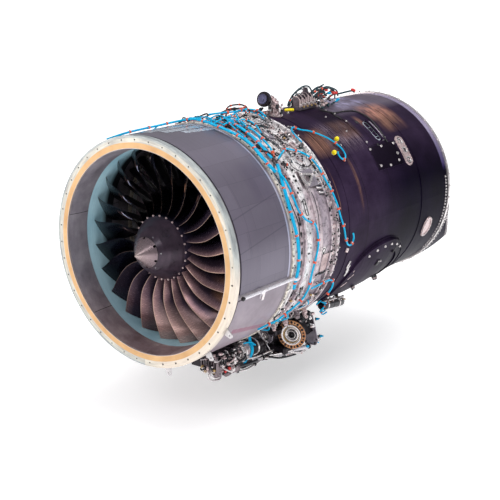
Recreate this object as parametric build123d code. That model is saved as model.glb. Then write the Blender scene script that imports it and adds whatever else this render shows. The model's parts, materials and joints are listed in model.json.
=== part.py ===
from build123d import *
from math import sin, cos, tan, radians, degrees, pi, sqrt, atan2
import os

# Turbofan engine with a wide-chord fan, a full-length composite bypass duct and
# an accessory gearbox below the intermediate case.
# Frame: Y is the engine axis, the inlet faces -Y, +Z is up. The origin is the
# centre of the inlet flange's front face. Angles are measured from +Z (top)
# towards +X. Lengths are in millimetres.

# ---------------------------------------------------------------- dimensions
INLET_R = 655.0            # inside radius of the inlet flange
FLANGE_R = 735.0           # outside radius of the inlet flange
FLANGE_T = 12.0            # thickness of the flange plate
FLANGE_LIP = 40.0          # depth of the folded rim
INLET_PCD = 1420.0         # bolt circle of the inlet flange
INLET_HOLES = 40
INLET_HOLE_R = 4.5
FAN_TIP_R = 639.5          # blade tip radius
FAN_BLADES = 24
STRIP_R = 642.0            # inside radius of the abradable strip
CASE_IN_R = 657.0          # inside radius of the fan case
CASE_OUT_R = 722.0
WRAP_R = 731.0             # outside of the wrap round the fan case
CASE_Y0, CASE_Y1 = 46.0, 570.0
INT_Y1 = 1105.0            # aft face of the intermediate case
DUCT_Y1 = 2632.0           # aft end of the bypass duct shell
AFT_Y1 = 2655.0            # aft face of the engine's rear flange
DUCT_R0, DUCT_R1 = 702.0, 672.0
DUCT_T = 6.0
AFT_PCD = 1338.0
AFT_HOLES = 48
CORE_R = 385.0             # inner wall of the bypass passage at the vanes
VANES = 36
STRUTS = 10
FAN_SHAFT_R = 42.0
CORE_SHAFT_RI = 52.0
CORE_SHAFT_RO = 62.0
PAD_X, PAD_Y, PAD_Z = 400.0, 1030.0, -737.0   # starter pad centre
PAD_AZ = 15.0              # the pad faces this far from -Y towards +X
PAD_R = 100.0
TOWER_R = 13.0
GBX_Y0, GBX_Y1 = 1062.0, 1290.0

os.makedirs("parts", exist_ok=True)
NODES = {}


# ------------------------------------------------------------------- helpers
def rev(pts):
    """Solid of revolution about the engine axis from (radius, station)."""
    return revolve(make_face(Polyline(*pts, close=True)), Axis.Y, 360)


def sector(pts, a0, a1):
    """Part of a turn, from angle a0 to a1 measured from +Z towards +X."""
    s = revolve(make_face(Polyline(*pts, close=True)), Axis.Y, a1 - a0)
    return Rot(0, a0 - 90, 0) * s


def at(r, a, y):
    return Vector(r * sin(radians(a)), y, r * cos(radians(a)))


def pose(r, a, y, spin=0.0):
    """Local Z outwards, local X aft, turned by spin about Z."""
    n = (sin(radians(a)), 0, cos(radians(a)))
    return Plane(origin=at(r, a, y), x_dir=(0, 1, 0), z_dir=n).location * Rot(0, 0, spin)


def cyl(p, d, r, h):
    """Cylinder from point p along direction d."""
    pl = Plane(origin=p, z_dir=d)
    return extrude(pl * Circle(r), amount=h)


def ycyl(x, z, y0, y1, r):
    return cyl((x, y0, z), (0, 1, 0), r, y1 - y0)


def ring(x, z, y0, y1, ro, ri):
    pl = Plane(origin=(x, y0, z), z_dir=(0, 1, 0))
    return extrude(pl * (Circle(ro) - Circle(ri)), amount=y1 - y0)


def box(x0, x1, y0, y1, z0, z1):
    return Pos((x0 + x1) / 2, (y0 + y1) / 2, (z0 + z1) / 2) * Box(x1 - x0, y1 - y0, z1 - z0)


def solids(s):
    return list(s.solids())


def put(name, *shapes):
    out = []
    for s in shapes:
        if isinstance(s, (list, tuple)):
            for q in s:
                out += solids(q)
        else:
            out += solids(s)
    NODES.setdefault(name, []).extend(out)


def turns(shape, n, a0=0.0):
    return [Rot(0, a0 + 360.0 * i / n, 0) * shape for i in range(n)]


def corner_radii(pts, least):
    """Radius for each corner of a route: 0.45 of the shorter run over the
    tangent of half the turn, and never under the least one given."""
    out = []
    for a, b, c in zip(pts, pts[1:], pts[2:]):
        u, v = b - a, c - b
        turn = radians(max(u.get_angle(v), 0.4))
        r = 0.45 * min(u.length, v.length) / tan(turn / 2)
        out.append(max(min(r, 4000.0), least))
    return out


def tube(pts, r, name=None, ri=None):
    pts = [Vector(*p) if not isinstance(p, Vector) else p for p in pts]
    if len(pts) > 2:
        rad = corner_radii(pts, 1.05 * r)
        path = FilletPolyline(*pts, radius=rad)
        if name:
            print("route", name, "radii", [round(x) for x in rad], "length", round(path.length))
    else:
        path = Line(*pts)
    pl = Plane(origin=path @ 0, z_dir=path % 0)
    prof = pl * (Circle(r) if ri is None else Circle(r) - Circle(ri))
    return sweep(prof, path=path)


def hexbolt(r, a, y, af=11.0, h=6.0, direction=1):
    """Hexagon head standing on a radial face, axis along the engine."""
    pl = Plane(origin=at(r, a, y), z_dir=(0, direction, 0))
    return extrude(pl * RegularPolygon(af / 2, 6, major_radius=False), amount=h)


def toothed(r_root, r_tip, n, y0, y1, share=0.35, r_in=None):
    """Bladed ring: n straight radial blades on a rim, all one extrusion."""
    pts = []
    for i in range(n):
        c = 2 * pi * i / n
        w = 2 * pi / n * share / 2
        for rr, aa in ((r_root, c - w), (r_tip, c - w * r_root / r_tip),
                       (r_tip, c + w * r_root / r_tip), (r_root, c + w)):
            pts.append((rr * sin(aa), rr * cos(aa)))
    face = make_face(Polyline(*pts, close=True))
    pl = Plane(origin=(0, y0, 0), x_dir=(1, 0, 0), z_dir=(0, 1, 0))
    s = extrude(pl * face, amount=y1 - y0)
    if r_in:
        s = s - ycyl(0, 0, y0 - 1, y1 + 1, r_in)
    return s


def vaned(r_tip, r_root, n, y0, y1, share=0.3):
    """Stator ring: a rim from r_root outwards to r_root+rim with blades inwards."""
    pts = []
    for i in range(n):
        c = 2 * pi * i / n
        w = 2 * pi / n * share / 2
        for rr, aa in ((r_root, c - w), (r_tip, c - w), (r_tip, c + w), (r_root, c + w)):
            pts.append((rr * sin(aa), rr * cos(aa)))
    pl = Plane(origin=(0, y0, 0), x_dir=(1, 0, 0), z_dir=(0, 1, 0))
    inner = extrude(pl * make_face(Polyline(*pts, close=True)), amount=y1 - y0)
    rim = ring(0, 0, y0, y1, r_root + 7, r_tip)
    return rim - inner


# ------------------------------------------------------------- inlet and fan
fl = rev([(INLET_R, 0), (FLANGE_R, 0), (FLANGE_R, FLANGE_LIP), (FLANGE_R - 6, FLANGE_LIP),
          (FLANGE_R - 6, FLANGE_T), (692, FLANGE_T), (686, 44), (INLET_R + 2, 44), (INLET_R + 2, 14), (INLET_R, 12)])
pl_f = Plane(origin=(0, -1, 0), z_dir=(0, 1, 0))
holes = [extrude(Plane(origin=at(INLET_PCD / 2, 9 * i + 5.7, -1), z_dir=(0, 1, 0)) * Circle(INLET_HOLE_R),
                 amount=FLANGE_T + 2) for i in range(INLET_HOLES)]
put("inlet_flange", fl - holes)

lug = Polyline((-26, 0), (26, 0), (15, -52), (0, -60), (-15, -52), close=True)
lugs = []
for a in (121.0, 138.0, 167.0):
    p = Plane(origin=at(735.1, a, 28), x_dir=(cos(radians(a)), 0, -sin(radians(a))), z_dir=(0, 1, 0))
    t = extrude(p * make_face(lug), amount=7)
    hole = Pos(0, -38, -2) * Cylinder(6, 20)
    t = t - p.location * hole
    lugs.append(t)
lugs = [Rot(0, 0, 0) * t for t in lugs]
put("flange_lugs", lugs)

put("acoustic_liner", rev([(INLET_R + 1.5, 14), (INLET_R + 1.5, 164), (640.0, 164), (643.0, 90), (648.0, 45), (654.0, 14)]))
put("abradable_strip", rev([(STRIP_R, 165), (STRIP_R, 400), (CASE_IN_R - 0.5, 400), (CASE_IN_R - 0.5, 165)]))
put("acoustic_liner", rev([(644.0, 401), (648.0, 464), (CASE_IN_R - 0.5, 464), (CASE_IN_R - 0.5, 401)]))
put("fan_case", rev([(CASE_IN_R, CASE_Y0), (716, CASE_Y0), (716, 56), (CASE_OUT_R, 58), (CASE_OUT_R, 555),
                     (728, 557), (728, CASE_Y1), (CASE_IN_R, CASE_Y1)]))
prof_wrap = [(CASE_OUT_R + 0.2, 60), (WRAP_R, 60), (WRAP_R, 550), (CASE_OUT_R + 0.2, 550)]
put("containment_wrap", sector(prof_wrap, -101.5, 101.5))
prof_low = [(CASE_OUT_R + 0.2, 60), (WRAP_R - 3, 60), (WRAP_R - 3, 550), (CASE_OUT_R + 0.2, 550)]
put("lower_panel", sector(prof_low, 105.0, 255.0))
# tubes that cover the joint between the upper wrap and the lower panel
for a in (103.2, -103.2):
    put("seam_tubes", tube([at(745.6, a, 92), at(745.6, a, 596)], 9.5))
    lo, hi = (a - 1.4, a + 4.2) if a > 0 else (a - 4.2, a + 1.4)
    put("seam_tubes", sector([(755.6, 262), (759, 262), (759, 284), (755.6, 284)], lo, hi))
    put("seam_tubes", pose(731, a, 84) * Pos(0, 0, 10) * Box(15, 20, 20))
put("seam_tubes", tube([at(737, 158, 95), at(737, 158.5, 240), at(737, 161, 390), at(737, 161, 540)], 6))
put("seam_tubes", tube([at(737, -158, 95), at(737, -158.5, 240), at(737, -161, 390), at(737, -161, 540)], 6))

# fan blade: camber line angle and station against radius, chord from 0 to 1
R_T = [190, 240, 280, 320, 360, 400, 450, 500, 540, 590, 642]
LE_A = [3.6, 7.2, 8.8, 9.0, 8.5, 7.2, 5.2, 3.2, 1.8, 0.6, 0.0]
LE_Y = [186, 188, 189, 188, 186, 186, 188, 193, 199, 212, 230]
CH_Y = [190, 184, 179, 174, 168, 162, 155, 149, 144, 137, 129]
CH_A = [8.5, 12.0, 14.5, 16.0, 17.0, 17.3, 17.3, 17.2, 17.0, 16.6, 16.0]
CAMB = [0.085, 0.08, 0.075, 0.068, 0.06, 0.052, 0.043, 0.035, 0.03, 0.022, 0.018]
THK = [15, 13, 11.5, 10.2, 9.2, 8.4, 7.5, 6.8, 6.2, 5.4, 4.6]


def tab(col, r):
    if r <= R_T[0]:
        return col[0]
    for i in range(1, len(R_T)):
        if r <= R_T[i]:
            f = (r - R_T[i - 1]) / (R_T[i] - R_T[i - 1])
            return col[i - 1] + f * (col[i] - col[i - 1])
    return col[-1]


def blade_point(r, c, side):
    """Point on the blade: c along the chord, side -1..1 through the thickness.
    Returns the arc length from the blade's zero angle and the station."""
    s_le = r * radians(tab(LE_A, r))
    s_te = r * radians(tab(LE_A, r) - tab(CH_A, r))
    y_le = tab(LE_Y, r)
    dy, ds = tab(CH_Y, r), s_te - s_le
    chord = sqrt(dy * dy + ds * ds)
    ty, ts = dy / chord, ds / chord
    ny, ns = -ts, ty                         # normal, towards +angle at the front
    camber = -4 * tab(CAMB, r) * chord * c * (1 - c)
    half = tab(THK, r) / 2 * (max(0.0, sin(pi * min(1.0, c * 1.02) ** 0.75)) * 0.94 + 0.06)
    off = camber + side * half
    return s_le + ds * c + ns * off, y_le + dy * c + ny * off


def blade_section(h):
    """Closed section on the plane z = h of the blade that stands on +Z."""
    cs = [0.0, 0.04, 0.12, 0.25, 0.4, 0.55, 0.7, 0.85, 0.95, 1.0]
    pts = []
    for side, seq in ((1, cs), (-1, cs[::-1])):
        for c in seq:
            r = h
            for _ in range(6):
                s, y = blade_point(r, c, side)
                r = h / cos(s / r)
            pts.append((r * sin(s / r), y))
    return [Vector(x, y, h) for x, y in pts]


secs = []
for h in (197, 225, 262, 300, 345, 395, 450, 505, 560, 605, 650):
    secs.append(make_face(Polyline(*blade_section(h), close=True)))
airfoil = loft(secs, ruled=False)
airfoil = airfoil & ycyl(0, 0, 100, 450, FAN_TIP_R)
# platform: an annulus segment whose top follows the hub line, and the root block
HUB = [(196.0, 171), (203.0, 171), (214.0, 205), (233.0, 270), (252.0, 340), (262.0, 386), (196.0, 386)]
platform = sector(HUB, -7.43, 7.43)
root = box(-12, 12, 190.5, 360, 158, 200)
blade = airfoil + platform + root
put("fan_blades", [Rot(0, -38.75 + 15 * i, 0) * b for i in range(FAN_BLADES) for b in solids(blade)])

disk = rev([(75, 190), (195.0, 190), (195.0, 368), (150, 362), (110, 330), (FAN_SHAFT_R + 20, 330), (FAN_SHAFT_R + 20, 190)])
slot = box(-12.3, 12.3, 180, 380, 157.6, 210)
disk = disk - [Rot(0, -38.75 + 15 * i, 0) * slot for i in range(FAN_BLADES)]
put("fan_disk", disk)

spin_prof = [(0, -70), (98, 33), (94, 37), (0, -60)]
cone = rev(spin_prof)
vents = [cyl(at(80, a, 40), (sin(radians(a)) * 0.72, -0.69, cos(radians(a)) * 0.72), 9.0, 60) for a in (55, 115, 235, 295, 355, 175)]
put("spinner_cone", cone - vents)
put("spinner_body", rev([(98.4, 33.4), (128, 62), (154, 94), (178, 130), (194, 154), (203, 170), (195, 170),
                         (184, 152), (168, 130), (145, 98), (120, 68), (92, 42)]))
put("fan_disk", rev([(143, 104), (160, 126), (176, 148), (186, 168), (186, 189.9), (150, 189.9), (150, 182), (178, 182), (178, 170), (156, 138), (139, 112)]))

# ---------------------------------------------------------- low-pressure spool
put("fan_shaft", rev([(0, 150), (40, 150), (FAN_SHAFT_R + 18, 170), (FAN_SHAFT_R + 18, 345), (FAN_SHAFT_R, 420), (FAN_SHAFT_R, 560),
                     (FAN_SHAFT_R, 1890), (30, 1905), (0, 1905)]) - ycyl(0, 0, 160, 1940, 30))
lpt_disk = []
for i, (y, rt) in enumerate(((1588, 300), (1668, 326), (1748, 348))):
    w = 34
    d = rev([(FAN_SHAFT_R + 0.05, y - 10), (FAN_SHAFT_R + 40, y - 10), (FAN_SHAFT_R + 44, y + 6), (200, y + 10), (212, y), (235 + 4 * i, y),
             (235 + 4 * i, y + w), (212, y + w), (200, y + w - 10), (FAN_SHAFT_R + 44, y + w - 6), (FAN_SHAFT_R + 40, y + w + 10), (FAN_SHAFT_R + 0.05, y + w + 10)])
    lpt_disk.append(d)
lpt_blades = [toothed(235.5 + 4 * i, rt, 72, y, y + 34, 0.3, r_in=235.05 + 4 * i) for i, (y, rt) in
              enumerate(((1588, 300), (1668, 326), (1748, 348)))]
put("fan_turbine", lpt_disk, lpt_blades)

# --------------------------------------------------------- high-pressure spool
drum_y = [700 + 46 * i for i in range(10)]
drum = rev([(CORE_SHAFT_RI, 640), (CORE_SHAFT_RO, 640), (CORE_SHAFT_RO, 690), (150, 696), (168, 696), (196, 1172), (190, 1180), (80, 1184),
            (CORE_SHAFT_RO, 1200), (CORE_SHAFT_RO, 1560), (CORE_SHAFT_RI, 1560)])
drum = drum - rev([(70, 712), (150, 712), (180, 1164), (76, 1164)])
put("core_compressor_drum", drum)
rows = []
for i, y in enumerate(drum_y):
    rd = 168 + 28 * (y + 22 - 696) / 476.0
    rt = 258 - 4.6 * i
    rows.append(toothed(rd + 6, rt, 30 + 6 * i, y, y + 21, 0.3, r_in=rd + 0.9))
put("core_compressor_blades", rows)
core_tb = []
core_tb_teeth = []
for i, (y, rt) in enumerate(((1436, 262), (1506, 272))):
    core_tb.append(rev([(CORE_SHAFT_RO + 0.05, y - 8), (CORE_SHAFT_RO + 40, y - 8), (CORE_SHAFT_RO + 46, y + 8), (185, y + 10), (196, y), (222, y), (222, y + 36), (196, y + 36),
                    (185, y + 26), (CORE_SHAFT_RO + 46, y + 28), (CORE_SHAFT_RO + 40, y + 44), (CORE_SHAFT_RO + 0.05, y + 44)]))
    core_tb_teeth.append(toothed(224, rt, 64, y + 2, y + 34, 0.34, r_in=222.05))
put("core_turbine", core_tb, core_tb_teeth)


def bevel(r0, r1, h, n, bore):
    """Bevel gear on +Z: base radius r0 at 0, r1 at h, n shallow teeth."""
    def prof(r, d, z):
        pts = []
        for i in range(n):
            c = 2 * pi * i / n
            w = 2 * pi / n
            pts += [(r - d, c - 0.30 * w), (r, c - 0.14 * w), (r, c + 0.14 * w), (r - d, c + 0.30 * w)]
        return Pos(0, 0, z) * make_face(Polyline(*[(q * cos(t), q * sin(t)) for q, t in pts], close=True))
    s = loft([prof(r0, 5, 0), prof(r1, 4, h)], ruled=True)
    return s - Cylinder(bore, 4 * h)


# Bevel pairs: the pitch cones share one apex, and the teeth stop just short of
# the pitch line, so that the two gears run past each other without touching.
TOWER_Y = 590.0
LAY_Z = -842.0
CORE_GEAR_R, PINION_R = 88.0, 30.0
LOW_GEAR_R, LAY_GEAR_R = 40.0, 56.0
SMALL = 0.70
core_gear = Plane(origin=(0, TOWER_Y + PINION_R, 0), x_dir=(1, 0, 0), z_dir=(0, -1, 0)).location * \
    bevel(CORE_GEAR_R - 1, CORE_GEAR_R * SMALL - 1, PINION_R * (1 - SMALL), 36, 50.0)
put("core_compressor_drum", core_gear + ring(0, 0, TOWER_Y + PINION_R, 639.8, 61, 50))
put("tower_shaft", Plane(origin=(0, TOWER_Y, -CORE_GEAR_R), x_dir=(1, 0, 0), z_dir=(0, 0, 1)).location *
    bevel(PINION_R - 1, PINION_R * SMALL - 1, CORE_GEAR_R * (1 - SMALL), 12, TOWER_R))
put("tower_shaft", cyl((0, TOWER_Y, -64), (0, 0, -1), TOWER_R, 742))
put("tower_shaft", Plane(origin=(0, TOWER_Y, LAY_Z + LAY_GEAR_R), x_dir=(1, 0, 0), z_dir=(0, 0, -1)).location *
    bevel(LOW_GEAR_R - 1, LOW_GEAR_R * SMALL - 1, LAY_GEAR_R * (1 - SMALL), 20, TOWER_R))
# layshaft of the gearbox, driven by the lower pair
put("layshaft", ycyl(0, LAY_Z, TOWER_Y + LOW_GEAR_R * SMALL, 1262, 14))
put("layshaft", Plane(origin=(0, TOWER_Y + LOW_GEAR_R, LAY_Z), x_dir=(1, 0, 0), z_dir=(0, -1, 0)).location *
    bevel(LAY_GEAR_R - 1, LAY_GEAR_R * SMALL - 1, LOW_GEAR_R * (1 - SMALL), 28, 14))

# ------------------------------------------------------------ static core
shaft_way = cyl((0, TOWER_Y, -100), (0, 0, -1), 22, 600)
put("core_splitter", rev([(352, 425), (358, 428), (372, 446), (CORE_R, 468), (CORE_R, 560), (379, 560), (379, 475), (352, 440), (349, 430)]))
put("core_splitter", rev([(263, 400), (268, 400), (271, 430), (264, 560), (178, 692), (172, 692), (254, 556), (258, 430)]) - shaft_way)
put("core_splitter", rev([(347, 431), (350, 441), (376.5, 476), (376.5, 559), (330, 640), (268, 694), (262, 694), (322, 634), (352, 560), (344, 445)]) - shaft_way)
put("core_splitter", rev([(CORE_R - 6, 560.2), (CORE_R, 560.2), (CORE_R, 760), (CORE_R - 6, 760)]) - shaft_way)
strut_blank = box(-9, 9, 600, 712, 300, 700)
strut_nose = cyl((0, 600, 300), (0, 0, 1), 9, 400)
strut_tail = loft([make_face(Polyline((-9, 711.9, 300), (9, 711.9, 300), (0, 742, 300), close=True)),
                   make_face(Polyline((-9, 711.9, 700), (9, 711.9, 700), (0, 742, 700), close=True))], ruled=True)
annulus = ring(0, 0, 560, 760, CASE_IN_R, CORE_R)
strut = (strut_blank + strut_nose + strut_tail) & annulus
st_list = []
for i in range(STRUTS):
    if i == STRUTS // 2:
        # the bottom strut is wide and hollow for the radial drive shaft
        big = (box(-30, 30, 562, 660, 300, 700) & annulus) - cyl((0, TOWER_Y, 250), (0, 0, 1), 22, 500)
        st_list.append(Rot(0, 180, 0) * big)
    else:
        st_list.append(Rot(0, 36 * i, 0) * strut)
put("frame_struts", st_list)
vane_pts = [(-3, 470), (3, 472), (9, 500), (9, 530), (4, 552), (1, 552), (4, 530), (3, 500)]
v0 = extrude(Plane(origin=(0, 0, 320), x_dir=(1, 0, 0), z_dir=(0, 0, 1)) * make_face(Polyline(*vane_pts, close=True)), amount=400)
v0 = v0 & ring(0, 0, 460, 560, CASE_IN_R, CORE_R)
put("outlet_guide_vanes", turns(v0, VANES, 5))

put("core_cowl", rev([(CORE_R, 762), (418, 860), (432, 1000), (432, 1450), (420, 1700), (384, 1900), (379, 1900), (415, 1700),
                      (427, 1450), (427, 1000), (413, 862), (CORE_R - 5, 762)]))
ccase = rev([(264, 700), (270, 698), (290, 698), (290, 706), (276, 706), (230, 1168), (330, 1178), (330, 1186), (222, 1186), (218, 1172)])
put("compressor_case", ccase)
vrows = []
for i in range(9):
    y = drum_y[i] + 25.0
    rd = 168 + 28 * (y + 17 - 696) / 476.0
    rc = 264 - 45 * (y + 18 - 700) / 470.0
    vrows.append(vaned(rd + 5, rc - 8, 36 + 6 * i, y, y + 17, 0.3))
put("compressor_case", vrows)
put("combustor_case", rev([(330, 1187), (340, 1187), (340, 1200), (334, 1204), (334, 1404), (340, 1408), (340, 1424), (322, 1424), (322, 1212), (318, 1187)]))
put("combustor_liner", rev([(296, 1216), (302, 1216), (306, 1300), (288, 1404), (282, 1404), (300, 1300), (296, 1222), (212, 1222), (208, 1300), (228, 1404), (222, 1404),
                            (202, 1300), (206, 1216)]))
put("combustor_case", rev([(140, 1206), (146, 1206), (176, 1404), (170, 1410), (134, 1212)]))
put("combustor_liner", [Rot(0, 18 * i, 0) * (cyl((0, 1206, 250), (0, 0, 1), 6, 62)) for i in range(20)])
put("combustor_liner", Plane(origin=(0, 1206, 0), z_dir=(0, 1, 0)).location * Torus(345, 6))
put("turbine_case", rev([(280, 1426), (340, 1426), (340, 1436), (290, 1440), (292, 1545), (312, 1570), (338, 1652), (362, 1740), (364, 1800), (376, 1806),
                         (376, 1816), (356, 1816), (355, 1740), (332, 1655), (306, 1574), (280, 1548)]))
put("turbine_case", vaned(228, 274 - 2, 40, 1477, 1499, 0.3), vaned(246, 316, 56, 1630, 1656, 0.3), vaned(252, 338, 60, 1710, 1738, 0.3))
put("turbine_rear_frame", rev([(340, 1818), (376, 1818), (376, 1826), (364, 1830), (362, 1912), (352, 1912), (354, 1832)])
    + rev([(150, 1822), (186, 1822), (186, 1910), (180, 1910), (180, 1832), (150, 1832)])
    + [Rot(0, 36 * i, 0) * (box(-6, 6, 1836, 1900, 150, 400) & ring(0, 0, 1830, 1905, 356, 183)) for i in range(10)])

# forced mixer: a ring of lobes between the core and the bypass stream
NL = 14


def lobe_wire(r, amp, y, n=NL * 8):
    pts = []
    for i in range(n):
        t = 2 * pi * i / n
        q = r + amp * cos(NL * t)
        pts.append(Vector(q * sin(t), y, q * cos(t)))
    return make_face(Polyline(*pts, close=True))


mx_out = loft([lobe_wire(362, 0.5, 1914), lobe_wire(366, 30, 2020), lobe_wire(352, 80, 2210)], ruled=True)
mx_in = loft([lobe_wire(359, 0.5, 1913.9), lobe_wire(363, 30, 2020), lobe_wire(349, 80, 2210.1)], ruled=True)
put("mixer", mx_out - mx_in)
put("exhaust_plug", rev([(0, 1914), (180, 1914), (184, 1980), (172, 2080), (140, 2190), (96, 2280), (48, 2340), (0, 2362)]))

# bearings and their supports
put("shaft_bearings", rev([(86.1, 430), (96, 430), (100, 462), (240, 520), (252, 520), (253, 536), (236, 536), (94, 476), (86.1, 470)]))
put("shaft_bearings", ring(0, 0, 434, 462, 86.0, 68.0))
put("fan_shaft", ring(0, 0, 434, 462, 67.95, FAN_SHAFT_R + 0.02))
put("shaft_bearings", ring(0, 0, 648, 668, 96.0, CORE_SHAFT_RO + 0.05))
put("shaft_bearings", rev([(96.2, 646), (104, 646), (104, 668), (168, 684), (168, 690), (96.2, 672)]))
put("shaft_bearings", ring(0, 0, 1404, 1422, 84.0, CORE_SHAFT_RO + 0.05))
put("shaft_bearings", rev([(84.2, 1402), (92, 1402), (96, 1408), (168.5, 1411), (168.5, 1417), (92, 1422), (84.2, 1422)]))
put("shaft_bearings", ring(0, 0, 1840, 1870, 76.0, FAN_SHAFT_R + 0.05))
put("shaft_bearings", rev([(76.2, 1836), (86, 1836), (92, 1846), (179.8, 1852), (179.8, 1862), (88, 1860), (84, 1874), (76.2, 1874)]))
for z in (-400, -640):
    put("shaft_bearings", cyl((0, TOWER_Y, z), (0, 0, -1), 21.9, 14) - cyl((0, TOWER_Y, z + 5), (0, 0, -1), TOWER_R + 0.05, 40))

# ------------------------------------------------------------ outer cases
IC = [(CASE_IN_R, 570.5), (735, 570.5), (735, 590), (717, 592), (717, 634), (726, 636), (726, 652), (712, 654), (712, 680), (712, 718),
      (728, 718), (728, 734), (716, 738), (716, 796), (724, 798), (724, 812), (708, 815), (708, 858), (722, 860), (722, 872), (704, 875),
      (704, 1024), (716, 1024), (716, 1040), (702, 1040), (702, 1082), (724, 1082), (724, INT_Y1), (690, INT_Y1), (672, 900), (CASE_IN_R, 762)]
ic = rev(IC)
pockets = []
for i in range(72):
    p = pose(712, 2.5 + 5 * i, 698)
    pockets.append(p * Pos(0, 0, 0) * Box(20, 26, 24))
ic = ic - pockets
tower_hole = cyl((0, TOWER_Y, -640), (0, 0, -1), 22, 140)
ic = ic - tower_hole
put("intermediate_case", ic)


def pad(r, a, y, w, h, t, port):
    p = pose(r, a, y)
    s = Pos(0, 0, t / 2 - 8) * Box(w, h, t + 16)
    s = fillet(s.edges().filter_by(Axis.Z), 12)
    s = s - Pos(0, 0, t) * Cylinder(port, 2 * 12)
    return p * s


pads = [pad(706, 56.5, 930, 120, 118, 14, 26), pad(706, 25.0, 835, 118, 130, 16, 30)]
outer = [(600, 570)] + [(r + 0.3, y) for r, y in IC[1:-3]] + [(600, INT_Y1)]
put("service_pads", [q - rev(outer) for q in pads])

# bypass duct with its front flange, covers and ports
put("duct_rings", rev([(690.2, 1105.5), (724, 1105.5), (724, 1120), (712, 1124), (709, 1150), (690.2, 1150)]))


def duct_r(y):
    return DUCT_R0 + (DUCT_R1 - DUCT_R0) * (y - 1150.5) / (DUCT_Y1 - 1150.5)


duct = rev([(DUCT_R0 - DUCT_T, 1150.5), (DUCT_R0, 1150.5), (DUCT_R1, DUCT_Y1), (DUCT_R1 - DUCT_T, DUCT_Y1)])
put("bypass_duct", duct)
AF = rev([(650, DUCT_Y1 + 0.3), (684, DUCT_Y1 + 0.3), (684, AFT_Y1), (650, AFT_Y1)])
af_holes = [extrude(Plane(origin=at(AFT_PCD / 2, 7.5 * i + 3.75, DUCT_Y1 - 5), z_dir=(0, 1, 0)) * Circle(4.0), amount=40)
            for i in range(AFT_HOLES)]
put("aft_flange", AF - af_holes)
skirt_pl = make_face(Polyline((AFT_Y1 + 0.4, -60), (2695, -200), (2765, -300), (2874, -402), (AFT_Y1 + 0.4, -640), close=True))
skirt_cut = extrude(Plane(origin=(-800, 0, 0), x_dir=(0, 1, 0), z_dir=(1, 0, 0)) * skirt_pl, amount=1600)
ear = ring(0, 0, AFT_Y1 + 0.4, 2900, 682, 656) & skirt_cut
put("aft_skirts", ear)
put("duct_rings", [rev([(duct_r(y) + 0.2, y), (duct_r(y) + 3.2, y), (duct_r(y + w) + 3.2, y + w), (duct_r(y + w) + 0.2, y + w)])
                   for y, w in ((1262, 16), (2240, 14))])


def plate(y0, y1, a0, a1, t, gap=0.2, corner=12.0, base=None):
    """Curved plate on the duct between two stations and two angles."""
    b = (lambda y: duct_r(y)) if base is None else base
    s = sector([(b(y0) + gap, y0), (b(y0) + gap + t, y0), (b(y1) + gap + t, y1), (b(y1) + gap, y1)], a0, a1)
    return s


# long port with three holes, and an oval port low on the side
slot_pl = Plane(pose(600, 56.4, 2154))
put("duct_ports", (plate(2060, 2250, 42, 72, 6) & extrude(slot_pl * SlotOverall(236, 92, rotation=90), amount=140))
    - [pose(duct_r(2154), a, 2154) * Cylinder(15, 40) for a in (50.3, 56.4, 62.5)])
oval_pl = Plane(pose(600, 109.4, 2392))
put("duct_ports", plate(2320, 2470, 98, 121, 6) & extrude(oval_pl * Ellipse(58, 82), amount=140))
put("access_cover", plate(1738, 2082, 48.7, 64.0, 3.5))
cov_b = [(1753, 50.4), (1784, 61.4), (1904, 62.6), (2031, 61.2), (2064, 50.4), (1902, 50.2), (2052, 57.0)]
put("cover_bolts", [pose(duct_r(y) + 3.8, a, y) * Pos(0, 0, 3.4) * Cylinder(6, 6) for y, a in cov_b])
# outlet in the upper part of the duct: a plate with a slot, and a lip over the slot
put("outlet_grille", plate(1752, 2020, 16.8, 48.0, 4) - pose(690, 39, 1928) * Box(54, 178, 120))
put("outlet_grille", sector([(duct_r(1958) + 4.6, 1958), (duct_r(1950) + 17, 1946), (duct_r(1962) + 20, 1962), (duct_r(1996) + 4.6, 1996)], 31.0, 46.8))
put("cover_bolts", [pose(duct_r(y) + 4.4, a, y) * Pos(0, 0, 3.4) * Cylinder(5, 6) for y, a in ((1768, 27.7), (1768, 19.0), (1880, 18.6), (1990, 20.0), (1768, 45.5), (2008, 45.5))])
# raised scoop low on the side: arched outline, dished face
SC_A, SC_R = 127.0, 690.0
sc_pts = [(1400, 150.0), (1385, 136.0), (1402, 122.5), (1460, 112.0), (1565, 107.2), (1690, 105.2), (1850, 105.4), (1980, 109.8),
          (2080, 118.6), (2132, 130.0), (2150, 150.0)]
sc_uv = [(y, -SC_R * sin(radians(a - SC_A))) for y, a in sc_pts]


def scoop_outline(k):
    q = [(1768 + (u - 1768) * k, sc_uv[0][1] + (v - sc_uv[0][1]) * k) for u, v in sc_uv]
    return make_face([Spline(*q), Line(q[-1], q[0])])


sc_loc = Plane(origin=at(500, SC_A, 0), x_dir=(0, 1, 0), z_dir=at(1, SC_A, 0))


def scoop_skin(lift):
    prof = [(1360, 6), (1500, 20), (1700, 30), (1900, 28), (2060, 18), (2190, 6)]
    top = [(duct_r(y) + h + lift, y) for y, h in prof]
    return top


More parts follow.
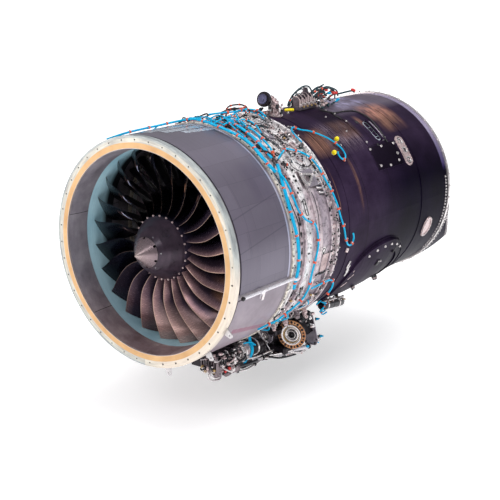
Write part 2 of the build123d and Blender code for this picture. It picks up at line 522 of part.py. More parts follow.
low_edge = [(duct_r(2190) + 0.5, 2190), (duct_r(1360) + 0.5, 1360)]
band_ = rev(scoop_skin(0) + low_edge)
scoop = band_ & extrude(sc_loc * scoop_outline(1.0), amount=300)
dish = rev([(r_ - 9, y_) for r_, y_ in scoop_skin(0)] + [(760, 2190), (760, 1360)]) & extrude(sc_loc * scoop_outline(0.86), amount=300)
put("side_scoop", scoop - dish)
put("cover_bolts", [pose(duct_r(y) + h, a, y) * Pos(0, 0, 3.5) * Cylinder(5.5, 7) for y, a, h in
                    ((1560, 111.0, 24.6), (1650, 109.0, 28.3), (1745, 108.2, 30.3), (1840, 108.6, 29.2), (1930, 110.6, 27.0), (2010, 114.2, 22.2))])
put("cover_bolts", [pose(duct_r(y) + 0.4, a, y) * Pos(0, 0, 3) * Cylinder(5, 6) for y, a in
                     ((1640, 20.0), (1660, 35.0), (1640, 5.0), (1760, 13.0))])

# fasteners round the flanges, heads on the forward or the aft face
put("flange_bolts", [hexbolt(718.0, 3 + 6 * i, 1081.9, 11, 7, -1) for i in range(60)])
put("flange_bolts", [hexbolt(723.0, 2.5 + 5 * i, 717.9, 8, 5, -1) for i in range(72)]
    + [hexbolt(710.5, 3 + 6 * i, 1040.2, 8, 5, 1) for i in range(60)])
put("flange_bolts", [pose(684.2, 3.75 + 7.5 * i, 2644) * Pos(0, 0, 2.5) * Cylinder(4.5, 5) for i in range(AFT_HOLES)])

# ------------------------------------------------------------ mounts (far side)
fm_ring = sector([(708.5, 815.4), (724, 815.4), (724, 857.6), (708.5, 857.6)], -112, -68)
fm_block = box(-800, -722, 816, 857, -70, 70) - cyl((-765, 800, 0), (0, 1, 0), 20, 80)
put("engine_mounts", (fm_block + fm_ring) - cyl((-765, 800, 0), (0, 1, 0), 20, 80))
rm = sector([(duct_r(2420) + 0.3, 2420), (duct_r(2420) + 12, 2420), (duct_r(2480) + 12, 2480), (duct_r(2480) + 0.3, 2480)], -104, -76)
rm = rm + box(-760, -684, 2425, 2475, -50, 50)
put("engine_mounts", rm - cyl((-725, 2400, 0), (0, 1, 0), 14, 100))

# ------------------------------------------------------------ gearbox and accessories
gb = sector([(739, GBX_Y0), (880, GBX_Y0), (880, GBX_Y1), (739, GBX_Y1)], 153, 208)
gb = gb + sector([(739, GBX_Y0), (880, GBX_Y0), (880, 1150), (739, 1150)], 147.5, 153.2)
gb_in = sector([(752, GBX_Y0 + 14), (866, GBX_Y0 + 14), (866, GBX_Y1 - 14), (752, GBX_Y1 - 14)], 155.5, 205.5)
gb_in = gb_in + sector([(752, GBX_Y0 + 14), (866, GBX_Y0 + 14), (866, 1136), (752, 1136)], 150, 155.7)
gb = gb - gb_in
pdir = Vector(sin(radians(PAD_AZ)), -cos(radians(PAD_AZ)), 0)
pc = Vector(PAD_X, PAD_Y, PAD_Z)
boss_rear = pc - pdir * 70
boss = cyl(boss_rear, pdir, 78, 62)
gb = gb + (boss - ycyl(0, 0, 900, 1400, 739.5))
gb = gb - cyl(pc - pdir * 95, pdir, 34, 200)
gb = gb + ring(0, LAY_Z, 1240, GBX_Y1 - 13, 30, 14.05)
gb = gb - ycyl(0, LAY_Z, GBX_Y0 - 5, GBX_Y0 + 20, 14.05)
put("gearbox_housing", gb)
flange = cyl(pc - pdir * 7.9, pdir, PAD_R, 8) + cyl(pc - pdir * 7.9, pdir, 72, 18)
flange = flange - cyl(pc - pdir * 20, pdir, 58, 60) + (cyl(pc - pdir * 7.9, pdir, 58.5, 4) - cyl(pc - pdir * 20, pdir, 36, 60))
pad_holes = []
u = Vector(cos(radians(PAD_AZ)), sin(radians(PAD_AZ)), 0)
w = Vector(0, 0, 1)
for i in range(12):
    t = radians(30 * i + 15)
    c = pc + u * (88 * cos(t)) + w * (88 * sin(t))
    pad_holes.append(cyl(c - pdir * 20, pdir, 4.25, 60))
put("starter_pad", flange - pad_holes)
put("starter_coupling", cyl(pc - pdir * 60, pdir, 30, 62) - cyl(pc - pdir * 30, pdir, 17, 60))
put("accessory_brackets", [cyl(at(702.8, a, 1072), at(1, a, 0), 7, 36.0) for a in (158.0, 202.0)])
put("shaft_bearings", cyl(pc - pdir * 50, pdir, 33.9, 12) - cyl(pc - pdir * 60, pdir, 30.05, 40))
put("gearbox_housing", box(-120, 120, 1080, 1270, -925, -880.2) & ring(0, 0, 1000, 1400, 940, 879.0) - ycyl(0, 0, 900, 1400, 880.2))
put("gearbox_housing", cyl((0, TOWER_Y, -736), (0, 0, -1), 24, 22) - cyl((0, TOWER_Y, -700), (0, 0, -1), 17, 300))
bevel_box = box(-72, 72, 536, 690, -912, -758.2) - box(-62, 62, 546, 680, -902, -768)
bevel_box = bevel_box - cyl((0, TOWER_Y, -700), (0, 0, -1), 17, 100) - ycyl(0, LAY_Z, 670, 700, 14.05)
put("gearbox_housing", bevel_box)
put("gearbox_housing", ring(0, LAY_Z, 690.2, GBX_Y0 - 0.2, 24, 18))

alt = ycyl(234, -762, 968, GBX_Y0 - 0.3, 62) + ycyl(234, -762, 958, 968, 58) + ring(234, -762, 1000, 1012, 64, 40) + ycyl(234, -762, 944, 958, 20)
put("generators", alt)
put("generators", (ycyl(108, -932, 840, 1040, 62) + ycyl(108, -932, 826, 840, 48) + ring(108, -932, 905, 917, 67, 50)
                  + ring(108, -932, 968, 980, 67, 50) + box(78, 138, 1010, 1079, -905, -881)) - ycyl(0, 0, 800, 1400, 880.5))
cool = ycyl(262, -775, 616, 800, 56) + ycyl(262, -775, 604, 616, 42)
put("oil_cooler", cool)
put("accessory_brackets", [ring(262, -775, y, y + 14, 61, 56.2) for y in (634, 676, 764)])
pump = box(170, 318, 372, 548, -845, -765) + box(190, 290, 334, 372, -832, -780) + ycyl(205, -862, 442, 552, 36) + ycyl(285, -856, 450, 580, 32)
pump = pump + cyl((250, 420, -766), (0, 0, 1), 22, 18) + cyl((250, 505, -766), (0, 0, 1), 22, 18)
pump = pump - ycyl(0, 0, 200, 700, 742)
put("fuel_pump", pump)
for y in (400, 500):
    put("accessory_brackets", box(180, 200, y, y + 30, -764.8, -690) - ycyl(0, 0, 300, 600, 728.6))
bowl = cyl((262, 402, -846), (0, 0, -1), 27, 26) + Pos(262, 402, -872) * Sphere(27)
bowl = bowl - box(200, 330, 360, 440, -845.8, -800)
put("fuel_pump", bowl)
put("fuel_pump", [cyl((262, 333.5, -806), (0, -1, 0), 15, 26), cyl((222, 333.5, -806), (0, -1, 0), 12, 20),
                   cyl((318.3, 430, -806), (1, 0, 0), 12, 18), cyl((318.3, 500, -812), (1, 0, 0), 14, 16)])
put("oil_tank", sector([(745, 330), (850, 330), (850, 760), (745, 760)], 205, 232))
put("accessory_brackets", [sector([(850.3, y), (854, y), (854, y + 24), (850.3, y + 24)], 205, 232) for y in (400, 660)])
# guard plate at the rear end of the gearbox, and the tube below it
guard = make_face(Polyline((330, -661), (391, -675), (441, -849), (425, -884), (331, -889), (322, -780), close=True))
put("accessory_brackets", extrude(Plane(origin=(0, GBX_Y1 + 6.3, 0), x_dir=(1, 0, 0), z_dir=(0, -1, 0)) * guard, amount=6))
put("lower_tubes", cyl((330, 1270, -925), Vector(0, 1, 0.13), 17, 210) + cyl((330, 1262, -926), Vector(0, 1, 0.13), 24, 20))
put("lower_tubes",
    tube([(300, 830, -872), (300, 930, -892), (296, 1040, -905), (292, 1130, -912), (286, 1215, -904)], 9, "lower_tube_a"),
    tube([(262, 600, -905), (272, 700, -915), (270, 800, -908), (255, 900, -900), (236, 985, -900)], 7, "lower_tube_b"),
    tube([(330, 600, -800), (345, 700, -812), (340, 830, -820), (318, 930, -835)], 6, "lower_tube_c"))
# control unit slung under the duct: a can on two feet
can_d = Vector(0, 1, -0.12).normalized()
can_p = Vector(322, 1500, -668)
ctl = cyl(can_p, can_d, 36, 250) + cyl(can_p - can_d * 12, can_d, 24, 12)
for yf in (1545, 1690):
    ctl = ctl + box(300, 326, yf, yf + 22, -684, -606)
ctl = ctl - ycyl(0, 0, 1300, 2000, 699.5)
put("control_box", ctl)

# ------------------------------------------------------------ top fittings
vd = Vector(0.09, -0.965, 0.235).normalized()
vc = Vector(45, 1194, 811)
put("bleed_valve", cyl(vc, vd, 50, 26) + cyl(vc + vd * 26, vd, 36, 8) + cyl(vc - vd * 30, vd, 30, 30))
put("top_pipes", tube([vc - vd * 30.3, vc - vd * 72, at(745, 6.5, 1262), at(703, 6.5, 1262)], 24, "bleed_duct"))
comb = box(16, 94, 1530, 1722, 690, 724) + [box(20, 90, 1533 + 24 * k, 1541 + 24 * k, 723, 790) for k in range(8)] + box(44, 84, 1629, 1637, 789, 838)
put("top_manifold", comb - ycyl(0, 0, 1400, 1800, 699.5))
put("top_manifold", [cyl((x, y, z), Vector(*d), r, h) for x, y, z, d, r, h in (
    (-30, 1786, 752, (0.2, 1, 0.1), 13, 46), (20, 1788, 744, (0.1, 1, 0.15), 15, 52), (66, 1786, 748, (0.4, 1, 0.2), 12, 44),
    (40, 1866, 730, (0, 0.3, 1), 12, 34), (-10, 1900, 728, (0.2, 0.6, 1), 11, 30), (75, 1896, 726, (0.5, 0.6, 0.8), 10, 28))])
put("top_pipes", tube([at(726, -19, 1060), at(752, -16, 1118), at(752, -6, 1128), at(745, 2.0, 1066), at(745, 5.5, 1090), at(747, 1.2, 1206)], 8, "top_pipe"))
# small connectors on the duct with dust caps, and a capped pipe end on top
n39, n47 = at(1, 39.5, 0), at(1, 47.0, 0)
stand = at(1, 7.0, 0)
put("caps_and_plugs", cyl((76, 1376, 719), Vector(0.41, 0.91, -0.05), 9.5, 72) + cyl(stand * (duct_r(1405) + 0.6) + Vector(0, 1405, 0), stand, 5, 20))
for n, y in ((n39, 1455), (n47, 1322)):
    base = n * (duct_r(y) + 0.6) + Vector(0, y, 0)
    put("caps_and_plugs", cyl(base, n, 13, 16), cyl(base + n * 16.2, n, 11, 18))

# ------------------------------------------------------------ wiring harness
# Each route is (station, angle) or (station, angle, radius) along the case.
H = {
    "main": (752, 7.5, [(664, 46.0), (606, 56.5), (584, 64.5), (582, 73), (598, 82.3), (610, 91.8), (613, 98.5), (611, 104), (616, 109)]),
    "ring": (768, 5.5, [(607, 49.7), (628, 56), (630, 64.2), (640, 70), (664, 73), (703, 75.7, 762), (758, 77.6, 750), (808, 79.2, 745), (832, 84.5, 742),
                        (834, 91, 742), (812, 98, 742), (798, 105.5, 745), (812, 112.5, 748), (800, 119.5, 748), (728, 123.4, 754), (657, 126.2, 758),
                        (590, 128.2, 762), (508, 129.2, 758), (436, 131.2, 752)]),
    "edge": (744, 4.5, [(684, 44.0, 772), (768, 41.2, 762), (850, 39.2, 750), (925, 40.6, 740), (985, 43.0, 736), (1024, 47, 738), (1042, 53, 740), (1050, 60, 740),
                        (1068, 66.5, 742), (1084, 73.5), (1098, 80.0), (1134, 86.5, 740), (1176, 93, 728), (1226, 97.5, 718), (1272, 98.2, 716), (1290, 95.2, 716), (1282, 92.0, 716)]),
    "duct": (716, 4.5, [(1062, 37.0, 738), (1060, 32.0, 740), (1078, 28.2, 742), (1120, 26.4, 742), (1166, 27.6, 732), (1212, 28.2, 720), (1270, 29.8), (1322, 33.4),
                        (1372, 37.6), (1404, 41.8), (1424, 46.0), (1420, 50.0), (1388, 52.2), (1358, 51.4), (1342, 48.9, 722), (1334, 47.9, 736)]),
    "top": (762, 6.5, [(66, -27, 747), (160, -21, 749), (280, -17.5, 749), (400, -15.5, 749), (490, -11, 752), (536, -3), (528, 6), (524, 14.4), (542, 21), (564, 26.5), (570, 33), (563, 40), (573, 46), (590, 50)]),
    "upper": (752, 6.5, [(752, 6.8), (700, 12.5), (684, 18), (676, 24), (668, 30), (660, 36), (652, 42)]),
    "upper_b": (780, 5.0, [(648, 0.6), (740, 2.2), (840, 4.6), (930, 4.4), (990, 6.5), (1000, 11.0), (965, 16.5)]),
    "upper_c": (770, 5.0, [(722, 20.5), (708, 26.0), (700, 31.6), (692, 36.6), (676, 40.0)]),
    "dark": (752, 6.5, [(1950, 4.5, 744), (2010, 4.6, 752), (2060, 5.0, 750), (2140, 5.6, 754), (2205, 6.2, 756), (2236, 6.4, 742)]),
    "loop": (752, 5.0, [(826, 113.0, 762), (900, 113.8), (980, 113.2), (1050, 113.4), (1104, 115.6, 754), (1116, 119.4, 760), (1090, 122.4, 768)]),
}


def route_points(name):
    r, rad, route = H[name]
    return rad, [at(q[2] if len(q) > 2 else r, q[1], q[0]) for q in route]


for name in H:
    rad, pts = route_points(name)
    put("wiring_harness", tube(pts, rad, name))


# clips: collars round the straight stretches of the cables
for name, idx in (("main", (1, 3, 5, 7)), ("ring", (2, 4, 7, 10, 12, 14, 17)), ("edge", (2, 5, 8, 11, 13)),
                  ("duct", (3, 6, 8)), ("top", (1, 2, 4, 6, 8, 10)), ("upper", (1, 3, 5)), ("upper_b", (1, 3)), ("loop", (2,))):
    rad, pts = route_points(name)
    for i in idx:
        a, b = pts[i], pts[i + 1]
        d = (b - a).normalized()
        c = (a + b) * 0.5
        put("harness_clips", cyl(c - d * 4, d, rad + 4.5, 8) - cyl(c - d * 6, d, rad + 0.4, 12))

# ------------------------------------------------------------ write the pieces
for old in os.listdir("parts"):
    if old.endswith(".step") and old[:-5] not in NODES:
        os.remove(os.path.join("parts", old))
for name, sols in NODES.items():
    shape = Compound(children=[q for q in sols]) if len(sols) > 1 else sols[0]
    export_step(shape, f"parts/{name}.step")
print(len(NODES), "nodes", sum(len(v) for v in NODES.values()), "solids")
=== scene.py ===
import bpy, bmesh, json, random
from math import sin, cos, pi, radians, degrees, sqrt, atan2, hypot, floor
from mathutils import Vector, Matrix


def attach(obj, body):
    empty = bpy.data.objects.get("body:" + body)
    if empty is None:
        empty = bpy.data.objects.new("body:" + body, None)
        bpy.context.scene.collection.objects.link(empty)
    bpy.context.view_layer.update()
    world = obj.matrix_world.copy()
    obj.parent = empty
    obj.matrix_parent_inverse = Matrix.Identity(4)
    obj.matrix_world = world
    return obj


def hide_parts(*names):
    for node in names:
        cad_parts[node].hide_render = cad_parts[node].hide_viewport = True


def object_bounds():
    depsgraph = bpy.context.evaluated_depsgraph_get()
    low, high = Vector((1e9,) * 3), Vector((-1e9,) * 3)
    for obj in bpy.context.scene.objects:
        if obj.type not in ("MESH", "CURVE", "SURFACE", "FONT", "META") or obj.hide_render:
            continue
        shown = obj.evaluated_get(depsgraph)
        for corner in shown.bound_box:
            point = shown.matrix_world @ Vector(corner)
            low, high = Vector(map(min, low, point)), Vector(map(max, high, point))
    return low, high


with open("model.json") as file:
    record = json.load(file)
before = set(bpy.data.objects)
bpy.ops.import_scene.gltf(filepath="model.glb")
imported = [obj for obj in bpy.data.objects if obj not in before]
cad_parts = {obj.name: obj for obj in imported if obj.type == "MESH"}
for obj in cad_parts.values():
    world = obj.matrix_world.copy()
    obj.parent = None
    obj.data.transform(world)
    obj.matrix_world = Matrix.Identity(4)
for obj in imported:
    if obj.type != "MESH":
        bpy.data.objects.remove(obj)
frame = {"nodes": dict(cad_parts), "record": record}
N = frame["nodes"]
low0, high0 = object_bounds()
rnd = random.Random(7)

# ------------------------------------------------------------------ camera
scene = bpy.context.scene
scene.view_settings.view_transform = "Standard"
scene.view_settings.look = "None"
cam = bpy.data.cameras.new("camera")
cam.lens, cam.sensor_width = 88.92, 36.0
cam.clip_end = 60.0
cam_o = bpy.data.objects.new("camera", cam)
right = Vector((0.792003, 0.610517, 0.0))
down = Vector((0.167944, -0.217868, -0.961420))
fwd = Vector((-0.586963, 0.761448, -0.275085))
m = Matrix((right, -down, -fwd)).transposed().to_4x4()
m.translation = Vector((4.9968, -5.3941, 2.1190))
cam_o.matrix_world = m
scene.collection.objects.link(cam_o)
scene.camera = cam_o

# ------------------------------------------------------------------ light
def area(name, loc, at, sx, sy, power, col=(1, 1, 1)):
    d = bpy.data.lights.new(name, "AREA")
    d.shape, d.size, d.size_y, d.energy, d.color = "RECTANGLE", sx, sy, power, col
    o = bpy.data.objects.new(name, d)
    o.location = loc
    o.rotation_euler = (Vector(at) - Vector(loc)).to_track_quat("-Z", "Y").to_euler()
    scene.collection.objects.link(o)
    return o


area("top_soft", (0.8, 1.2, 4.2), (0, 1.2, 0), 3.0, 4.5, 150, (1.0, 0.99, 0.98))
area("left_soft", (-4.2, -3.6, 1.2), (0, 0.6, -0.2), 2.4, 3.0, 110, (1.0, 0.93, 0.86))
area("right_soft", (5.2, 1.0, 2.0), (0, 1.2, 0), 2.5, 3.0, 60, (0.95, 0.97, 1.0))
area("front_soft", (2.2, -5.0, 3.6), (0, 0.5, 0), 2.0, 2.0, 70, (1, 1, 1))

world = bpy.data.worlds.new("studio")
scene.world = world
world.use_nodes = True
wt = world.node_tree
wt.nodes.clear()
wo = wt.nodes.new("ShaderNodeOutputWorld")
bg_cam = wt.nodes.new("ShaderNodeBackground")
bg_cam.inputs[0].default_value = (1, 1, 1, 1)
bg_cam.inputs[1].default_value = 1.0
bg_lit = wt.nodes.new("ShaderNodeBackground")
lp = wt.nodes.new("ShaderNodeLightPath")
mx = wt.nodes.new("ShaderNodeMixShader")
tcw = wt.nodes.new("ShaderNodeTexCoord")
sw = wt.nodes.new("ShaderNodeSeparateXYZ")
rw = wt.nodes.new("ShaderNodeValToRGB")
mr = wt.nodes.new("ShaderNodeMapRange")
mr.inputs[1].default_value, mr.inputs[2].default_value = -1.0, 1.0
wt.links.new(tcw.outputs["Generated"], sw.inputs[0])
wt.links.new(sw.outputs["Z"], mr.inputs[0])
wt.links.new(mr.outputs[0], rw.inputs[0])
rw.color_ramp.elements[0].position, rw.color_ramp.elements[0].color = 0.45, (0.30, 0.29, 0.30, 1)
rw.color_ramp.elements[1].position, rw.color_ramp.elements[1].color = 0.95, (0.62, 0.63, 0.66, 1)
wt.links.new(rw.outputs[0], bg_lit.inputs[0])
bg_lit.inputs[1].default_value = 0.75
wt.links.new(lp.outputs["Is Camera Ray"], mx.inputs[0])
wt.links.new(bg_lit.outputs[0], mx.inputs[1])
wt.links.new(bg_cam.outputs[0], mx.inputs[2])
wt.links.new(mx.outputs[0], wo.inputs[0])


# ------------------------------------------------------------------ material kit
class G:
    """One procedural material. Positions are the engine's own: station along
    the axis (y), radius (r) and angle from the top (ang, radians)."""

    def __init__(s, name):
        s.m = bpy.data.materials.new(name)
        s.m.use_nodes = True
        s.t = s.m.node_tree
        s.t.nodes.clear()
        out = s.n("OutputMaterial")
        s.b = s.n("BsdfPrincipled")
        s.t.links.new(s.b.outputs[0], out.inputs[0])
        s.p = s.n("TexCoord").outputs["Object"]
        sep = s.n("SeparateXYZ")
        s.put(sep.inputs[0], s.p)
        s.x, s.y, s.z = sep.outputs
        s.r = s.f("SQRT", s.f("ADD", s.f("MULTIPLY", s.x, s.x), s.f("MULTIPLY", s.z, s.z)))
        s.ang = s.f("ARCTAN2", s.x, s.z)
        s.deg = s.f("MULTIPLY", s.ang, 57.29578)

    def n(s, kind, **props):
        q = s.t.nodes.new("ShaderNode" + kind)
        for k, v in props.items():
            setattr(q, k, v)
        return q

    def put(s, sock, v):
        if isinstance(v, bpy.types.NodeSocket):
            s.t.links.new(v, sock)
        elif isinstance(v, (tuple, list)) and len(v) == 3 and sock.type == "RGBA":
            sock.default_value = (*v, 1.0)
        else:
            sock.default_value = v

    def f(s, op, a, b=None, c=None, clamp=False):
        q = s.n("Math", operation=op, use_clamp=clamp)
        for i, v in enumerate((a, b, c)):
            if v is not None:
                s.put(q.inputs[i], v)
        return q.outputs[0]

    def vec(s, a, b, c):
        q = s.n("CombineXYZ")
        for i, v in enumerate((a, b, c)):
            s.put(q.inputs[i], v)
        return q.outputs[0]

    def stretch(s, kx, ky, kz):
        q = s.n("VectorMath", operation="MULTIPLY")
        s.put(q.inputs[0], s.p)
        q.inputs[1].default_value = (kx, ky, kz)
        return q.outputs[0]

    def noise(s, scale, detail=3.0, rough=0.5, vec=None, dist=0.0):
        q = s.n("TexNoise")
        s.put(q.inputs["Vector"], vec if vec is not None else s.p)
        q.inputs["Scale"].default_value = scale
        q.inputs["Detail"].default_value = detail
        q.inputs["Roughness"].default_value = rough
        q.inputs["Distortion"].default_value = dist
        return q.outputs[0]

    def voro(s, scale, vec=None, feature="F1", out="Distance"):
        q = s.n("TexVoronoi", feature=feature)
        s.put(q.inputs["Vector"], vec if vec is not None else s.p)
        q.inputs["Scale"].default_value = scale
        return q.outputs[out]

    def mapr(s, v, a, b, c=0.0, d=1.0):
        q = s.n("MapRange")
        s.put(q.inputs[0], v)
        for i, k in enumerate((a, b, c, d)):
            q.inputs[i + 1].default_value = k
        return q.outputs[0]

    def mix(s, fac, a, b):
        q = s.n("Mix", data_type="RGBA")
        s.put(q.inputs[0], fac)
        s.put(q.inputs[6], a)
        s.put(q.inputs[7], b)
        return q.outputs[2]

    def mul(s, a, b, fac=1.0):
        q = s.n("Mix", data_type="RGBA", blend_type="MULTIPLY")
        s.put(q.inputs[0], fac)
        s.put(q.inputs[6], a)
        s.put(q.inputs[7], b)
        return q.outputs[2]

    def ramp(s, fac, stops):
        q = s.n("ValToRGB")
        s.put(q.inputs[0], fac)
        e = q.color_ramp.elements
        while len(e) < len(stops):
            e.new(0.5)
        for k, (pos, col) in zip(e, stops):
            k.position = pos
            k.color = (*col, 1.0) if len(col) == 3 else col
        return q.outputs[0]

    def band(s, v, lo, hi, soft):
        a = s.f("DIVIDE", s.f("SUBTRACT", v, lo), soft, clamp=True)
        b = s.f("DIVIDE", s.f("SUBTRACT", hi, v), soft, clamp=True)
        return s.f("MULTIPLY", a, b)

    def lines(s, v, step, width, offset=0.0):
        """1 on thin lines that repeat every step along v."""
        q = s.f("PINGPONG", s.f("ADD", v, offset), step / 2)
        return s.f("LESS_THAN", q, width / 2)

    def bump(s, h, strength=0.3, dist=0.001, after=None):
        q = s.n("Bump")
        q.inputs["Strength"].default_value = strength
        q.inputs["Distance"].default_value = dist
        s.put(q.inputs["Height"], h)
        if after is not None:
            s.put(q.inputs["Normal"], after)
        return q.outputs[0]

    def end(s, color, rough, metal=0.0, normal=None, coat=0.0, coat_rough=0.1, spec=0.5, sheen=0.0, ior=None):
        s.put(s.b.inputs["Base Color"], color)
        s.put(s.b.inputs["Roughness"], rough)
        s.put(s.b.inputs["Metallic"], metal)
        s.b.inputs["Coat Weight"].default_value = coat
        s.b.inputs["Coat Roughness"].default_value = coat_rough
        s.b.inputs["Specular IOR Level"].default_value = spec
        s.b.inputs["Sheen Weight"].default_value = sheen
        if ior:
            s.b.inputs["IOR"].default_value = ior
        if normal is not None:
            s.put(s.b.inputs["Normal"], normal)
        return s.m


def srgb(*c):
    return tuple(((v / 255) / 12.92 if v <= 10 else (((v / 255) + 0.055) / 1.055) ** 2.4) for v in c)


def worn(name, col, metal=0.0, rough=0.4, tint=0.25, scale=9.0, dark=None, grain=160.0, strength=0.15, coat=0.0, spec=0.5, spread=0.12):
    """Painted or cast surface: broad staining, fine mottling and a grainy bump."""
    g = G(name)
    broad = g.noise(scale, 4, 0.6)
    fine = g.noise(scale * 11, 3, 0.6)
    d = dark or tuple(v * (1 - tint) for v in col)
    hi = tuple(min(1.0, v * (1 + tint * 0.5)) for v in col)
    c = g.ramp(broad, [(0.3, d), (0.5, col), (0.75, hi)])
    c = g.mul(c, g.ramp(fine, [(0.3, (0.86, 0.86, 0.86)), (0.6, (1, 1, 1))]))
    ro = g.mapr(fine, 0.3, 0.7, max(0.02, rough - spread), rough + spread)
    return g.end(c, ro, metal, g.bump(g.noise(grain, 3, 0.6), strength, 0.0006), coat=coat, spec=spec)


def brushed(name, col, along="turn", rough=0.28, metal=1.0, tint=0.2, stain=None, strength=0.12):
    """Turned or ground metal: fine lines one way, with slow staining."""
    g = G(name)
    if along == "turn":
        v = g.vec(g.f("MULTIPLY", g.ang, 0.9), g.f("MULTIPLY", g.y, 260.0), g.f("MULTIPLY", g.r, 260.0))
    else:
        v = g.vec(g.f("MULTIPLY", g.ang, 190.0), g.f("MULTIPLY", g.y, 2.5), g.f("MULTIPLY", g.r, 4.0))
    ln = g.noise(1.0, 3, 0.6, vec=v)
    broad = g.noise(6.0, 4, 0.6)
    c = g.ramp(broad, [(0.3, stain or tuple(v_ * (1 - tint) for v_ in col)), (0.6, col)])
    c = g.mul(c, g.ramp(ln, [(0.3, (0.84, 0.84, 0.84)), (0.7, (1, 1, 1))]))
    ro = g.f("ADD", g.mapr(ln, 0.3, 0.7, rough - 0.07, rough + 0.08), g.mapr(broad, 0.3, 0.7, 0.06, -0.03))
    return g.end(c, ro, metal, g.bump(ln, strength, 0.0004))


MAT = {}

# inlet ring: tan primer on the raised lip, bare alloy on the flange behind it, with painted light and shade round the
# flange
g = G("primed_alloy")
tan = g.ramp(g.noise(7, 4, 0.6), [(0.3, srgb(206, 158, 104)), (0.65, srgb(228, 184, 130))])
streak = g.noise(1.0, 4, 0.65, vec=g.vec(g.f("MULTIPLY", g.ang, 5.0), g.f("MULTIPLY", g.y, 20), g.f("MULTIPLY", g.r, 60)))
cream = g.ramp(streak, [(0.25, srgb(164, 158, 150)), (0.45, srgb(204, 198, 186)), (0.62, srgb(226, 220, 206)), (0.8, srgb(240, 236, 226))])
cool = g.ramp(streak, [(0.3, srgb(128, 134, 140)), (0.55, srgb(168, 176, 178)), (0.8, srgb(206, 212, 208))])
# painted shade: the flange's outer rim goes a cooler grey, except round the lower right
cream = g.mix(g.f("MULTIPLY", g.mapr(g.r, 0.7165, 0.7265), g.f("MULTIPLY", g.mapr(g.deg, 104, 80), 0.85)), cream, cool)
# painted highlight: the flange lighter round the right and lower side
cream = g.mix(g.f("MULTIPLY", g.band(g.deg, 84, 178, 12), 0.6), cream, srgb(238, 222, 206))
# painted shade: cooler grey again over the top
cream = g.mix(g.f("MULTIPLY", g.mapr(g.deg, 60, 20), 0.35), cream, cool)
lip = g.band(g.r, 0.6572, 0.6935, 0.0012)
front = g.f("LESS_THAN", g.y, 0.006)
c = g.mix(g.f("MULTIPLY", lip, front), cream, tan)
c = g.mix(g.f("LESS_THAN", g.r, 0.6572), c, srgb(206, 190, 186))
ln = g.noise(1.0, 3, 0.6, vec=g.vec(g.f("MULTIPLY", g.ang, 1.2), g.f("MULTIPLY", g.y, 300), g.f("MULTIPLY", g.r, 300)))
c = g.mul(c, g.ramp(ln, [(0.3, (0.9, 0.9, 0.9)), (0.7, (1, 1, 1))]))
MAT["primed_alloy"] = g.end(c, g.mapr(ln, 0.3, 0.7, 0.28, 0.45), g.mix(g.f("MULTIPLY", lip, front), (0.35,) * 3, (0.12,) * 3), g.bump(ln, 0.1, 0.0004))

# acoustic liner: satin grey with rows of fine holes, and a painted brown reflection near the bottom
g = G("liner_grey")
u, v = g.f("MULTIPLY", g.ang, 0.65), g.y
hole = g.voro(1.0, vec=g.vec(g.f("MULTIPLY", u, 300), g.f("MULTIPLY", v, 300), 0.0))
dots = g.mapr(hole, 0.18, 0.3)
stain_and_reflection_noise = g.noise(1.0, 4, 0.62, vec=g.vec(g.f("MULTIPLY", g.ang, 3.4), g.f("MULTIPLY", g.y, 6), 0.0))
base = g.ramp(stain_and_reflection_noise, [(0.3, srgb(122, 115, 124)), (0.5, srgb(150, 144, 154)), (0.72, srgb(180, 173, 182))])
brown = g.ramp(stain_and_reflection_noise, [(0.3, srgb(114, 92, 96)), (0.5, srgb(152, 130, 134)), (0.72, srgb(194, 174, 174))])
# painted reflection: browner towards the bottom
c = g.mix(g.mapr(g.z, -0.25, -0.6), base, brown)
c = g.mix(g.lines(g.deg, 60.0, 0.35, 17.0), c, srgb(60, 56, 60))
c = g.mul(c, g.ramp(dots, [(0.0, (0.62, 0.62, 0.62)), (0.6, (1, 1, 1))]), 0.45)
MAT["liner_grey"] = g.end(c, 0.42, 0.25, g.bump(dots, 0.25, 0.0008))

# abradable strip: pale blue-grey filler with turned lines, painted shade between the blades and a faint glow at the
# upper left
g = G("strip_blue")
ln = g.noise(1.0, 4, 0.6, vec=g.vec(g.f("MULTIPLY", g.ang, 1.5), g.f("MULTIPLY", g.y, 120), 0.0))
c = g.ramp(g.noise(4, 4, 0.6), [(0.3, srgb(152, 196, 212)), (0.6, srgb(188, 226, 238))])
c = g.mul(c, g.ramp(ln, [(0.3, (0.86, 0.88, 0.9)), (0.7, (1, 1, 1))]))
# painted shade: near black further back, between the blades
c = g.mix(g.mapr(g.y, 0.300, 0.345), c, srgb(15, 17, 24))
MAT["strip_blue"] = g.end(c, 0.55, 0.0, g.bump(ln, 0.2, 0.0006))
# the strip glows a little at the upper left: a painted brightening
g.put(g.b.inputs["Emission Color"], c)
g.put(g.b.inputs["Emission Strength"], g.f("MULTIPLY", g.band(g.deg, -120, -10, 30), 0.10))

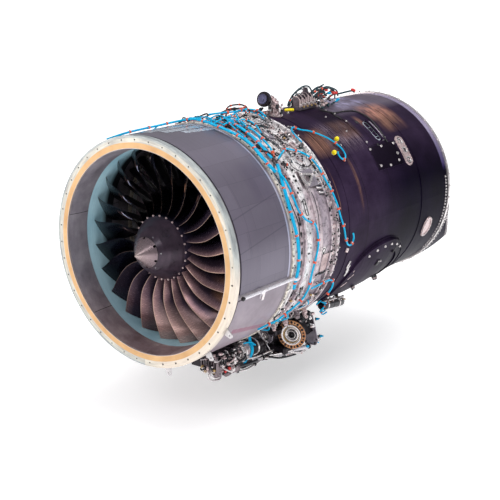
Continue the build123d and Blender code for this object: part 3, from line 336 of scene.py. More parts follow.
# outside wrap of the fan case: sealed fabric in courses, with laps and soft creases, and painted shade down the side
g = G("wrap_grey")
u = g.f("MULTIPLY", g.ang, 0.73)
br = g.n("TexBrick", offset=0.37, squash=1.0)
wob = g.f("MULTIPLY", g.f("SUBTRACT", g.noise(5, 2), 0.5), 0.02)
g.put(br.inputs["Vector"], g.vec(g.f("ADD", g.y, wob), g.f("ADD", u, wob), 0.0))
br.inputs["Scale"].default_value = 1.0
br.inputs["Mortar Size"].default_value = 0.0016
br.inputs["Mortar Smooth"].default_value = 0.9
br.inputs["Brick Width"].default_value = 0.245
br.inputs["Row Height"].default_value = 0.155
br.inputs["Color1"].default_value = (*srgb(106, 101, 110), 1)
br.inputs["Color2"].default_value = (*srgb(114, 109, 118), 1)
br.inputs["Mortar"].default_value = (*srgb(88, 84, 92), 1)
weave = g.noise(1.0, 2, 0.5, vec=g.vec(g.f("MULTIPLY", u, 240), g.f("MULTIPLY", g.y, 620), 0.0))
broad = g.noise(2.6, 5, 0.62)
c = g.mul(br.outputs[0], g.ramp(broad, [(0.25, (0.88, 0.87, 0.89)), (0.5, (1, 1, 1)), (0.8, (1.1, 1.08, 1.09))]))
c = g.mul(c, g.ramp(weave, [(0.3, (0.95, 0.95, 0.95)), (0.7, (1.02, 1.02, 1.02))]))
c = g.mix(g.f("MULTIPLY", g.band(g.deg, 38, 64, 6), g.band(g.y, 0.3, 0.54, 0.06)), c, g.mul(c, (0.86, 0.84, 0.9)))
# a darker course and two lap lines down the side, as seen round the middle of the wrap
lap = g.f("MAXIMUM", g.band(g.f("ADD", g.deg, g.f("MULTIPLY", g.y, 14.0)), 82.0, 82.8, 0.25), g.band(g.f("ADD", g.deg, g.f("MULTIPLY", g.y, 14.0)), 66.0, 66.8, 0.25))
c = g.mix(g.f("MULTIPLY", lap, 0.45), c, srgb(70, 66, 76))
fold = g.f("MULTIPLY", g.band(g.y, 0.165, 0.171, 0.003), g.band(g.deg, 40, 84, 2))
c = g.mix(g.f("MULTIPLY", fold, 0.5), c, srgb(72, 68, 78))
c = g.mix(g.band(g.y, 0.535, 0.551, 0.002), c, srgb(190, 190, 200))
crease = g.noise(1.0, 3, 0.5, vec=g.vec(g.f("MULTIPLY", u, 3.0), g.f("MULTIPLY", g.y, 26), 0.0))
# painted shade: darker and bluer down the side
c = g.mul(c, g.mix(g.mapr(g.deg, 62, 104), (0.97, 0.94, 1.04), (0.66, 0.63, 0.75)))
nm = g.bump(crease, 0.3, 0.004, g.bump(weave, 0.1, 0.0005, g.bump(br.outputs[1], 0.22, -0.0009)))
MAT["wrap_grey"] = g.end(c, g.mapr(broad, 0.3, 0.7, 0.30, 0.42), 0.45, nm, coat=0.25, coat_rough=0.22)

# lower panel: plain satin paint and one dull red painted stripe
g = G("panel_grey")
k = g.f("SUBTRACT", g.deg, g.f("ADD", 122.6, g.f("MULTIPLY", g.y, 20.5)))
k = g.f("ADD", k, g.f("MULTIPLY", g.f("SUBTRACT", g.noise(30, 3), 0.5), 0.6))
stripe = g.f("MULTIPLY", g.band(k, -1.9, 1.9, 0.3), g.band(g.y, 0.13, 0.548, 0.004))
base = g.ramp(g.noise(4, 5, 0.6), [(0.3, srgb(140, 131, 138)), (0.6, srgb(164, 155, 162)), (0.85, srgb(180, 172, 176))])
c = g.mix(g.f("MULTIPLY", stripe, 0.85), base, g.ramp(g.noise(60, 3), [(0.3, srgb(134, 78, 104)), (0.7, srgb(158, 98, 124))]))
c = g.mul(c, g.mix(g.mapr(g.deg, 108, 140), (0.72, 0.69, 0.74), (0.86, 0.76, 0.82)))
MAT["panel_grey"] = g.end(c, g.mapr(g.noise(30, 3), 0.3, 0.7, 0.3, 0.42), 0.3, g.bump(g.noise(90, 3), 0.1, 0.0006))

# fan blades: dark bead-blasted alloy with a polished leading edge; the blade set's finish below adds painted light and
# shade by position round the fan
g = G("titanium")
grain = g.noise(1.0, 3, 0.6, vec=g.vec(g.f("MULTIPLY", g.x, 60), g.f("MULTIPLY", g.y, 30), g.f("MULTIPLY", g.z, 60)))
broad = g.noise(7, 4, 0.6)
c = g.ramp(broad, [(0.3, srgb(92, 82, 90)), (0.55, srgb(124, 108, 112)), (0.8, srgb(150, 130, 128))])
c = g.mul(c, g.ramp(grain, [(0.3, (0.85, 0.85, 0.85)), (0.7, (1, 1, 1))]))
MAT["titanium"] = g.end(c, g.mapr(grain, 0.3, 0.7, 0.24, 0.36), 0.9, g.bump(grain, 0.1, 0.0005))

g = G("blade_finish")
uv = g.n("TexCoord").outputs["UV"]
sp = g.n("SeparateXYZ"); g.put(sp.inputs[0], uv)
cu, cv = sp.outputs[0], sp.outputs[1]
grain = g.noise(1.0, 3, 0.6, vec=g.vec(g.f("MULTIPLY", cu, 8), g.f("MULTIPLY", cv, 130), 0.0))
broad = g.noise(6, 4, 0.6)
# painted warm light: bronze, lightest at the leading edge, used on the blades at the lower right; plum elsewhere
bronze = g.ramp(g.f("ADD", cu, g.f("MULTIPLY", g.f("SUBTRACT", broad, 0.5), 0.35)), [(0.0, srgb(160, 126, 122)), (0.10, srgb(122, 94, 98)), (0.26, srgb(60, 47, 60)), (0.6, srgb(22, 17, 30))])
plum = g.ramp(g.f("ADD", cu, g.f("MULTIPLY", g.f("SUBTRACT", broad, 0.5), 0.3)), [(0.0, srgb(84, 70, 86)), (0.3, srgb(54, 45, 62)), (0.8, srgb(30, 25, 42))])
# mask of the painted warm light: the blades at the lower right
low = g.mapr(g.f("ADD", g.f("MULTIPLY", g.z, -1.0), g.f("MULTIPLY", g.x, 0.75)), 0.05, 0.34)
c = g.mix(low, plum, bronze)
# painted highlight: pale near the leading edge of the lowest blades' tips
lower_tip_highlight = g.f("MULTIPLY", g.mapr(g.z, -0.36, -0.58), g.mapr(g.x, -0.22, 0.0))
c = g.mix(g.f("MULTIPLY", lower_tip_highlight, g.mapr(cu, 0.75, 0.1)), c, srgb(208, 172, 164))
# painted highlight: a warm patch on the blades at the right
right_warm_highlight = g.f("MULTIPLY", g.f("MULTIPLY", g.band(g.z, -0.40, -0.12, 0.06), g.mapr(g.x, 0.34, 0.48)), g.band(cu, 0.2, 0.9, 0.2))
c = g.mix(g.f("MULTIPLY", right_warm_highlight, 0.7), c, srgb(196, 142, 110))
# painted shade: the blades at the upper left go near-black navy
upper_left_shade = g.ramp(broad, [(0.3, srgb(5, 5, 12)), (0.8, srgb(16, 17, 34))])
c = g.mix(g.mapr(g.f("SUBTRACT", g.z, g.f("MULTIPLY", g.x, 0.9)), -0.20, 0.16), c, upper_left_shade)
c = g.mul(c, g.ramp(grain, [(0.3, (0.86, 0.86, 0.86)), (0.7, (1, 1, 1))]))
# leading edge: real polish, brightened only towards the lower right as a painted highlight
edge = g.f("MULTIPLY", g.mapr(cu, 0.022, 0.008), g.mapr(cv, 0.04, 0.12))
edge = g.f("MULTIPLY", edge, g.mapr(g.f("ADD", g.x, g.f("MULTIPLY", g.z, -0.6)), -0.35, 0.15))
c = g.mix(g.f("MULTIPLY", edge, 0.8), c, srgb(196, 166, 150))
# painted glints, glowing a little: short pale streaks across the blades at the upper left, short warm ones at the upper
# right
wob = g.noise(1.0, 2, 0.5, vec=g.vec(g.f("MULTIPLY", g.ang, 9.0), 0.0, 0.0))
lane = g.f("SUBTRACT", cv, g.f("ADD", 0.44, g.f("MULTIPLY", g.f("ADD", g.deg, 67.0), 0.0078)))
lane = g.f("ADD", lane, g.f("MULTIPLY", g.f("SUBTRACT", wob, 0.5), 0.10))
gl = g.f("MAXIMUM", g.band(lane, -0.016, 0.016, 0.010), g.f("MULTIPLY", g.band(lane, -0.135, -0.115, 0.014), 0.30))
gl = g.f("MAXIMUM", gl, g.f("MULTIPLY", g.band(lane, 0.085, 0.105, 0.014), 0.30))
gl = g.f("MULTIPLY", g.f("MULTIPLY", gl, g.band(g.deg, -84, -14, 8)), g.band(cu, 0.12, 0.92, 0.16))
warm_glint = g.f("MULTIPLY", g.f("MULTIPLY", g.band(cv, 0.48, 0.62, 0.05), g.band(g.deg, 8, 40, 6)), g.band(cu, 0.08, 0.20, 0.04))
c = g.mix(gl, c, srgb(206, 214, 236))
MAT["blade_finish"] = g.end(c, g.f("ADD", g.mapr(grain, 0.3, 0.7, 0.20, 0.30), g.f("MULTIPLY", edge, 0.06)), g.mix(edge, (0.5,) * 3, (0.4,) * 3), g.bump(grain, 0.06, 0.0004), spec=0.14)
# the glints glow: painted highlights carried in the emission
g.put(g.b.inputs["Emission Color"], g.mix(gl, srgb(196, 140, 108), srgb(176, 192, 232)))
g.put(g.b.inputs["Emission Strength"], g.f("MAXIMUM", g.f("MULTIPLY", gl, 1.3), g.f("MULTIPLY", warm_glint, 0.6)))

# spinner: satin paint with a rubbed mottle, and a painted highlight that lightens it towards the tip
g = G("cone_grey")
rub = g.noise(22, 4, 0.6)
c = g.ramp(g.mapr(g.y, -0.07, 0.034), [(0.0, srgb(190, 172, 168)), (0.35, srgb(150, 132, 134)), (1.0, srgb(122, 106, 112))])
c = g.mul(c, g.ramp(rub, [(0.3, (0.88, 0.88, 0.88)), (0.7, (1.04, 1.04, 1.04))]))
MAT["cone_grey"] = g.end(c, g.mapr(rub, 0.3, 0.7, 0.24, 0.32), 0.75, g.bump(g.noise(120, 3), 0.08, 0.0005))
g = G("spinner_dark")
rub = g.noise(16, 4, 0.6)
c = g.ramp(rub, [(0.3, srgb(40, 28, 42)), (0.7, srgb(66, 50, 64))])
c = g.mix(g.band(g.y, 0.0330, 0.0362, 0.0006), c, srgb(30, 24, 28))
MAT["spinner_dark"] = g.end(c, g.mapr(rub, 0.3, 0.7, 0.26, 0.38), 0.5, g.bump(g.noise(120, 3), 0.08, 0.0005), coat=0.15, coat_rough=0.2)

# duct: wound dark composite under a clear resin, with fine hoops, copper-brown patches, and painted highlights and
# shade
g = G("composite_dark")
hoop = g.noise(1.0, 3, 0.65, vec=g.vec(g.f("MULTIPLY", g.ang, 2.2), g.f("MULTIPLY", g.y, 120), 0.0))
fineh = g.noise(1.0, 2, 0.5, vec=g.vec(g.f("MULTIPLY", g.ang, 5.0), g.f("MULTIPLY", g.y, 300), 0.0))
cross = g.noise(1.0, 2, 0.5, vec=g.vec(g.f("MULTIPLY", g.ang, 120.0), g.f("MULTIPLY", g.y, 9), 0.0))
broad = g.noise(2.4, 5, 0.6)
c = g.ramp(broad, [(0.3, srgb(27, 19, 33)), (0.55, srgb(46, 35, 54)), (0.8, srgb(66, 54, 74))])
brown = g.ramp(hoop, [(0.3, srgb(76, 54, 48)), (0.5, srgb(128, 96, 78)), (0.72, srgb(182, 142, 112))])


def blob(a0, a1, sa, y0, y1, sy):
    return g.f("MULTIPLY", g.band(g.deg, a0, a1, sa), g.band(g.y, y0, y1, sy))


warm = blob(-46, 6, 16, 1.14, 1.52, 0.06)
for q in ((26, 49, 7, 1.14, 1.44, 0.05), (50, 84, 10, 1.170, 1.186, 0.008), (48, 86, 14, 1.425, 1.47, 0.02), (24, 42, 5, 1.50, 1.80, 0.10), (22, 44, 7, 2.06, 2.42, 0.10),
          (24, 36, 5, 1.86, 1.94, 0.03), (-70, -30, 14, 1.6, 2.4, 0.2)):
    warm = g.f("MAXIMUM", warm, blob(*q))
warm = g.f("MULTIPLY", warm, g.mapr(g.noise(5.0, 4, 0.6, vec=g.stretch(1, 1.6, 1)), 0.30, 0.56))
c = g.mix(g.f("MULTIPLY", warm, 0.78), c, brown)
sheen_ = g.f("MULTIPLY", g.band(g.deg, 22, 50, 9), g.band(g.y, 1.34, 1.80, 0.10))
c = g.mix(g.f("MULTIPLY", g.f("MULTIPLY", sheen_, 0.6), g.mapr(fineh, 0.5, 0.62)), c, srgb(168, 154, 156))
# painted highlight over the crown: lighter grey along the hoops
crown = g.f("MULTIPLY", g.band(g.deg, -60, 24, 8), g.band(g.y, 1.70, 2.64, 0.08))
c = g.mix(g.f("MULTIPLY", crown, 0.55), c, g.ramp(hoop, [(0.3, srgb(104, 98, 108)), (0.7, srgb(150, 144, 152))]))
c = g.mul(c, g.ramp(fineh, [(0.3, (0.74, 0.74, 0.74)), (0.7, (1.06, 1.06, 1.06))]))
c = g.mul(c, g.ramp(cross, [(0.35, (0.88, 0.88, 0.88)), (0.65, (1, 1, 1))]))
seam = g.f("MAXIMUM", g.band(g.y, 1.498, 1.503, 0.001), g.band(g.y, 1.838, 1.842, 0.001))
c = g.mix(seam, c, srgb(22, 16, 22))
rim = g.f("MULTIPLY", g.band(g.y, 2.588, 2.66, 0.006), g.band(g.deg, -170, 76, 6))
c = g.mix(rim, c, g.ramp(hoop, [(0.3, srgb(112, 108, 128)), (0.7, srgb(164, 160, 178))]))
nm = g.bump(hoop, 0.2, 0.0012, g.bump(cross, 0.08, 0.0006))
cover_ = g.f("MULTIPLY", g.band(g.deg, 48.9, 63.8, 0.15), g.band(g.y, 1.740, 2.080, 0.002))
c = g.mix(g.f("MULTIPLY", cover_, 0.75), c, srgb(12, 7, 16))
gleam = g.f("MULTIPLY", g.band(g.deg, -30, 17, 7), g.band(g.y, 1.86, 2.34, 0.10))
gleam = g.f("MULTIPLY", gleam, g.mapr(g.noise(1.0, 3, 0.6, vec=g.vec(g.f("MULTIPLY", g.ang, 5.0), g.f("MULTIPLY", g.y, 14), 0.0)), 0.38, 0.62))
c = g.mix(g.f("MULTIPLY", gleam, 0.75), c, srgb(168, 168, 190))
shade = g.f("MULTIPLY", g.band(g.deg, 6, 40, 6), g.band(g.y, 1.50, 1.80, 0.04))
c = g.mix(g.f("MULTIPLY", shade, 0.55), c, srgb(16, 10, 18))
# painted highlight: a warm copper reflection on the upper side
copper = g.f("MULTIPLY", g.band(g.deg, 14, 33, 7), g.band(g.y, 2.02, 2.42, 0.12))
copper = g.f("MULTIPLY", copper, g.mapr(g.noise(1.0, 3, 0.6, vec=g.vec(g.f("MULTIPLY", g.ang, 6.0), g.f("MULTIPLY", g.y, 26), 0.0)), 0.34, 0.56))
c = g.mix(g.f("MULTIPLY", copper, 0.85), c, g.ramp(hoop, [(0.3, srgb(150, 106, 92)), (0.7, srgb(206, 158, 130))]))
# painted shade: the side darkened, strongest low on the side and towards the rear
c = g.mul(c, g.mix(g.f("MULTIPLY", g.mapr(g.deg, 48, 74), g.mapr(g.y, 1.55, 2.05)), (1, 1, 1), (0.16, 0.12, 0.34)))
c = g.mul(c, (1.0, 0.93, 1.04))
MAT["composite_dark"] = g.end(c, g.mapr(hoop, 0.3, 0.7, 0.30, 0.44), 0.04, nm, spec=0.02)

# machined magnesium-like case: cream, white and pinkish bands, patches of dirt, and painted shade in the gaps between
# cast plates
g = G("cream_alloy")
broad = g.noise(9, 5, 0.65)
fine = g.noise(70, 4, 0.65)
white = g.ramp(broad, [(0.25, srgb(200, 194, 200)), (0.5, srgb(236, 232, 232)), (0.8, srgb(252, 250, 248))])
crm = g.ramp(broad, [(0.25, srgb(204, 192, 180)), (0.5, srgb(236, 226, 212)), (0.8, srgb(250, 244, 234))])
pink = g.ramp(broad, [(0.25, srgb(150, 136, 146)), (0.5, srgb(196, 180, 186)), (0.8, srgb(228, 214, 214))])
grey = g.ramp(broad, [(0.25, srgb(118, 108, 120)), (0.5, srgb(160, 148, 158)), (0.8, srgb(196, 184, 190))])
c = g.mix(g.f("GREATER_THAN", g.y, 0.612), crm, white)
c = g.mix(g.band(g.y, 0.654, 0.735, 0.001), c, pink)
side = g.mapr(g.deg, 54, 66)
c = g.mix(g.f("MULTIPLY", g.band(g.y, 0.797, 1.2, 0.002), side), c, pink)
c = g.mix(g.f("MULTIPLY", g.band(g.y, 0.944, 1.026, 0.002), g.f("MULTIPLY", side, 0.8)), c, grey)
grime = g.mapr(g.f("ADD", g.noise(26, 5, 0.7), g.f("MULTIPLY", fine, 0.35)), 0.66, 0.84)
c = g.mix(g.f("MULTIPLY", grime, 0.7), c, srgb(70, 60, 68))
# painted shade in the gaps between the cast plates, less on the side
plates = g.voro(13.0, vec=g.vec(g.f("MULTIPLY", g.ang, 0.7), g.f("MULTIPLY", g.y, 1.0), 0.0), feature="DISTANCE_TO_EDGE")
edge = g.f("MULTIPLY", g.mapr(plates, 0.030, 0.012), g.f("MULTIPLY", g.band(g.y, 0.80, 1.2, 0.002), g.f("SUBTRACT", 1.0, g.f("MULTIPLY", side, 0.75))))
c = g.mix(g.f("MULTIPLY", edge, 0.8), c, srgb(52, 44, 54))
c = g.mix(g.f("MULTIPLY", g.band(g.y, 0.940, 0.9445, 0.0008), 0.85), c, srgb(86, 74, 82))
nm = g.bump(fine, 0.18, 0.0012, g.bump(plates, 0.2, 0.0012))
MAT["cream_alloy"] = g.end(c, g.mapr(fine, 0.3, 0.7, 0.28, 0.48), 0.15, nm, coat=0.1)

# starter pad: bronze mounting ring round a bright machined boss, with painted shade in its bore
g = G("pad_bronze")
dx = g.n("VectorMath", operation="SUBTRACT"); g.put(dx.inputs[0], g.p); dx.inputs[1].default_value = (0.400, 1.030, -0.737)
cr = g.n("VectorMath", operation="CROSS_PRODUCT"); g.put(cr.inputs[0], dx.outputs[0]); cr.inputs[1].default_value = (0.258819, -0.965926, 0.0)
le = g.n("VectorMath", operation="LENGTH"); g.put(le.inputs[0], cr.outputs[0])
rho = le.outputs["Value"]
rings_ = g.noise(1.0, 3, 0.6, vec=g.vec(g.f("MULTIPLY", rho, 700.0), 0.0, 0.0))
bron = g.ramp(g.noise(14, 4, 0.6), [(0.3, srgb(158, 104, 68)), (0.6, srgb(206, 148, 104)), (0.85, srgb(232, 184, 142))])
silv = g.ramp(g.noise(14, 4, 0.6), [(0.3, srgb(168, 160, 162)), (0.7, srgb(226, 218, 214))])
c = g.mix(g.f("LESS_THAN", rho, 0.0735), bron, silv)
c = g.mix(g.band(rho, 0.0700, 0.0735, 0.0006), c, srgb(96, 74, 66))
# painted shade: the bore darkened
c = g.mix(g.f("LESS_THAN", rho, 0.0372), c, srgb(34, 28, 34))
c = g.mul(c, g.ramp(rings_, [(0.3, (0.78, 0.78, 0.78)), (0.7, (1, 1, 1))]))
MAT["pad_bronze"] = g.end(c, 0.3, 0.7, g.bump(rings_, 0.2, 0.0004))

MAT["bare_alloy"] = brushed("bare_alloy", srgb(206, 202, 204), "turn", 0.3, 0.9, 0.3)
MAT["case_alloy"] = worn("case_alloy", srgb(150, 143, 150), 0.3, 0.36, 0.3, 8)
MAT["bright_steel"] = brushed("bright_steel", srgb(232, 226, 226), "turn", 0.24, 0.85, 0.22)
MAT["shaft_steel"] = brushed("shaft_steel", srgb(160, 158, 162), "turn", 0.2)
MAT["hot_alloy"] = brushed("hot_alloy", srgb(150, 126, 104), "turn", 0.34, 1.0, 0.3, stain=srgb(92, 78, 92))
MAT["pad_grey"] = worn("pad_grey", srgb(150, 142, 152), 0.4, 0.35, 0.35, 14)
MAT["black_casting"] = worn("black_casting", srgb(38, 32, 38), 0.5, 0.36, 0.4, 12, grain=220, strength=0.3)
MAT["valve_face"] = worn("valve_face", srgb(84, 84, 116), 0.5, 0.36, 0.4, 12, grain=220, strength=0.3)
MAT["black_paint"] = worn("black_paint", srgb(30, 29, 36), 0.3, 0.3, 0.4, 14, coat=0.2)
MAT["pump_alloy"] = worn("pump_alloy", srgb(138, 126, 130), 0.75, 0.38, 0.45, 22, grain=260, strength=0.35)
MAT["yellow_plastic"] = worn("yellow_plastic", srgb(250, 226, 10), 0.0, 0.4, 0.12, 20)
MAT["white_tube"] = worn("white_tube", srgb(228, 224, 230), 0.3, 0.32, 0.2, 30)
MAT["manifold_dark"] = worn("manifold_dark", srgb(92, 84, 92), 0.7, 0.36, 0.55, 34, grain=260, strength=0.35)
MAT["vane_dark"] = worn("vane_dark", srgb(34, 31, 38), 0.5, 0.45, 0.4, 14)
MAT["bronze_plate"] = brushed("bronze_plate", srgb(206, 146, 104), "turn", 0.3, 0.9, 0.25)
MAT["film"] = worn("film", srgb(206, 214, 228), 0.6, 0.2, 0.3, 18, coat=0.4)
MAT["clip_orange"] = worn("clip_orange", srgb(226, 92, 62), 0.0, 0.45, 0.2, 40)
MAT["red_cap"] = worn("red_cap", srgb(214, 52, 48), 0.0, 0.4, 0.15, 40)
MAT["teal_hose"] = worn("teal_hose", srgb(10, 52, 62), 0.1, 0.34, 0.3, 40)
MAT["black_rubber"] = worn("black_rubber", srgb(24, 22, 27), 0.0, 0.5, 0.3, 40)
MAT["gold_plate"] = worn("gold_plate", srgb(190, 160, 110), 0.8, 0.3, 0.3, 40)
MAT["pink_metal"] = worn("pink_metal", srgb(206, 184, 184), 0.5, 0.32, 0.3, 30)

# cable sleeve: shiny cyan, with a fine braid
g = G("harness_blue")
br_ = g.noise(420, 2, 0.5)
c = g.ramp(g.noise(20, 4, 0.6), [(0.3, (0.0, 0.27, 0.50)), (0.6, (0.0, 0.41, 0.66)), (0.85, (0.0, 0.58, 0.84))])
c = g.mul(c, g.ramp(br_, [(0.3, (0.86, 0.9, 0.93)), (0.7, (1, 1, 1))]))
MAT["harness_blue"] = g.end(c, 0.42, 0.0, g.bump(br_, 0.2, 0.0005), spec=0.2)
# the sleeve glows a little in cyan: a painted brightness
g.b.inputs["Emission Color"].default_value = (0.0, 0.42, 0.78, 1)
g.b.inputs["Emission Strength"].default_value = 0.12

SLOT = {s["node"]: s["material_slot"] for s in frame["record"]["subparts"]}
for name, o in N.items():
    want = MAT[{"starter_pad": "pad_bronze", "outlet_guide_vanes": "vane_dark", "core_splitter": "vane_dark", "top_manifold": "manifold_dark"}.get(name, SLOT[name])]
    o.data.materials.clear()
    o.data.materials.append(want)

# ------------------------------------------------------------------ floor
me = bpy.data.meshes.new("floor")
fz = low0[2] - 0.16
me.from_pydata([(-40, -12, fz), (14, -12, fz), (14, 60, fz), (-40, 60, fz)], [], [(0, 1, 2, 3)])
floor_o = bpy.data.objects.new("floor", me)
scene.collection.objects.link(floor_o)
g = G("floor_pale")
MAT["floor"] = g.end(g.ramp(g.noise(0.6, 2), [(0.3, (0.82, 0.82, 0.82)), (0.7, (0.84, 0.84, 0.84))]), 0.8, spec=0.05)
g.b.inputs["Emission Color"].default_value = (1, 1, 1, 1)
# painted shadow: the floor's emission falls to 0.40 in an ellipse under the engine, rising to 0.98 further out
painted_shadow_dist = g.f("SQRT", g.f("ADD", g.f("POWER", g.f("ADD", g.x, 0.1), 2.0), g.f("POWER", g.f("MULTIPLY", g.f("SUBTRACT", g.y, 1.1), 0.625), 2.0)))
g.put(g.b.inputs["Emission Strength"], g.mapr(painted_shadow_dist, 0.35, 2.5, 0.40, 0.98))
me.materials.append(MAT["floor"])


# ------------------------------------------------------------------ mesh kit
def P(r, a, y):
    return Vector((r * sin(radians(a)), y, r * cos(radians(a))))


def rad_n(a):
    return Vector((sin(radians(a)), 0, cos(radians(a))))


def tan_n(a):
    return Vector((cos(radians(a)), 0, -sin(radians(a))))


Y = Vector((0, 1, 0))


def base_of(d):
    d = Vector(d).normalized()
    a = Vector((0, 0, 1)) if abs(d.z) < 0.9 else Vector((0, 1, 0))
    u = d.cross(a).normalized()
    return u, d.cross(u).normalized(), d


class Soup:
    """Collects small formed parts that share one material into one piece."""

    def __init__(s, name, body="engine", slot="bright_steel", mat=None, replaces=()):
        s.name, s.body, s.slot, s.mat, s.rep = name, body, slot, mat or slot, replaces
        s.v, s.fc, s.uv = [], [], None

    def add(s, vs, fs):
        k = len(s.v)
        s.v += [tuple(q) for q in vs]
        s.fc += [tuple(i + k for i in f) for f in fs]

    def lathe(s, p, d, prof, n=14, flats=None):
        """Turned part: prof is (radius, height) along d from p. Rings whose radius is given negative are hexagonal.
        flats is not used.
        """
        u, w, d = base_of(d)
        p = Vector(p)
        vs, fs = [], []
        for r, h in prof:
            hexa = r < 0
            r = abs(r)
            for i in range(n):
                t = 2 * pi * i / n
                k = r
                if hexa:
                    t6 = (t + pi / 6) % (pi / 3) - pi / 6
                    k = r / cos(t6)
                vs.append(p + d * h + u * (k * cos(t)) + w * (k * sin(t)))
        m_ = len(prof)
        for j in range(m_ - 1):
            for i in range(n):
                a, b = j * n + i, j * n + (i + 1) % n
                fs.append((a, b, b + n, a + n))
        fs.append(tuple(reversed(range(n))))
        fs.append(tuple(range((m_ - 1) * n, m_ * n)))
        s.add(vs, fs)

    def ring(s, p, d, prof, n=40):
        """Turned ring with an open middle: prof is a closed loop of (radius, height)."""
        u, w, d = base_of(d)
        p = Vector(p)
        m_ = len(prof)
        vs = [p + d * h + u * (r * cos(2 * pi * i / n)) + w * (r * sin(2 * pi * i / n)) for r, h in prof for i in range(n)]
        fs = []
        for j in range(m_):
            for i in range(n):
                a, b = j * n + i, j * n + (i + 1) % n
                a2, b2 = ((j + 1) % m_) * n + i, ((j + 1) % m_) * n + (i + 1) % n
                fs.append((a, b, b2, a2))
        s.add(vs, fs)

    def bolt(s, p, d, af=0.011, h=0.006, washer=True, n=12):
        r = af / 2
        prof = []
        if washer:
            prof += [(r * 1.55, 0), (r * 1.6, h * 0.08), (r * 1.5, h * 0.2)]
        prof += [(-r * 0.99, h * 0.2), (-r, h * 0.3), (-r, h * 0.85), (r * 0.93, h), (r * 0.5, h * 1.0), (r * 0.45, h * 1.3), (r * 0.3, h * 1.36)]
        s.lathe(p, d, prof, n)

    def rbox(s, c, ex, ey, ez, sx, sy, sz, b=0.002):
        """Box with broken edges; ex, ey, ez are its directions and sx.. its full sizes."""
        c = Vector(c)
        hx, hy, hz = sx / 2, sy / 2, sz / 2
        b = min(b, hx * 0.8, hy * 0.8, hz * 0.8)
        bm = bmesh.new()
        for i in (-1, 1):
            for j in (-1, 1):
                for k in (-1, 1):
                    for q in ((hx, hy - b, hz - b), (hx - b, hy, hz - b), (hx - b, hy - b, hz)):
                        bm.verts.new(c + ex * (i * q[0]) + ey * (j * q[1]) + ez * (k * q[2]))
        res = bmesh.ops.convex_hull(bm, input=bm.verts)
        bm.verts.ensure_lookup_table()
        bm.verts.index_update()
        s.add([v.co.copy() for v in bm.verts], [tuple(v.index for v in f.verts) for f in bm.faces])
        bm.free()

    def path(s, pts, step=0.008):
        """Points along a smooth Catmull-Rom line through pts."""
        pts = [Vector(p) for p in pts]
        e = [pts[0] * 2 - pts[1]] + pts + [pts[-1] * 2 - pts[-2]]
        out = []
        for i in range(1, len(e) - 2):
            a, b, c, d = e[i - 1], e[i], e[i + 1], e[i + 2]
            n = max(2, int((c - b).length / step))
            for j in range(n):
                t = j / n
                out.append(0.5 * ((2 * b) + (c - a) * t + (2 * a - 5 * b + 4 * c - d) * t * t + (3 * b - a - 3 * c + d) * t ** 3))
        out.append(pts[-1])
        return out

    def tube(s, pts, r, n=10, step=0.008, smooth=True, taper=None, caps=True):
        line = s.path(pts, step) if smooth and len(pts) > 2 else [Vector(p) for p in pts]
        vs, fs = [], []
        t0 = (line[1] - line[0]).normalized()
        u, w, _ = base_of(t0)
        for i, p in enumerate(line):
            t = (line[min(i + 1, len(line) - 1)] - line[max(i - 1, 0)]).normalized()
            u = (u - t * u.dot(t)).normalized()
            w = t.cross(u)
            rr = r if taper is None else r * taper(i / (len(line) - 1))
            for k in range(n):
                q = 2 * pi * k / n
                vs.append(p + u * (rr * cos(q)) + w * (rr * sin(q)))
        for j in range(len(line) - 1):
            for k in range(n):
                a, b = j * n + k, j * n + (k + 1) % n
                fs.append((a, b, b + n, a + n))
        if caps:
            fs.append(tuple(reversed(range(n))))
            fs.append(tuple(range((len(line) - 1) * n, len(line) * n)))
        s.add(vs, fs)
        return line

    def prism(s, outline, depth):
        """Plate: outline is a list of points, depth a vector."""
        n = len(outline)
        o_ = [Vector(p) for p in outline]
        s.add(o_ + [p + depth for p in o_],
              [tuple(range(n - 1, -1, -1)), tuple(range(n, 2 * n))] + [(i, (i + 1) % n, (i + 1) % n + n, i + n) for i in range(n)])

    def shell(s, rows, thick=None, close=False):
        """Grid of points, rows of equal length, as a surface."""
        n = len(rows[0])
        fs = []
        for j in range(len(rows) - 1):
            for i in range(n - (0 if close else 1)):
                a, b = j * n + i, j * n + (i + 1) % n
                fs.append((a, b, b + n, a + n))
        s.add([p for row in rows for p in row], fs)

    def make(s, angle=38, uv=None, fixn=True):
        me = bpy.data.meshes.new(s.name)
        me.from_pydata(s.v, [], s.fc)
        if uv:
            lay = me.uv_layers.new(name="UVMap")
            for poly in me.polygons:
                for li in poly.loop_indices:
                    lay.data[li].uv = uv[me.loops[li].vertex_index]
        if fixn:
            bm = bmesh.new()
            bm.from_mesh(me)
            bmesh.ops.recalc_face_normals(bm, faces=bm.faces)
            bm.to_mesh(me)
            bm.free()
        for poly in me.polygons:
            poly.use_smooth = True
        me.set_sharp_from_angle(angle=radians(angle))
        me.materials.append(MAT[s.mat])
        o = bpy.data.objects.new(s.name, me)
        scene.collection.objects.link(o)
        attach(o, s.body)
        if s.rep:
            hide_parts(*s.rep)
        return o


# one soup for each finish, for the small parts all round the cases
S = {}


def soup(name, slot, mat=None):
    S[name] = Soup("detail_" + name, slot=slot, mat=mat)
    return S[name]


steel = soup("steel", "bright_steel")
dark = soup("dark", "black_paint")
teal = soup("teal", "harness_blue", "teal_hose")
rubber = soup("rubber", "clip_orange", "black_rubber")
orange = soup("orange", "clip_orange")
red = soup("red", "clip_orange", "red_cap")
pink = soup("pink", "bare_alloy", "pink_metal")
gold = soup("gold", "bronze_plate", "gold_plate")
cyan = soup("cyan", "harness_blue")
cast = soup("cast", "pump_alloy")

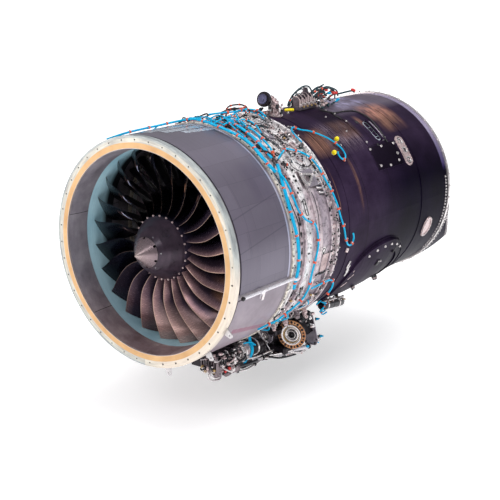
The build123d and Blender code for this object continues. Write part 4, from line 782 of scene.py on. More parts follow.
# ------------------------------------------------------------------ fan blades
R_T = [190, 240, 280, 320, 360, 400, 450, 500, 540, 590, 642]
LE_A = [3.6, 7.2, 8.8, 9.0, 8.5, 7.2, 5.2, 3.2, 1.8, 0.6, 0.0]
LE_Y = [186, 188, 189, 188, 186, 186, 188, 193, 199, 212, 230]
CH_Y = [190, 184, 179, 174, 168, 162, 155, 149, 144, 137, 129]
CH_A = [8.5, 12.0, 14.5, 16.0, 17.0, 17.3, 17.3, 17.2, 17.0, 16.6, 16.0]
CAMB = [0.085, 0.08, 0.075, 0.068, 0.06, 0.052, 0.043, 0.035, 0.03, 0.022, 0.018]
THK = [15, 13, 11.5, 10.2, 9.2, 8.4, 7.5, 6.8, 6.2, 5.4, 4.6]


def tab(col, r):
    """Smooth table look-up (cubic through the table's points)."""
    if r <= R_T[0]:
        return col[0]
    if r >= R_T[-1]:
        return col[-1]
    i = max(j for j in range(len(R_T) - 1) if R_T[j] <= r)
    x0, x1 = R_T[i], R_T[i + 1]
    t = (r - x0) / (x1 - x0)
    def slope(k):
        if k == 0:
            return (col[1] - col[0]) / (R_T[1] - R_T[0])
        if k == len(R_T) - 1:
            return (col[k] - col[k - 1]) / (R_T[k] - R_T[k - 1])
        return (col[k + 1] - col[k - 1]) / (R_T[k + 1] - R_T[k - 1])
    m0, m1 = slope(i) * (x1 - x0), slope(i + 1) * (x1 - x0)
    return ((2 * t ** 3 - 3 * t ** 2 + 1) * col[i] + (t ** 3 - 2 * t ** 2 + t) * m0 + (-2 * t ** 3 + 3 * t ** 2) * col[i + 1] + (t ** 3 - t ** 2) * m1)


def blade_point(r, c, side):
    s_le = r * radians(tab(LE_A, r))
    s_te = r * radians(tab(LE_A, r) - tab(CH_A, r))
    y_le = tab(LE_Y, r)
    dy, ds = tab(CH_Y, r), s_te - s_le
    chord = sqrt(dy * dy + ds * ds)
    ty, ts = dy / chord, ds / chord
    ny, ns = -ts, ty
    camber = -4 * tab(CAMB, r) * chord * c * (1 - c)
    half = tab(THK, r) / 2 * (max(0.0, sin(pi * min(1.0, c * 1.02) ** 0.75)) * 0.94 + 0.06)
    if c < 0.02:
        half *= sqrt(max(0.0, c / 0.02))
    off = camber + side * half
    return s_le + ds * c + ns * off, y_le + dy * c + ny * off


blades = Soup("fan_blade_set", "fan_spool", "titanium", "blade_finish", replaces=("fan_blades",))
cs = [0, 0.002, 0.006, 0.012, 0.02, 0.035, 0.06, 0.1, 0.15, 0.21, 0.28, 0.36, 0.44, 0.52, 0.6, 0.68, 0.76, 0.84, 0.91, 0.96, 1.0]
loop = [(c_, 1) for c_ in cs] + [(c_, -1) for c_ in reversed(cs[1:])]
rs = [198 + (639.5 - 198) * k / 30 for k in range(31)]
uvs = []
for b in range(24):
    rows = []
    for r_ in rs:
        row = []
        for c_, sd in loop:
            s_, y_ = blade_point(r_, c_, sd)
            # soft fillet where the blade meets its platform
            fil = max(0.0, 1 - (r_ - 200 - (y_ - 170) * 0.28) / 14.0) if r_ < 290 else 0.0
            s_ += sd * 5.0 * fil * fil
            a_ = degrees(s_ / r_) - 38.75 + 15 * b
            row.append(P(r_ / 1000, a_, y_ / 1000))
            uvs.append((c_, (r_ - 198) / 441.5))
        rows.append(row)
    blades.shell(rows, close=True)
    k = len(blades.v)
    blades.fc.append(tuple(range(k - len(loop), k)))
    # platform between this blade and the next: hub line with a lip at the front
    hub = [(197.0, 172.5), (202.0, 170.6), (203.6, 171.6), (214.0, 205), (223.5, 237), (233.0, 270), (242.5, 305), (252.0, 340), (262.0, 386), (258.0, 386.5)]
    rows = []
    for rr, yy in hub:
        rows.append([P((rr + 0.2) / 1000, -38.75 + 15 * b - 7.42 + 14.84 * q / 8, yy / 1000) for q in range(9)])
        uvs += [(0.4, 0.0)] * 9
    blades.shell(rows)
blade_o = blades.make(angle=50, uv=uvs, fixn=True)

# small bright hooks round the back rim of the spinner, two to each blade space
hooks = Soup("spinner_rim_hooks", "fan_spool", "shaft_steel", "pink_metal")
for i in range(24):
    a = -38.75 + 15 * i + 7.5
    n_, t_ = rad_n(a), tan_n(a)
    hooks.rbox(P(0.2045, a, 0.1725), t_, (Y * 0.94 + n_ * 0.33).normalized(), (n_ * 0.94 - Y * 0.33).normalized(), 0.013, 0.012, 0.009, 0.003)
    hooks.bolt(P(0.2075, a, 0.1690), (n_ * 0.75 - Y * 0.66), 0.007, 0.004)
hooks.make()

# screws round the joint between the cone and the body
sc_ = Soup("cone_screws", "fan_spool", "shaft_steel")
for i in range(6):
    a = 25 + 60 * i
    sc_.bolt(P(0.1125, a, 0.0472), rad_n(a) * 0.7 - Y * 0.7, 0.006, 0.0015, washer=True)
sc_.make()

# ------------------------------------------------------------------ bolts on the flanges
fb = Soup("flange_bolt_set", "engine", "bright_steel", replaces=("flange_bolts",))
for i in range(60):
    fb.bolt(P(0.718, 6 * i + 3, 1.0818), -Y, 0.011, 0.0075)
    fb.bolt(P(0.7105, 6 * i + 3, 1.0402), Y, 0.0105, 0.0065)
for i in range(72):
    fb.bolt(P(0.723, 5 * i, 0.7178), -Y, 0.0085, 0.005)
for i in range(48):
    fb.bolt(P(0.6842, 7.5 * i + 3.75, 2.644), rad_n(7.5 * i + 3.75), 0.012, 0.007)
fb.make()

# screw heads and brackets on the fan case's rear rings
for i in range(60):
    a = 6 * i + 1.5
    dark.bolt(P(0.7352, a, 0.5785), rad_n(a), 0.008, 0.0035)
    if i % 2 == 0:
        dark.bolt(P(0.7171, a, 0.621), rad_n(a), 0.007, 0.003)
for i in range(72):
    a = 5 * i + 2.5
    dark.rbox(P(0.7125, a, 0.6985), tan_n(a), Y, rad_n(a), 0.014, 0.016, 0.003, 0.001)
for i in range(40):
    a = 9 * i + 4
    steel.bolt(P(0.7163, a, 0.751), rad_n(a), 0.007, 0.003)
    steel.bolt(P(0.7163, a + 4.5, 0.788), rad_n(a + 4.5), 0.007, 0.003)
    if i % 3 == 1:
        dark.rbox(P(0.718, a, 0.77), tan_n(a), Y, rad_n(a), 0.01, 0.02, 0.006, 0.002)


def ic_r(y):
    for hi, r in ((0.5905, 0.735), (0.635, 0.717), (0.653, 0.726), (0.716, 0.712), (0.735, 0.728), (0.797, 0.716), (0.813, 0.724),
                  (0.859, 0.708), (0.8735, 0.722), (1.024, 0.704), (1.0405, 0.716), (1.082, 0.702), (1.106, 0.724)):
        if y < hi:
            return r
    return 0.709


def duct_r(y):
    return 0.702 - (y - 1.1505) * 0.03 / 1.4815



# ------------------------------------------------------------------ wiring harness
H = {
    "main": (752, 7.5, [(664, 46.0), (606, 56.5), (584, 64.5), (582, 73), (598, 82.3), (610, 91.8), (613, 98.5), (611, 104), (616, 109)]),
    "ring": (768, 5.5, [(607, 49.7), (628, 56), (630, 64.2), (640, 70), (664, 73), (703, 75.7, 762), (758, 77.6, 750), (808, 79.2, 745), (832, 84.5, 742),
                        (834, 91, 742), (812, 98, 742), (798, 105.5, 745), (812, 112.5, 748), (800, 119.5, 748), (728, 123.4, 754), (657, 126.2, 758),
                        (590, 128.2, 762), (508, 129.2, 758), (436, 131.2, 752)]),
    "edge": (744, 4.5, [(684, 44.0, 772), (768, 41.2, 762), (850, 39.2, 750), (925, 40.6, 740), (985, 43.0, 736), (1024, 47, 738), (1042, 53, 740), (1050, 60, 740),
                        (1068, 66.5, 742), (1084, 73.5), (1098, 80.0), (1134, 86.5, 740), (1176, 93, 728), (1226, 97.5, 718), (1272, 98.2, 716), (1290, 95.2, 716), (1282, 92.0, 716)]),
    "duct": (716, 4.5, [(1062, 37.0, 738), (1060, 32.0, 740), (1078, 28.2, 742), (1120, 26.4, 742), (1166, 27.6, 732), (1212, 28.2, 720), (1270, 29.8), (1322, 33.4),
                        (1372, 37.6), (1404, 41.8), (1424, 46.0), (1420, 50.0), (1388, 52.2), (1358, 51.4), (1342, 48.9, 722), (1334, 47.9, 736)]),
    "top": (762, 6.5, [(66, -27, 747), (160, -21, 749), (280, -17.5, 749), (400, -15.5, 749), (490, -11, 752), (536, -3), (528, 6), (524, 14.4), (542, 21), (564, 26.5), (570, 33), (563, 40), (573, 46), (590, 50)]),
    "upper": (752, 6.5, [(752, 6.8), (700, 12.5), (684, 18), (676, 24), (668, 30), (660, 36), (652, 42)]),
    "upper_b": (780, 5.0, [(648, 0.6), (740, 2.2), (840, 4.6), (930, 4.4), (990, 6.5), (1000, 11.0), (965, 16.5)]),
    "upper_c": (770, 5.0, [(722, 20.5), (708, 26.0), (700, 31.6), (692, 36.6), (676, 40.0)]),
    "dark": (752, 6.5, [(1950, 4.5, 744), (2010, 4.6, 752), (2060, 5.0, 750), (2140, 5.6, 754), (2205, 6.2, 756), (2236, 6.4, 742)]),
    "loop": (752, 5.0, [(826, 113.0, 762), (900, 113.8), (980, 113.2), (1050, 113.4), (1104, 115.6, 754), (1116, 119.4, 760), (1090, 122.4, 768)]),
}
STRANDS = {"main": [(-5.2, 0, 6.8), (6.0, 1.2, 6.4)], "ring": [(0, 0, 6.6)], "edge": [(0, 0, 5.8)], "duct": [(0, 0, 5.2)],
           "top": [(-6, 0, 6.8), (6.5, 1, 6.0), (16, -2, 4.0)], "upper": [(-5.5, 0, 6.4), (6, 0.5, 6.0)], "upper_b": [(0, 0, 6.0)], "upper_c": [(0, 0, 6.2)], "loop": [(0, 0, 6.0)]}


def strand(route, r0, off, lift, wob=0.0, seed=0):
    """Route points in metres, moved sideways along the case by off and out by lift, mm."""
    q = random.Random(seed)
    pts = []
    for st in route:
        rr = (st[2] if len(st) > 2 else r0) + lift
        pts.append(P(rr / 1000, st[1], st[0] / 1000))
    out = []
    for i, p in enumerate(pts):
        t = (pts[min(i + 1, len(pts) - 1)] - pts[max(i - 1, 0)]).normalized()
        n_ = Vector((p.x, 0, p.z)).normalized()
        side = n_.cross(t).normalized()
        out.append(p + side * ((off + q.uniform(-wob, wob)) / 1000))
    return out


har = Soup("harness_run", "engine", "harness_blue", replaces=("wiring_harness",))
clip = Soup("harness_clip_set", "engine", "clip_orange", replaces=("harness_clips",))


def add_clip(p, t, n_, r, w=0.014, foot=True):
    """Cushioned clip: a band round the cable, one ear beside it and a small bolt."""
    clip.lathe(p - t * w / 2, t, [(r + 0.0004, 0), (r + 0.0046, 0.0006), (r + 0.0056, w * 0.25), (r + 0.0056, w * 0.75), (r + 0.0046, w - 0.0006), (r + 0.0004, w)], 14)
    side = n_.cross(t).normalized()
    clip.rbox(p + side * (r + 0.006), side, t, n_, 0.010, w * 0.9, 0.006, 0.0012)
    if foot:
        steel.bolt(p + side * (r + 0.007) + n_ * 0.003, n_, 0.0065, 0.004, n=8)


for name, (r0, rad, route) in H.items():
    if name == "dark":
        teal.tube(strand(route, r0, 0, 0), 0.0065, 10)
        continue
    centre = har.path(strand(route, r0, 0, 0), 0.01)
    for i, (off, lift, rr) in enumerate(STRANDS[name]):
        har.tube(strand(route, r0, off, lift, 1.2, i), rr / 1000, 10, 0.009)
    # clips at even spacing
    run, gap, last = 0.0, {"main": 0.15, "top": 0.13, "upper": 0.10, "edge": 0.12, "ring": 0.14, "duct": 0.16}.get(name, 0.12), 0.02
    wide = max(abs(o_[0]) + o_[2] for o_ in STRANDS[name][:2]) / 1000
    for a, b in zip(centre, centre[1:]):
        run += (b - a).length
        if run - last > gap:
            last = run
            t = (b - a).normalized()
            n_ = Vector((b.x, 0, b.z)).normalized()
            if len(STRANDS[name]) > 1:
                side = n_.cross(t).normalized()
                clip.rbox(b, side, t, n_, wide * 2 + 0.005, 0.014, 0.018, 0.004)
                steel.bolt(b + n_ * 0.008, n_, 0.007, 0.004, n=8)
            else:
                add_clip(b, t, n_, rr / 1000)

# far side and underside: the same kind of harness, where the photograph doesn't show it
for j, (r0, rr, route) in enumerate([
    (750, 5.5, [(584, -60), (580, -72), (592, -84), (604, -96), (600, -108), (596, -120), (600, -132), (620, -142)]),
    (760, 5.0, [(610, -58), (640, -70), (700, -78), (760, -84), (828, -90), (840, -100), (826, -112), (812, -124), (790, -134)]),
    (742, 4.6, [(880, -40), (960, -52), (1036, -62), (1060, -74), (1060, -88), (1058, -102), (1054, -116), (1050, -130)]),
    (756, 5.0, [(560, -28, 764), (584, -40, 760), (586, -50, 755), (584, -60, 752)])]):
    ln_ = har.tube(strand(route, r0, 0, 0, 1.0, j + 50), rr / 1000, 10, 0.009)
    run, last = 0.0, 0.03
    for a, b in zip(ln_, ln_[1:]):
        run += (b - a).length
        if run - last > 0.095:
            last = run
            add_clip(b, (b - a).normalized(), Vector((b.x, 0, b.z)).normalized(), rr / 1000)
har.make(angle=60)
clip.make(angle=40)


# ------------------------------------------------------------------ fittings on the cases
def skin(y):
    return ic_r(y) if y < 1.106 else duct_r(y)


def lay(y, a, lift=0.0):
    """Point on the case at a station and an angle, with the directions round the case and out of it."""
    return P(skin(y) + lift, a, y), tan_n(a), rad_n(a)


def pad(sp, y, a, wy, wa, h, turn=0.0, b=0.002, lift=0.0):
    p, t, n_ = lay(y, a, lift + h / 2)
    e1 = Y * cos(radians(turn)) + t * sin(radians(turn))
    sp.rbox(p, e1, n_.cross(e1), n_, wy, wa, h, b)
    return p, e1, n_.cross(e1), n_


def bolted(sp, y, a, wy, wa, h, turn=0.0, bolts=2, bs=None, lift=0.0):
    """Small plate held by bolts near its ends or corners."""
    p, e1, e2, n_ = pad(sp, y, a, wy, wa, h, turn, lift=lift)
    bs = bs or steel
    spots = {1: [(0, 0)], 2: [(0.34, 0), (-0.34, 0)], 4: [(0.36, 0.34), (-0.36, 0.34), (0.36, -0.34), (-0.36, -0.34)]}[bolts]
    for q, w in spots:
        bs.bolt(p + e1 * (wy * q) + e2 * (wa * w) + n_ * (h / 2), n_, min(0.009, wa * 0.5), 0.0045, n=8)


def wire(sp, pts, rad, lift=0.005, n=7, step=0.010):
    sp.tube([P(skin(w[0]) + (w[2] if len(w) > 2 else lift) + rad, w[1], w[0]) for w in pts], rad, n, step)


def plug(p, d, r=0.008, l=0.03, body=None, ring=None):
    """Electrical plug: back shell, knurled coupling nut and a short strain relief."""
    d = Vector(d).normalized()
    (body or dark).lathe(p, d, [(r * 0.8, 0), (r, 0.001), (r, l * 0.35), (r * 0.85, l * 0.38), (r * 0.85, l * 0.8), (r * 0.6, l * 0.88), (r * 0.55, l)], 10)
    (ring or steel).lathe(p + d * l * 0.42, d, [(r * 0.9, 0), (-r * 1.14, l * 0.04), (-r * 1.14, l * 0.22), (r * 0.9, l * 0.26)], 12)


def frame_ring(sp, outer, inner, depth):
    """Flat frame between two outlines of the same number of points."""
    n = len(outer)
    o_, i_ = [Vector(p) for p in outer], [Vector(p) for p in inner]
    vs = o_ + i_ + [p + depth for p in o_] + [p + depth for p in i_]
    fs = []
    for k in range(n):
        j = (k + 1) % n
        fs += [(2 * n + k, 2 * n + j, 3 * n + j, 3 * n + k), (k, n + k, n + j, j), (k, j, 2 * n + j, 2 * n + k), (n + k, 3 * n + k, 3 * n + j, n + j)]
    sp.add(vs, fs)


def rounded(pts, r, n=4):
    """Rounds the corners of a polygon of (y, u) points."""
    out = []
    m_ = len(pts)
    for i in range(m_):
        a, b, c = Vector(pts[i - 1]), Vector(pts[i]), Vector(pts[(i + 1) % m_])
        k0 = b + (a - b).normalized() * r
        k1 = b + (c - b).normalized() * r
        for j in range(n + 1):
            t = j / n
            out.append(k0 * (1 - t) ** 2 + b * (2 * t * (1 - t)) + k1 * t * t)
    return out


def on_case(pts, r, a0):
    """(y, u) points, u metres round the case from angle a0, to points at radius r."""
    return [P(r, a0 + degrees(q[1] / r), q[0]) for q in pts]


def stadium(c, length, width, turn=0.0, n=7):
    """Outline with round ends, long side along u when turn is 90."""
    out = []
    for s_, t0 in ((1, -90), (-1, 90)):
        for k in range(n):
            t = radians(t0 + 180 * k / (n - 1))
            out.append((s_ * (length - width) / 2 + width / 2 * cos(t), width / 2 * sin(t)))
    ct, st = cos(radians(turn)), sin(radians(turn))
    return [(c[0] + x * ct - y * st, c[1] + x * st + y * ct) for x, y in out]


# --- rings of the intermediate case
for i in range(45):
    a = 8 * i + 3.0
    dark.rbox(P(0.7135, a, 0.698), tan_n(a), Y, rad_n(a), 0.032, 0.011, 0.004, 0.0015)
for i in range(48):
    a = 7.5 * i + 1.2
    dark.rbox(P(0.7165, a, 0.789), tan_n(a), Y, rad_n(a), 0.012, 0.007, 0.004, 0.001)
    if i % 2:
        dark.bolt(P(0.7163, a + 3, 0.745), rad_n(a + 3), 0.009, 0.004, n=8)
for a0 in (70.3, 118.0, -64.0, -112.0, 200.0):
    o_ = stadium((0.784, 0.0), 0.110, 0.026, 90)
    i_ = stadium((0.784, 0.0), 0.102, 0.018, 90)
    frame_ring(dark, on_case(o_, 0.7175, a0), on_case(i_, 0.7175, a0), rad_n(a0) * 0.003)
for i in range(36):
    a = 10 * i + 6
    steel.bolt(P(0.7173, a, 0.600), rad_n(a), 0.009, 0.004, n=8)
    steel.lathe(P(0.7175, a + 5, 0.628), rad_n(a + 5), [(0.005, 0), (0.006, 0.001), (0.006, 0.006), (0.004, 0.007)], 8)

# --- measured fittings on the upper side
for y, a, l, w, turn in ((0.885, 27.6, 0.050, 0.018, 64), (0.881, 33.2, 0.046, 0.020, 80), (0.937, 22.3, 0.030, 0.024, 30), (0.970, 17.2, 0.062, 0.018, 70),
                         (0.928, 15.3, 0.034, 0.020, 20), (0.843, 32.5, 0.034, 0.020, 50), (1.060, 10.9, 0.040, 0.022, 80), (0.905, 38.4, 0.030, 0.016, 60)):
    pad(dark, y, a, l, w, 0.012, turn, 0.004)
    bolted(pink, y + 0.004, a + 1.4, l * 0.9, 0.014, 0.005, turn, 2)
for y, a, l, w, turn in ((1.044, 27.9, 0.050, 0.034, 10), (1.019, 26.0, 0.030, 0.050, 0), (1.021, 19.3, 0.040, 0.036, 20), (0.99, 30.6, 0.040, 0.03, 15), (0.955, 27.5, 0.035, 0.03, 0),
                         (0.86, 20.5, 0.03, 0.04, 10), (0.80, 28.5, 0.03, 0.03, 0), (0.93, 34.5, 0.034, 0.034, 20), (1.05, 36.0, 0.03, 0.04, 0), (0.96, 45.0, 0.05, 0.03, 40)):
    bolted(pink, y, a, l, w, 0.008, turn, 4, dark)
o_, i_ = rounded([(0.978, -0.022), (1.024, -0.022), (1.024, 0.022), (0.978, 0.022)], 0.008), rounded([(0.987, -0.013), (1.015, -0.013), (1.015, 0.013), (0.987, 0.013)], 0.005)
frame_ring(pink, on_case(o_, 0.7065, 35.9), on_case(i_, 0.7065, 35.9), rad_n(35.9) * 0.012)
pad(dark, 1.001, 35.9, 0.030, 0.030, 0.004)
steel.bolt(lay(1.001, 35.9, 0.004)[0], rad_n(35.9), 0.014, 0.006)
# triangular frame over a dark opening, on a dark square plate
pad(cast, 0.905, 56.8, 0.150, 0.118, 0.006, 8, 0.004)
pad(dark, 0.900, 57.0, 0.100, 0.074, 0.006, 8, 0.004, lift=0.004)
tri_o = [(0.846, -0.052), (0.985, -0.022), (0.888, 0.052), (0.850, 0.040)]
tri_i = [(0.868, -0.030), (0.950, -0.014), (0.893, 0.024), (0.872, 0.022)]
frame_ring(steel, on_case(rounded(tri_o, 0.016), 0.7185, 56.8), on_case(rounded(tri_i, 0.010), 0.7185, 56.8), rad_n(56.8) * 0.011)
for q in ((0.862, -0.040), (0.966, -0.018), (0.884, 0.040)):
    steel.bolt(on_case([q], 0.7295, 56.8)[0], rad_n(56.8), 0.012, 0.006)
cast.lathe(on_case([(0.900, -0.004)], 0.718, 56.8)[0], rad_n(56.8), [(0.020, 0), (0.020, 0.006), (0.017, 0.009), (0.012, 0.009), (0.011, 0.003), (0.004, 0.003)], 16)
# ribs beside it
for y, a in ((1.040, 53.6), (1.030, 57.0), (1.022, 60.4), (1.022, 63.0), (1.031, 65.6)):
    pad(steel, y - 0.02, a, 0.085, 0.010, 0.016, 12, 0.003)
    pad(dark, y - 0.02, a + 1.2, 0.070, 0.006, 0.008, 12, 0.002)
# thin dark wires and the black cable
for pts in ([(0.823, 41.9), (0.883, 42.9), (0.960, 42.2), (1.007, 42.7), (1.025, 45.2)], [(0.800, 45.2), (0.846, 46.0), (0.896, 46.7), (0.927, 49.2), (0.98, 50.4), (1.024, 49.4)],
            [(0.808, 45.9), (0.830, 48.5), (0.846, 50.0), (0.860, 52.5)], [(0.840, 14.0), (0.880, 18.0), (0.900, 23.0), (0.930, 29.0), (0.985, 33.0)],
            [(0.870, 10.0), (0.930, 11.5), (0.985, 14.0), (1.03, 13.0)], [(0.82, 22.0), (0.84, 27.0), (0.87, 30.5), (0.92, 31.5), (0.97, 37.0)],
            [(0.830, 36.0), (0.86, 37.5), (0.93, 40.0), (0.99, 39.0), (1.04, 40.5)], [(0.87, 64.0), (0.90, 68.0), (0.90, 76.0), (0.89, 84.0)]):
    wire(dark, pts, 0.0026, 0.008)
wire(rubber, [(0.650, 45.5, 0.030), (0.680, 44.3, 0.034), (0.713, 43.5, 0.036), (0.760, 42.0, 0.03), (0.806, 40.0, 0.03), (0.859, 37.9, 0.02), (0.88, 37.2, 0.008)], 0.0042)
wire(dark, [(0.690, 28, 0.02), (0.70, 36, 0.022), (0.668, 44.5, 0.022), (0.640, 52, 0.02), (0.622, 60, 0.016), (0.632, 68, 0.014), (0.645, 78, 0.012), (0.66, 92, 0.01)], 0.0036)
wire(steel, [(0.620, -20, 0.012), (0.605, -4, 0.014), (0.600, 14, 0.014), (0.596, 30, 0.014), (0.594, 44, 0.014), (0.600, 54, 0.012), (0.62, 60, 0.008)], 0.0042)
wire(dark, [(0.612, 8, 0.012), (0.606, 20, 0.014), (0.604, 34, 0.014), (0.606, 48, 0.012), (0.62, 56, 0.006)], 0.0036)
for y, a in ((0.783, 44.5), (0.778, 47.9), (0.799, 50.3), (0.79, 53.4), (0.789, 55.9), (0.747, 56.5), (0.79, 35.8), (0.765, 39.0), (0.722, 54.3), (0.755, 62), (0.78, 60), (0.74, 48), (0.742, 66)):
    dark.bolt(lay(y, a)[0], rad_n(a), 0.012, 0.006, n=8)
# black block connectors in the harness run
for y, a, t in ((0.640, 52.6, 40), (0.690, 39.5, 60), (0.655, 33.0, 70), (0.720, 47.0, 30), (0.700, 20.0, 60), (0.66, 12.0, 50)):
    pad(rubber, y, a, 0.040, 0.020, 0.018, t, 0.004, lift=0.014)
    plug(lay(y, a, 0.03)[0], Y * cos(radians(t)) + tan_n(a) * sin(radians(t)), 0.008, 0.034, rubber, orange)

# --- clutter in the same manner over the rest of the upper case, by a fixed draw
q = random.Random(21)
for k in range(150):
    a = q.uniform(-62, 54)
    y = q.choice((q.uniform(0.822, 0.856), q.uniform(0.88, 1.02), q.uniform(0.88, 1.02), q.uniform(0.745, 0.792), q.uniform(1.028, 1.038)))
    if 0.80 < y < 0.96 and 50 < a < 64:
        continue
    kind, turn = q.random(), q.choice((0, 15, 35, 60, 90, 75))
    if kind < 0.20:
        bolted(q.choice((pink, steel, cast)), y, a, q.uniform(0.022, 0.045), q.uniform(0.014, 0.026), 0.006, turn, 2, q.choice((dark, steel)))
    elif kind < 0.36:
        pad(dark, y, a, q.uniform(0.014, 0.040), q.uniform(0.008, 0.016), q.uniform(0.005, 0.014), turn)
    elif kind < 0.50:
        p_, t_, n_ = lay(y, a)
        q.choice((steel, pink, gold)).lathe(p_, n_, [(0.009, 0), (0.009, 0.004), (-0.0075, 0.005), (-0.0075, 0.012), (0.005, 0.013), (0.005, 0.018), (0.003, 0.019)], 12)
    elif kind < 0.64:
        p_, t_, n_ = lay(y, a, 0.009)
        d_ = (Y * cos(radians(turn)) + t_ * sin(radians(turn)))
        plug(p_, d_, q.uniform(0.006, 0.009), q.uniform(0.026, 0.04), q.choice((dark, dark, gold, steel)), q.choice((steel, pink, orange)))
    elif kind < 0.80:
        dark.bolt(lay(y, a)[0], rad_n(a), q.uniform(0.009, 0.013), 0.006, n=8)
    else:
        y2 = min(1.04, max(0.75, y + q.uniform(-0.08, 0.08)))
        wire(q.choice((dark, teal, rubber, dark)), [(y, a), ((y + y2) / 2, a + q.uniform(2, 5), 0.016), (y2, a + q.uniform(5, 11))], q.uniform(0.002, 0.0036), 0.006)
# wiring branches that cross the heavy part of the harness
for k in range(26):
    a = q.uniform(-30, 44)
    y = 0.64 + q.uniform(-0.03, 0.14)
    wire(q.choice((cyan, cyan, rubber, teal)), [(y, a, 0.012), (y + q.uniform(0.0, 0.05), a + q.uniform(2, 4), 0.03), (y + q.uniform(-0.03, 0.06), a + q.uniform(5, 9), 0.034), (y + q.uniform(-0.02, 0.05), a + q.uniform(9, 14), 0.012)],
         q.uniform(0.0034, 0.0056), 0.01)
    pp = lay(y, a, 0.02)[0]
    orange.rbox(pp, tan_n(a), Y, rad_n(a), 0.014, 0.014, 0.014, 0.004)

# --- side: hole, ribbed panel, bar and the busy joint with the duct
p_, t_, n_ = lay(0.958, 96.0)
dark.lathe(p_, n_, [(0.019, 0), (0.019, 0.003), (0.016, 0.005), (0.013, 0.005), (0.012, 0.002), (0.004, 0.002)], 18)
steel.lathe(p_, n_, [(0.024, 0), (0.024, 0.002), (0.019, 0.0025)], 18)
pad(pink, 0.985, 103.2, 0.070, 0.125, 0.004, 0, 0.003)
for k in range(13):
    pad(pink, 0.985, 98.6 + k * 0.77, 0.062, 0.0026, 0.003, 0, 0.001, lift=0.004)
for k in (97.9, 108.6):
    for yy in (0.956, 1.014):
        dark.bolt(lay(yy, k, 0.004)[0], rad_n(k), 0.008, 0.004, n=8)
bolted(dark, 0.975, 109.9, 0.115, 0.013, 0.008, 2, 2)
bolted(steel, 0.90, 112.5, 0.03, 0.05, 0.007, 10, 4)
for k in range(230):
    a = q.choice((q.uniform(52, 116), q.uniform(52, 116), q.uniform(-116, 52)))
    y = q.uniform(1.026, 1.100)
    p_, t_, n_ = lay(y, a)
    z_ = q.random()
    if z_ < 0.4:
        dark.bolt(p_, n_, q.uniform(0.008, 0.012), 0.006, n=8)
    elif z_ < 0.62:
        steel.bolt(p_, n_, q.uniform(0.008, 0.011), 0.006, n=8)
    elif z_ < 0.86:
        pad(q.choice((dark, dark, pink, steel)), y, a, q.uniform(0.008, 0.022), q.uniform(0.006, 0.014), q.uniform(0.004, 0.010), q.choice((0, 0, 90, 30)))
    else:
        plug(p_ + n_ * 0.006, q.choice((1, -1)) * t_ + n_ * 0.2, 0.005, 0.018, dark, steel)
for a in (72, 84.5, 99.0, 64.0):
    bolted(pink, 1.05, a, 0.045, 0.024, 0.014, 0, 2)
# small bars beside the end of the edge harness
for y, a in ((1.335, 112.5), (1.352, 115.5), (1.362, 118.8)):
    p_, e1, e2, n_ = pad(steel, y, a, 0.014, 0.060, 0.008, 14, 0.003)
bolted(pink, 1.250, 101.5, 0.03, 0.03, 0.008, 20, 1)

# ------------------------------------------------------------------ fan case: film on the crown
film = Soup("crown_film", slot="wrap_grey", mat="film")
q = random.Random(5)
for k, (y0, y1, a0, a1) in enumerate(((0.10, 0.50, -24, -12), (0.14, 0.53, -10, -3), (0.20, 0.52, -2, 3.5), (0.30, 0.54, 5, 9), (0.08, 0.34, -36, -28))):
    rows = []
    for j in range(25):
        yy = y0 + (y1 - y0) * j / 24
        row = []
        for i in range(9):
            aa = a0 + (a1 - a0) * i / 8 + 3.0 * (j / 24) + 0.3 * sin(j * 1.7 + k)
            lift = 0.0008 + 0.0022 * (0.5 + 0.5 * sin(i * 2.3 + j * 0.9 + k)) * (0 if i in (0, 8) or j in (0, 24) else 1)
            row.append(P(0.7312 + lift, aa, yy))
        rows.append(row)
    film.shell(rows)
film.make(angle=60, fixn=False)

# ------------------------------------------------------------------ top of the engine
vd = Vector((0.09, -0.965, 0.235)).normalized()
vc = Vector((0.045, 1.194, 0.811))
valve = Soup("bleed_valve_body", slot="black_casting", replaces=("bleed_valve",))
prof = [(0.030, -0.030), (0.030, -0.004), (0.046, -0.002)]
for k in range(7):
    prof += [(0.0505, 0.0015 + k * 0.0034), (0.0505, 0.0031 + k * 0.0034), (0.0480, 0.0040 + k * 0.0034)]
prof += [(0.0490, 0.0262), (0.0440, 0.0275), (0.0360, 0.0275), (0.0355, 0.0335), (0.0300, 0.0342), (0.0290, 0.0312), (0.0120, 0.0312), (0.0110, 0.0342), (0.004, 0.0342)]
valve.lathe(vc, vd, prof, 56)
u_, w_, _ = base_of(vd)
for k in range(28):
    t = 2 * pi * k / 28
    d_ = u_ * cos(t) + w_ * sin(t)
    valve.rbox(vc + d_ * 0.0495 + vd * 0.012, vd, d_, vd.cross(d_), 0.022, 0.004, 0.004, 0.001)
for k in range(8):
    t = 2 * pi * k / 8
    valve.bolt(vc + (u_ * cos(t) + w_ * sin(t)) * 0.0405 + vd * 0.0275, vd, 0.006, 0.004)
valve.make(angle=30)
vface = Soup("bleed_valve_face", slot="black_casting", mat="valve_face")
vface.lathe(vc + vd * 0.0285, vd, [(0.0345, 0.0), (0.0345, 0.0062), (0.0305, 0.0066), (0.0290, 0.0040), (0.0130, 0.0040), (0.0110, 0.0064), (0.0, 0.0064)], 48)
for k in range(28):
    t = 2 * pi * k / 28
    d_ = u_ * cos(t) + w_ * sin(t)
    if d_.dot(w_ * -0.3 + u_) > 0.2 or d_.z > 0.4:
        vface.rbox(vc + d_ * 0.0508 + vd * 0.012, vd, d_, vd.cross(d_), 0.021, 0.003, 0.003, 0.001)
vface.make(angle=30)

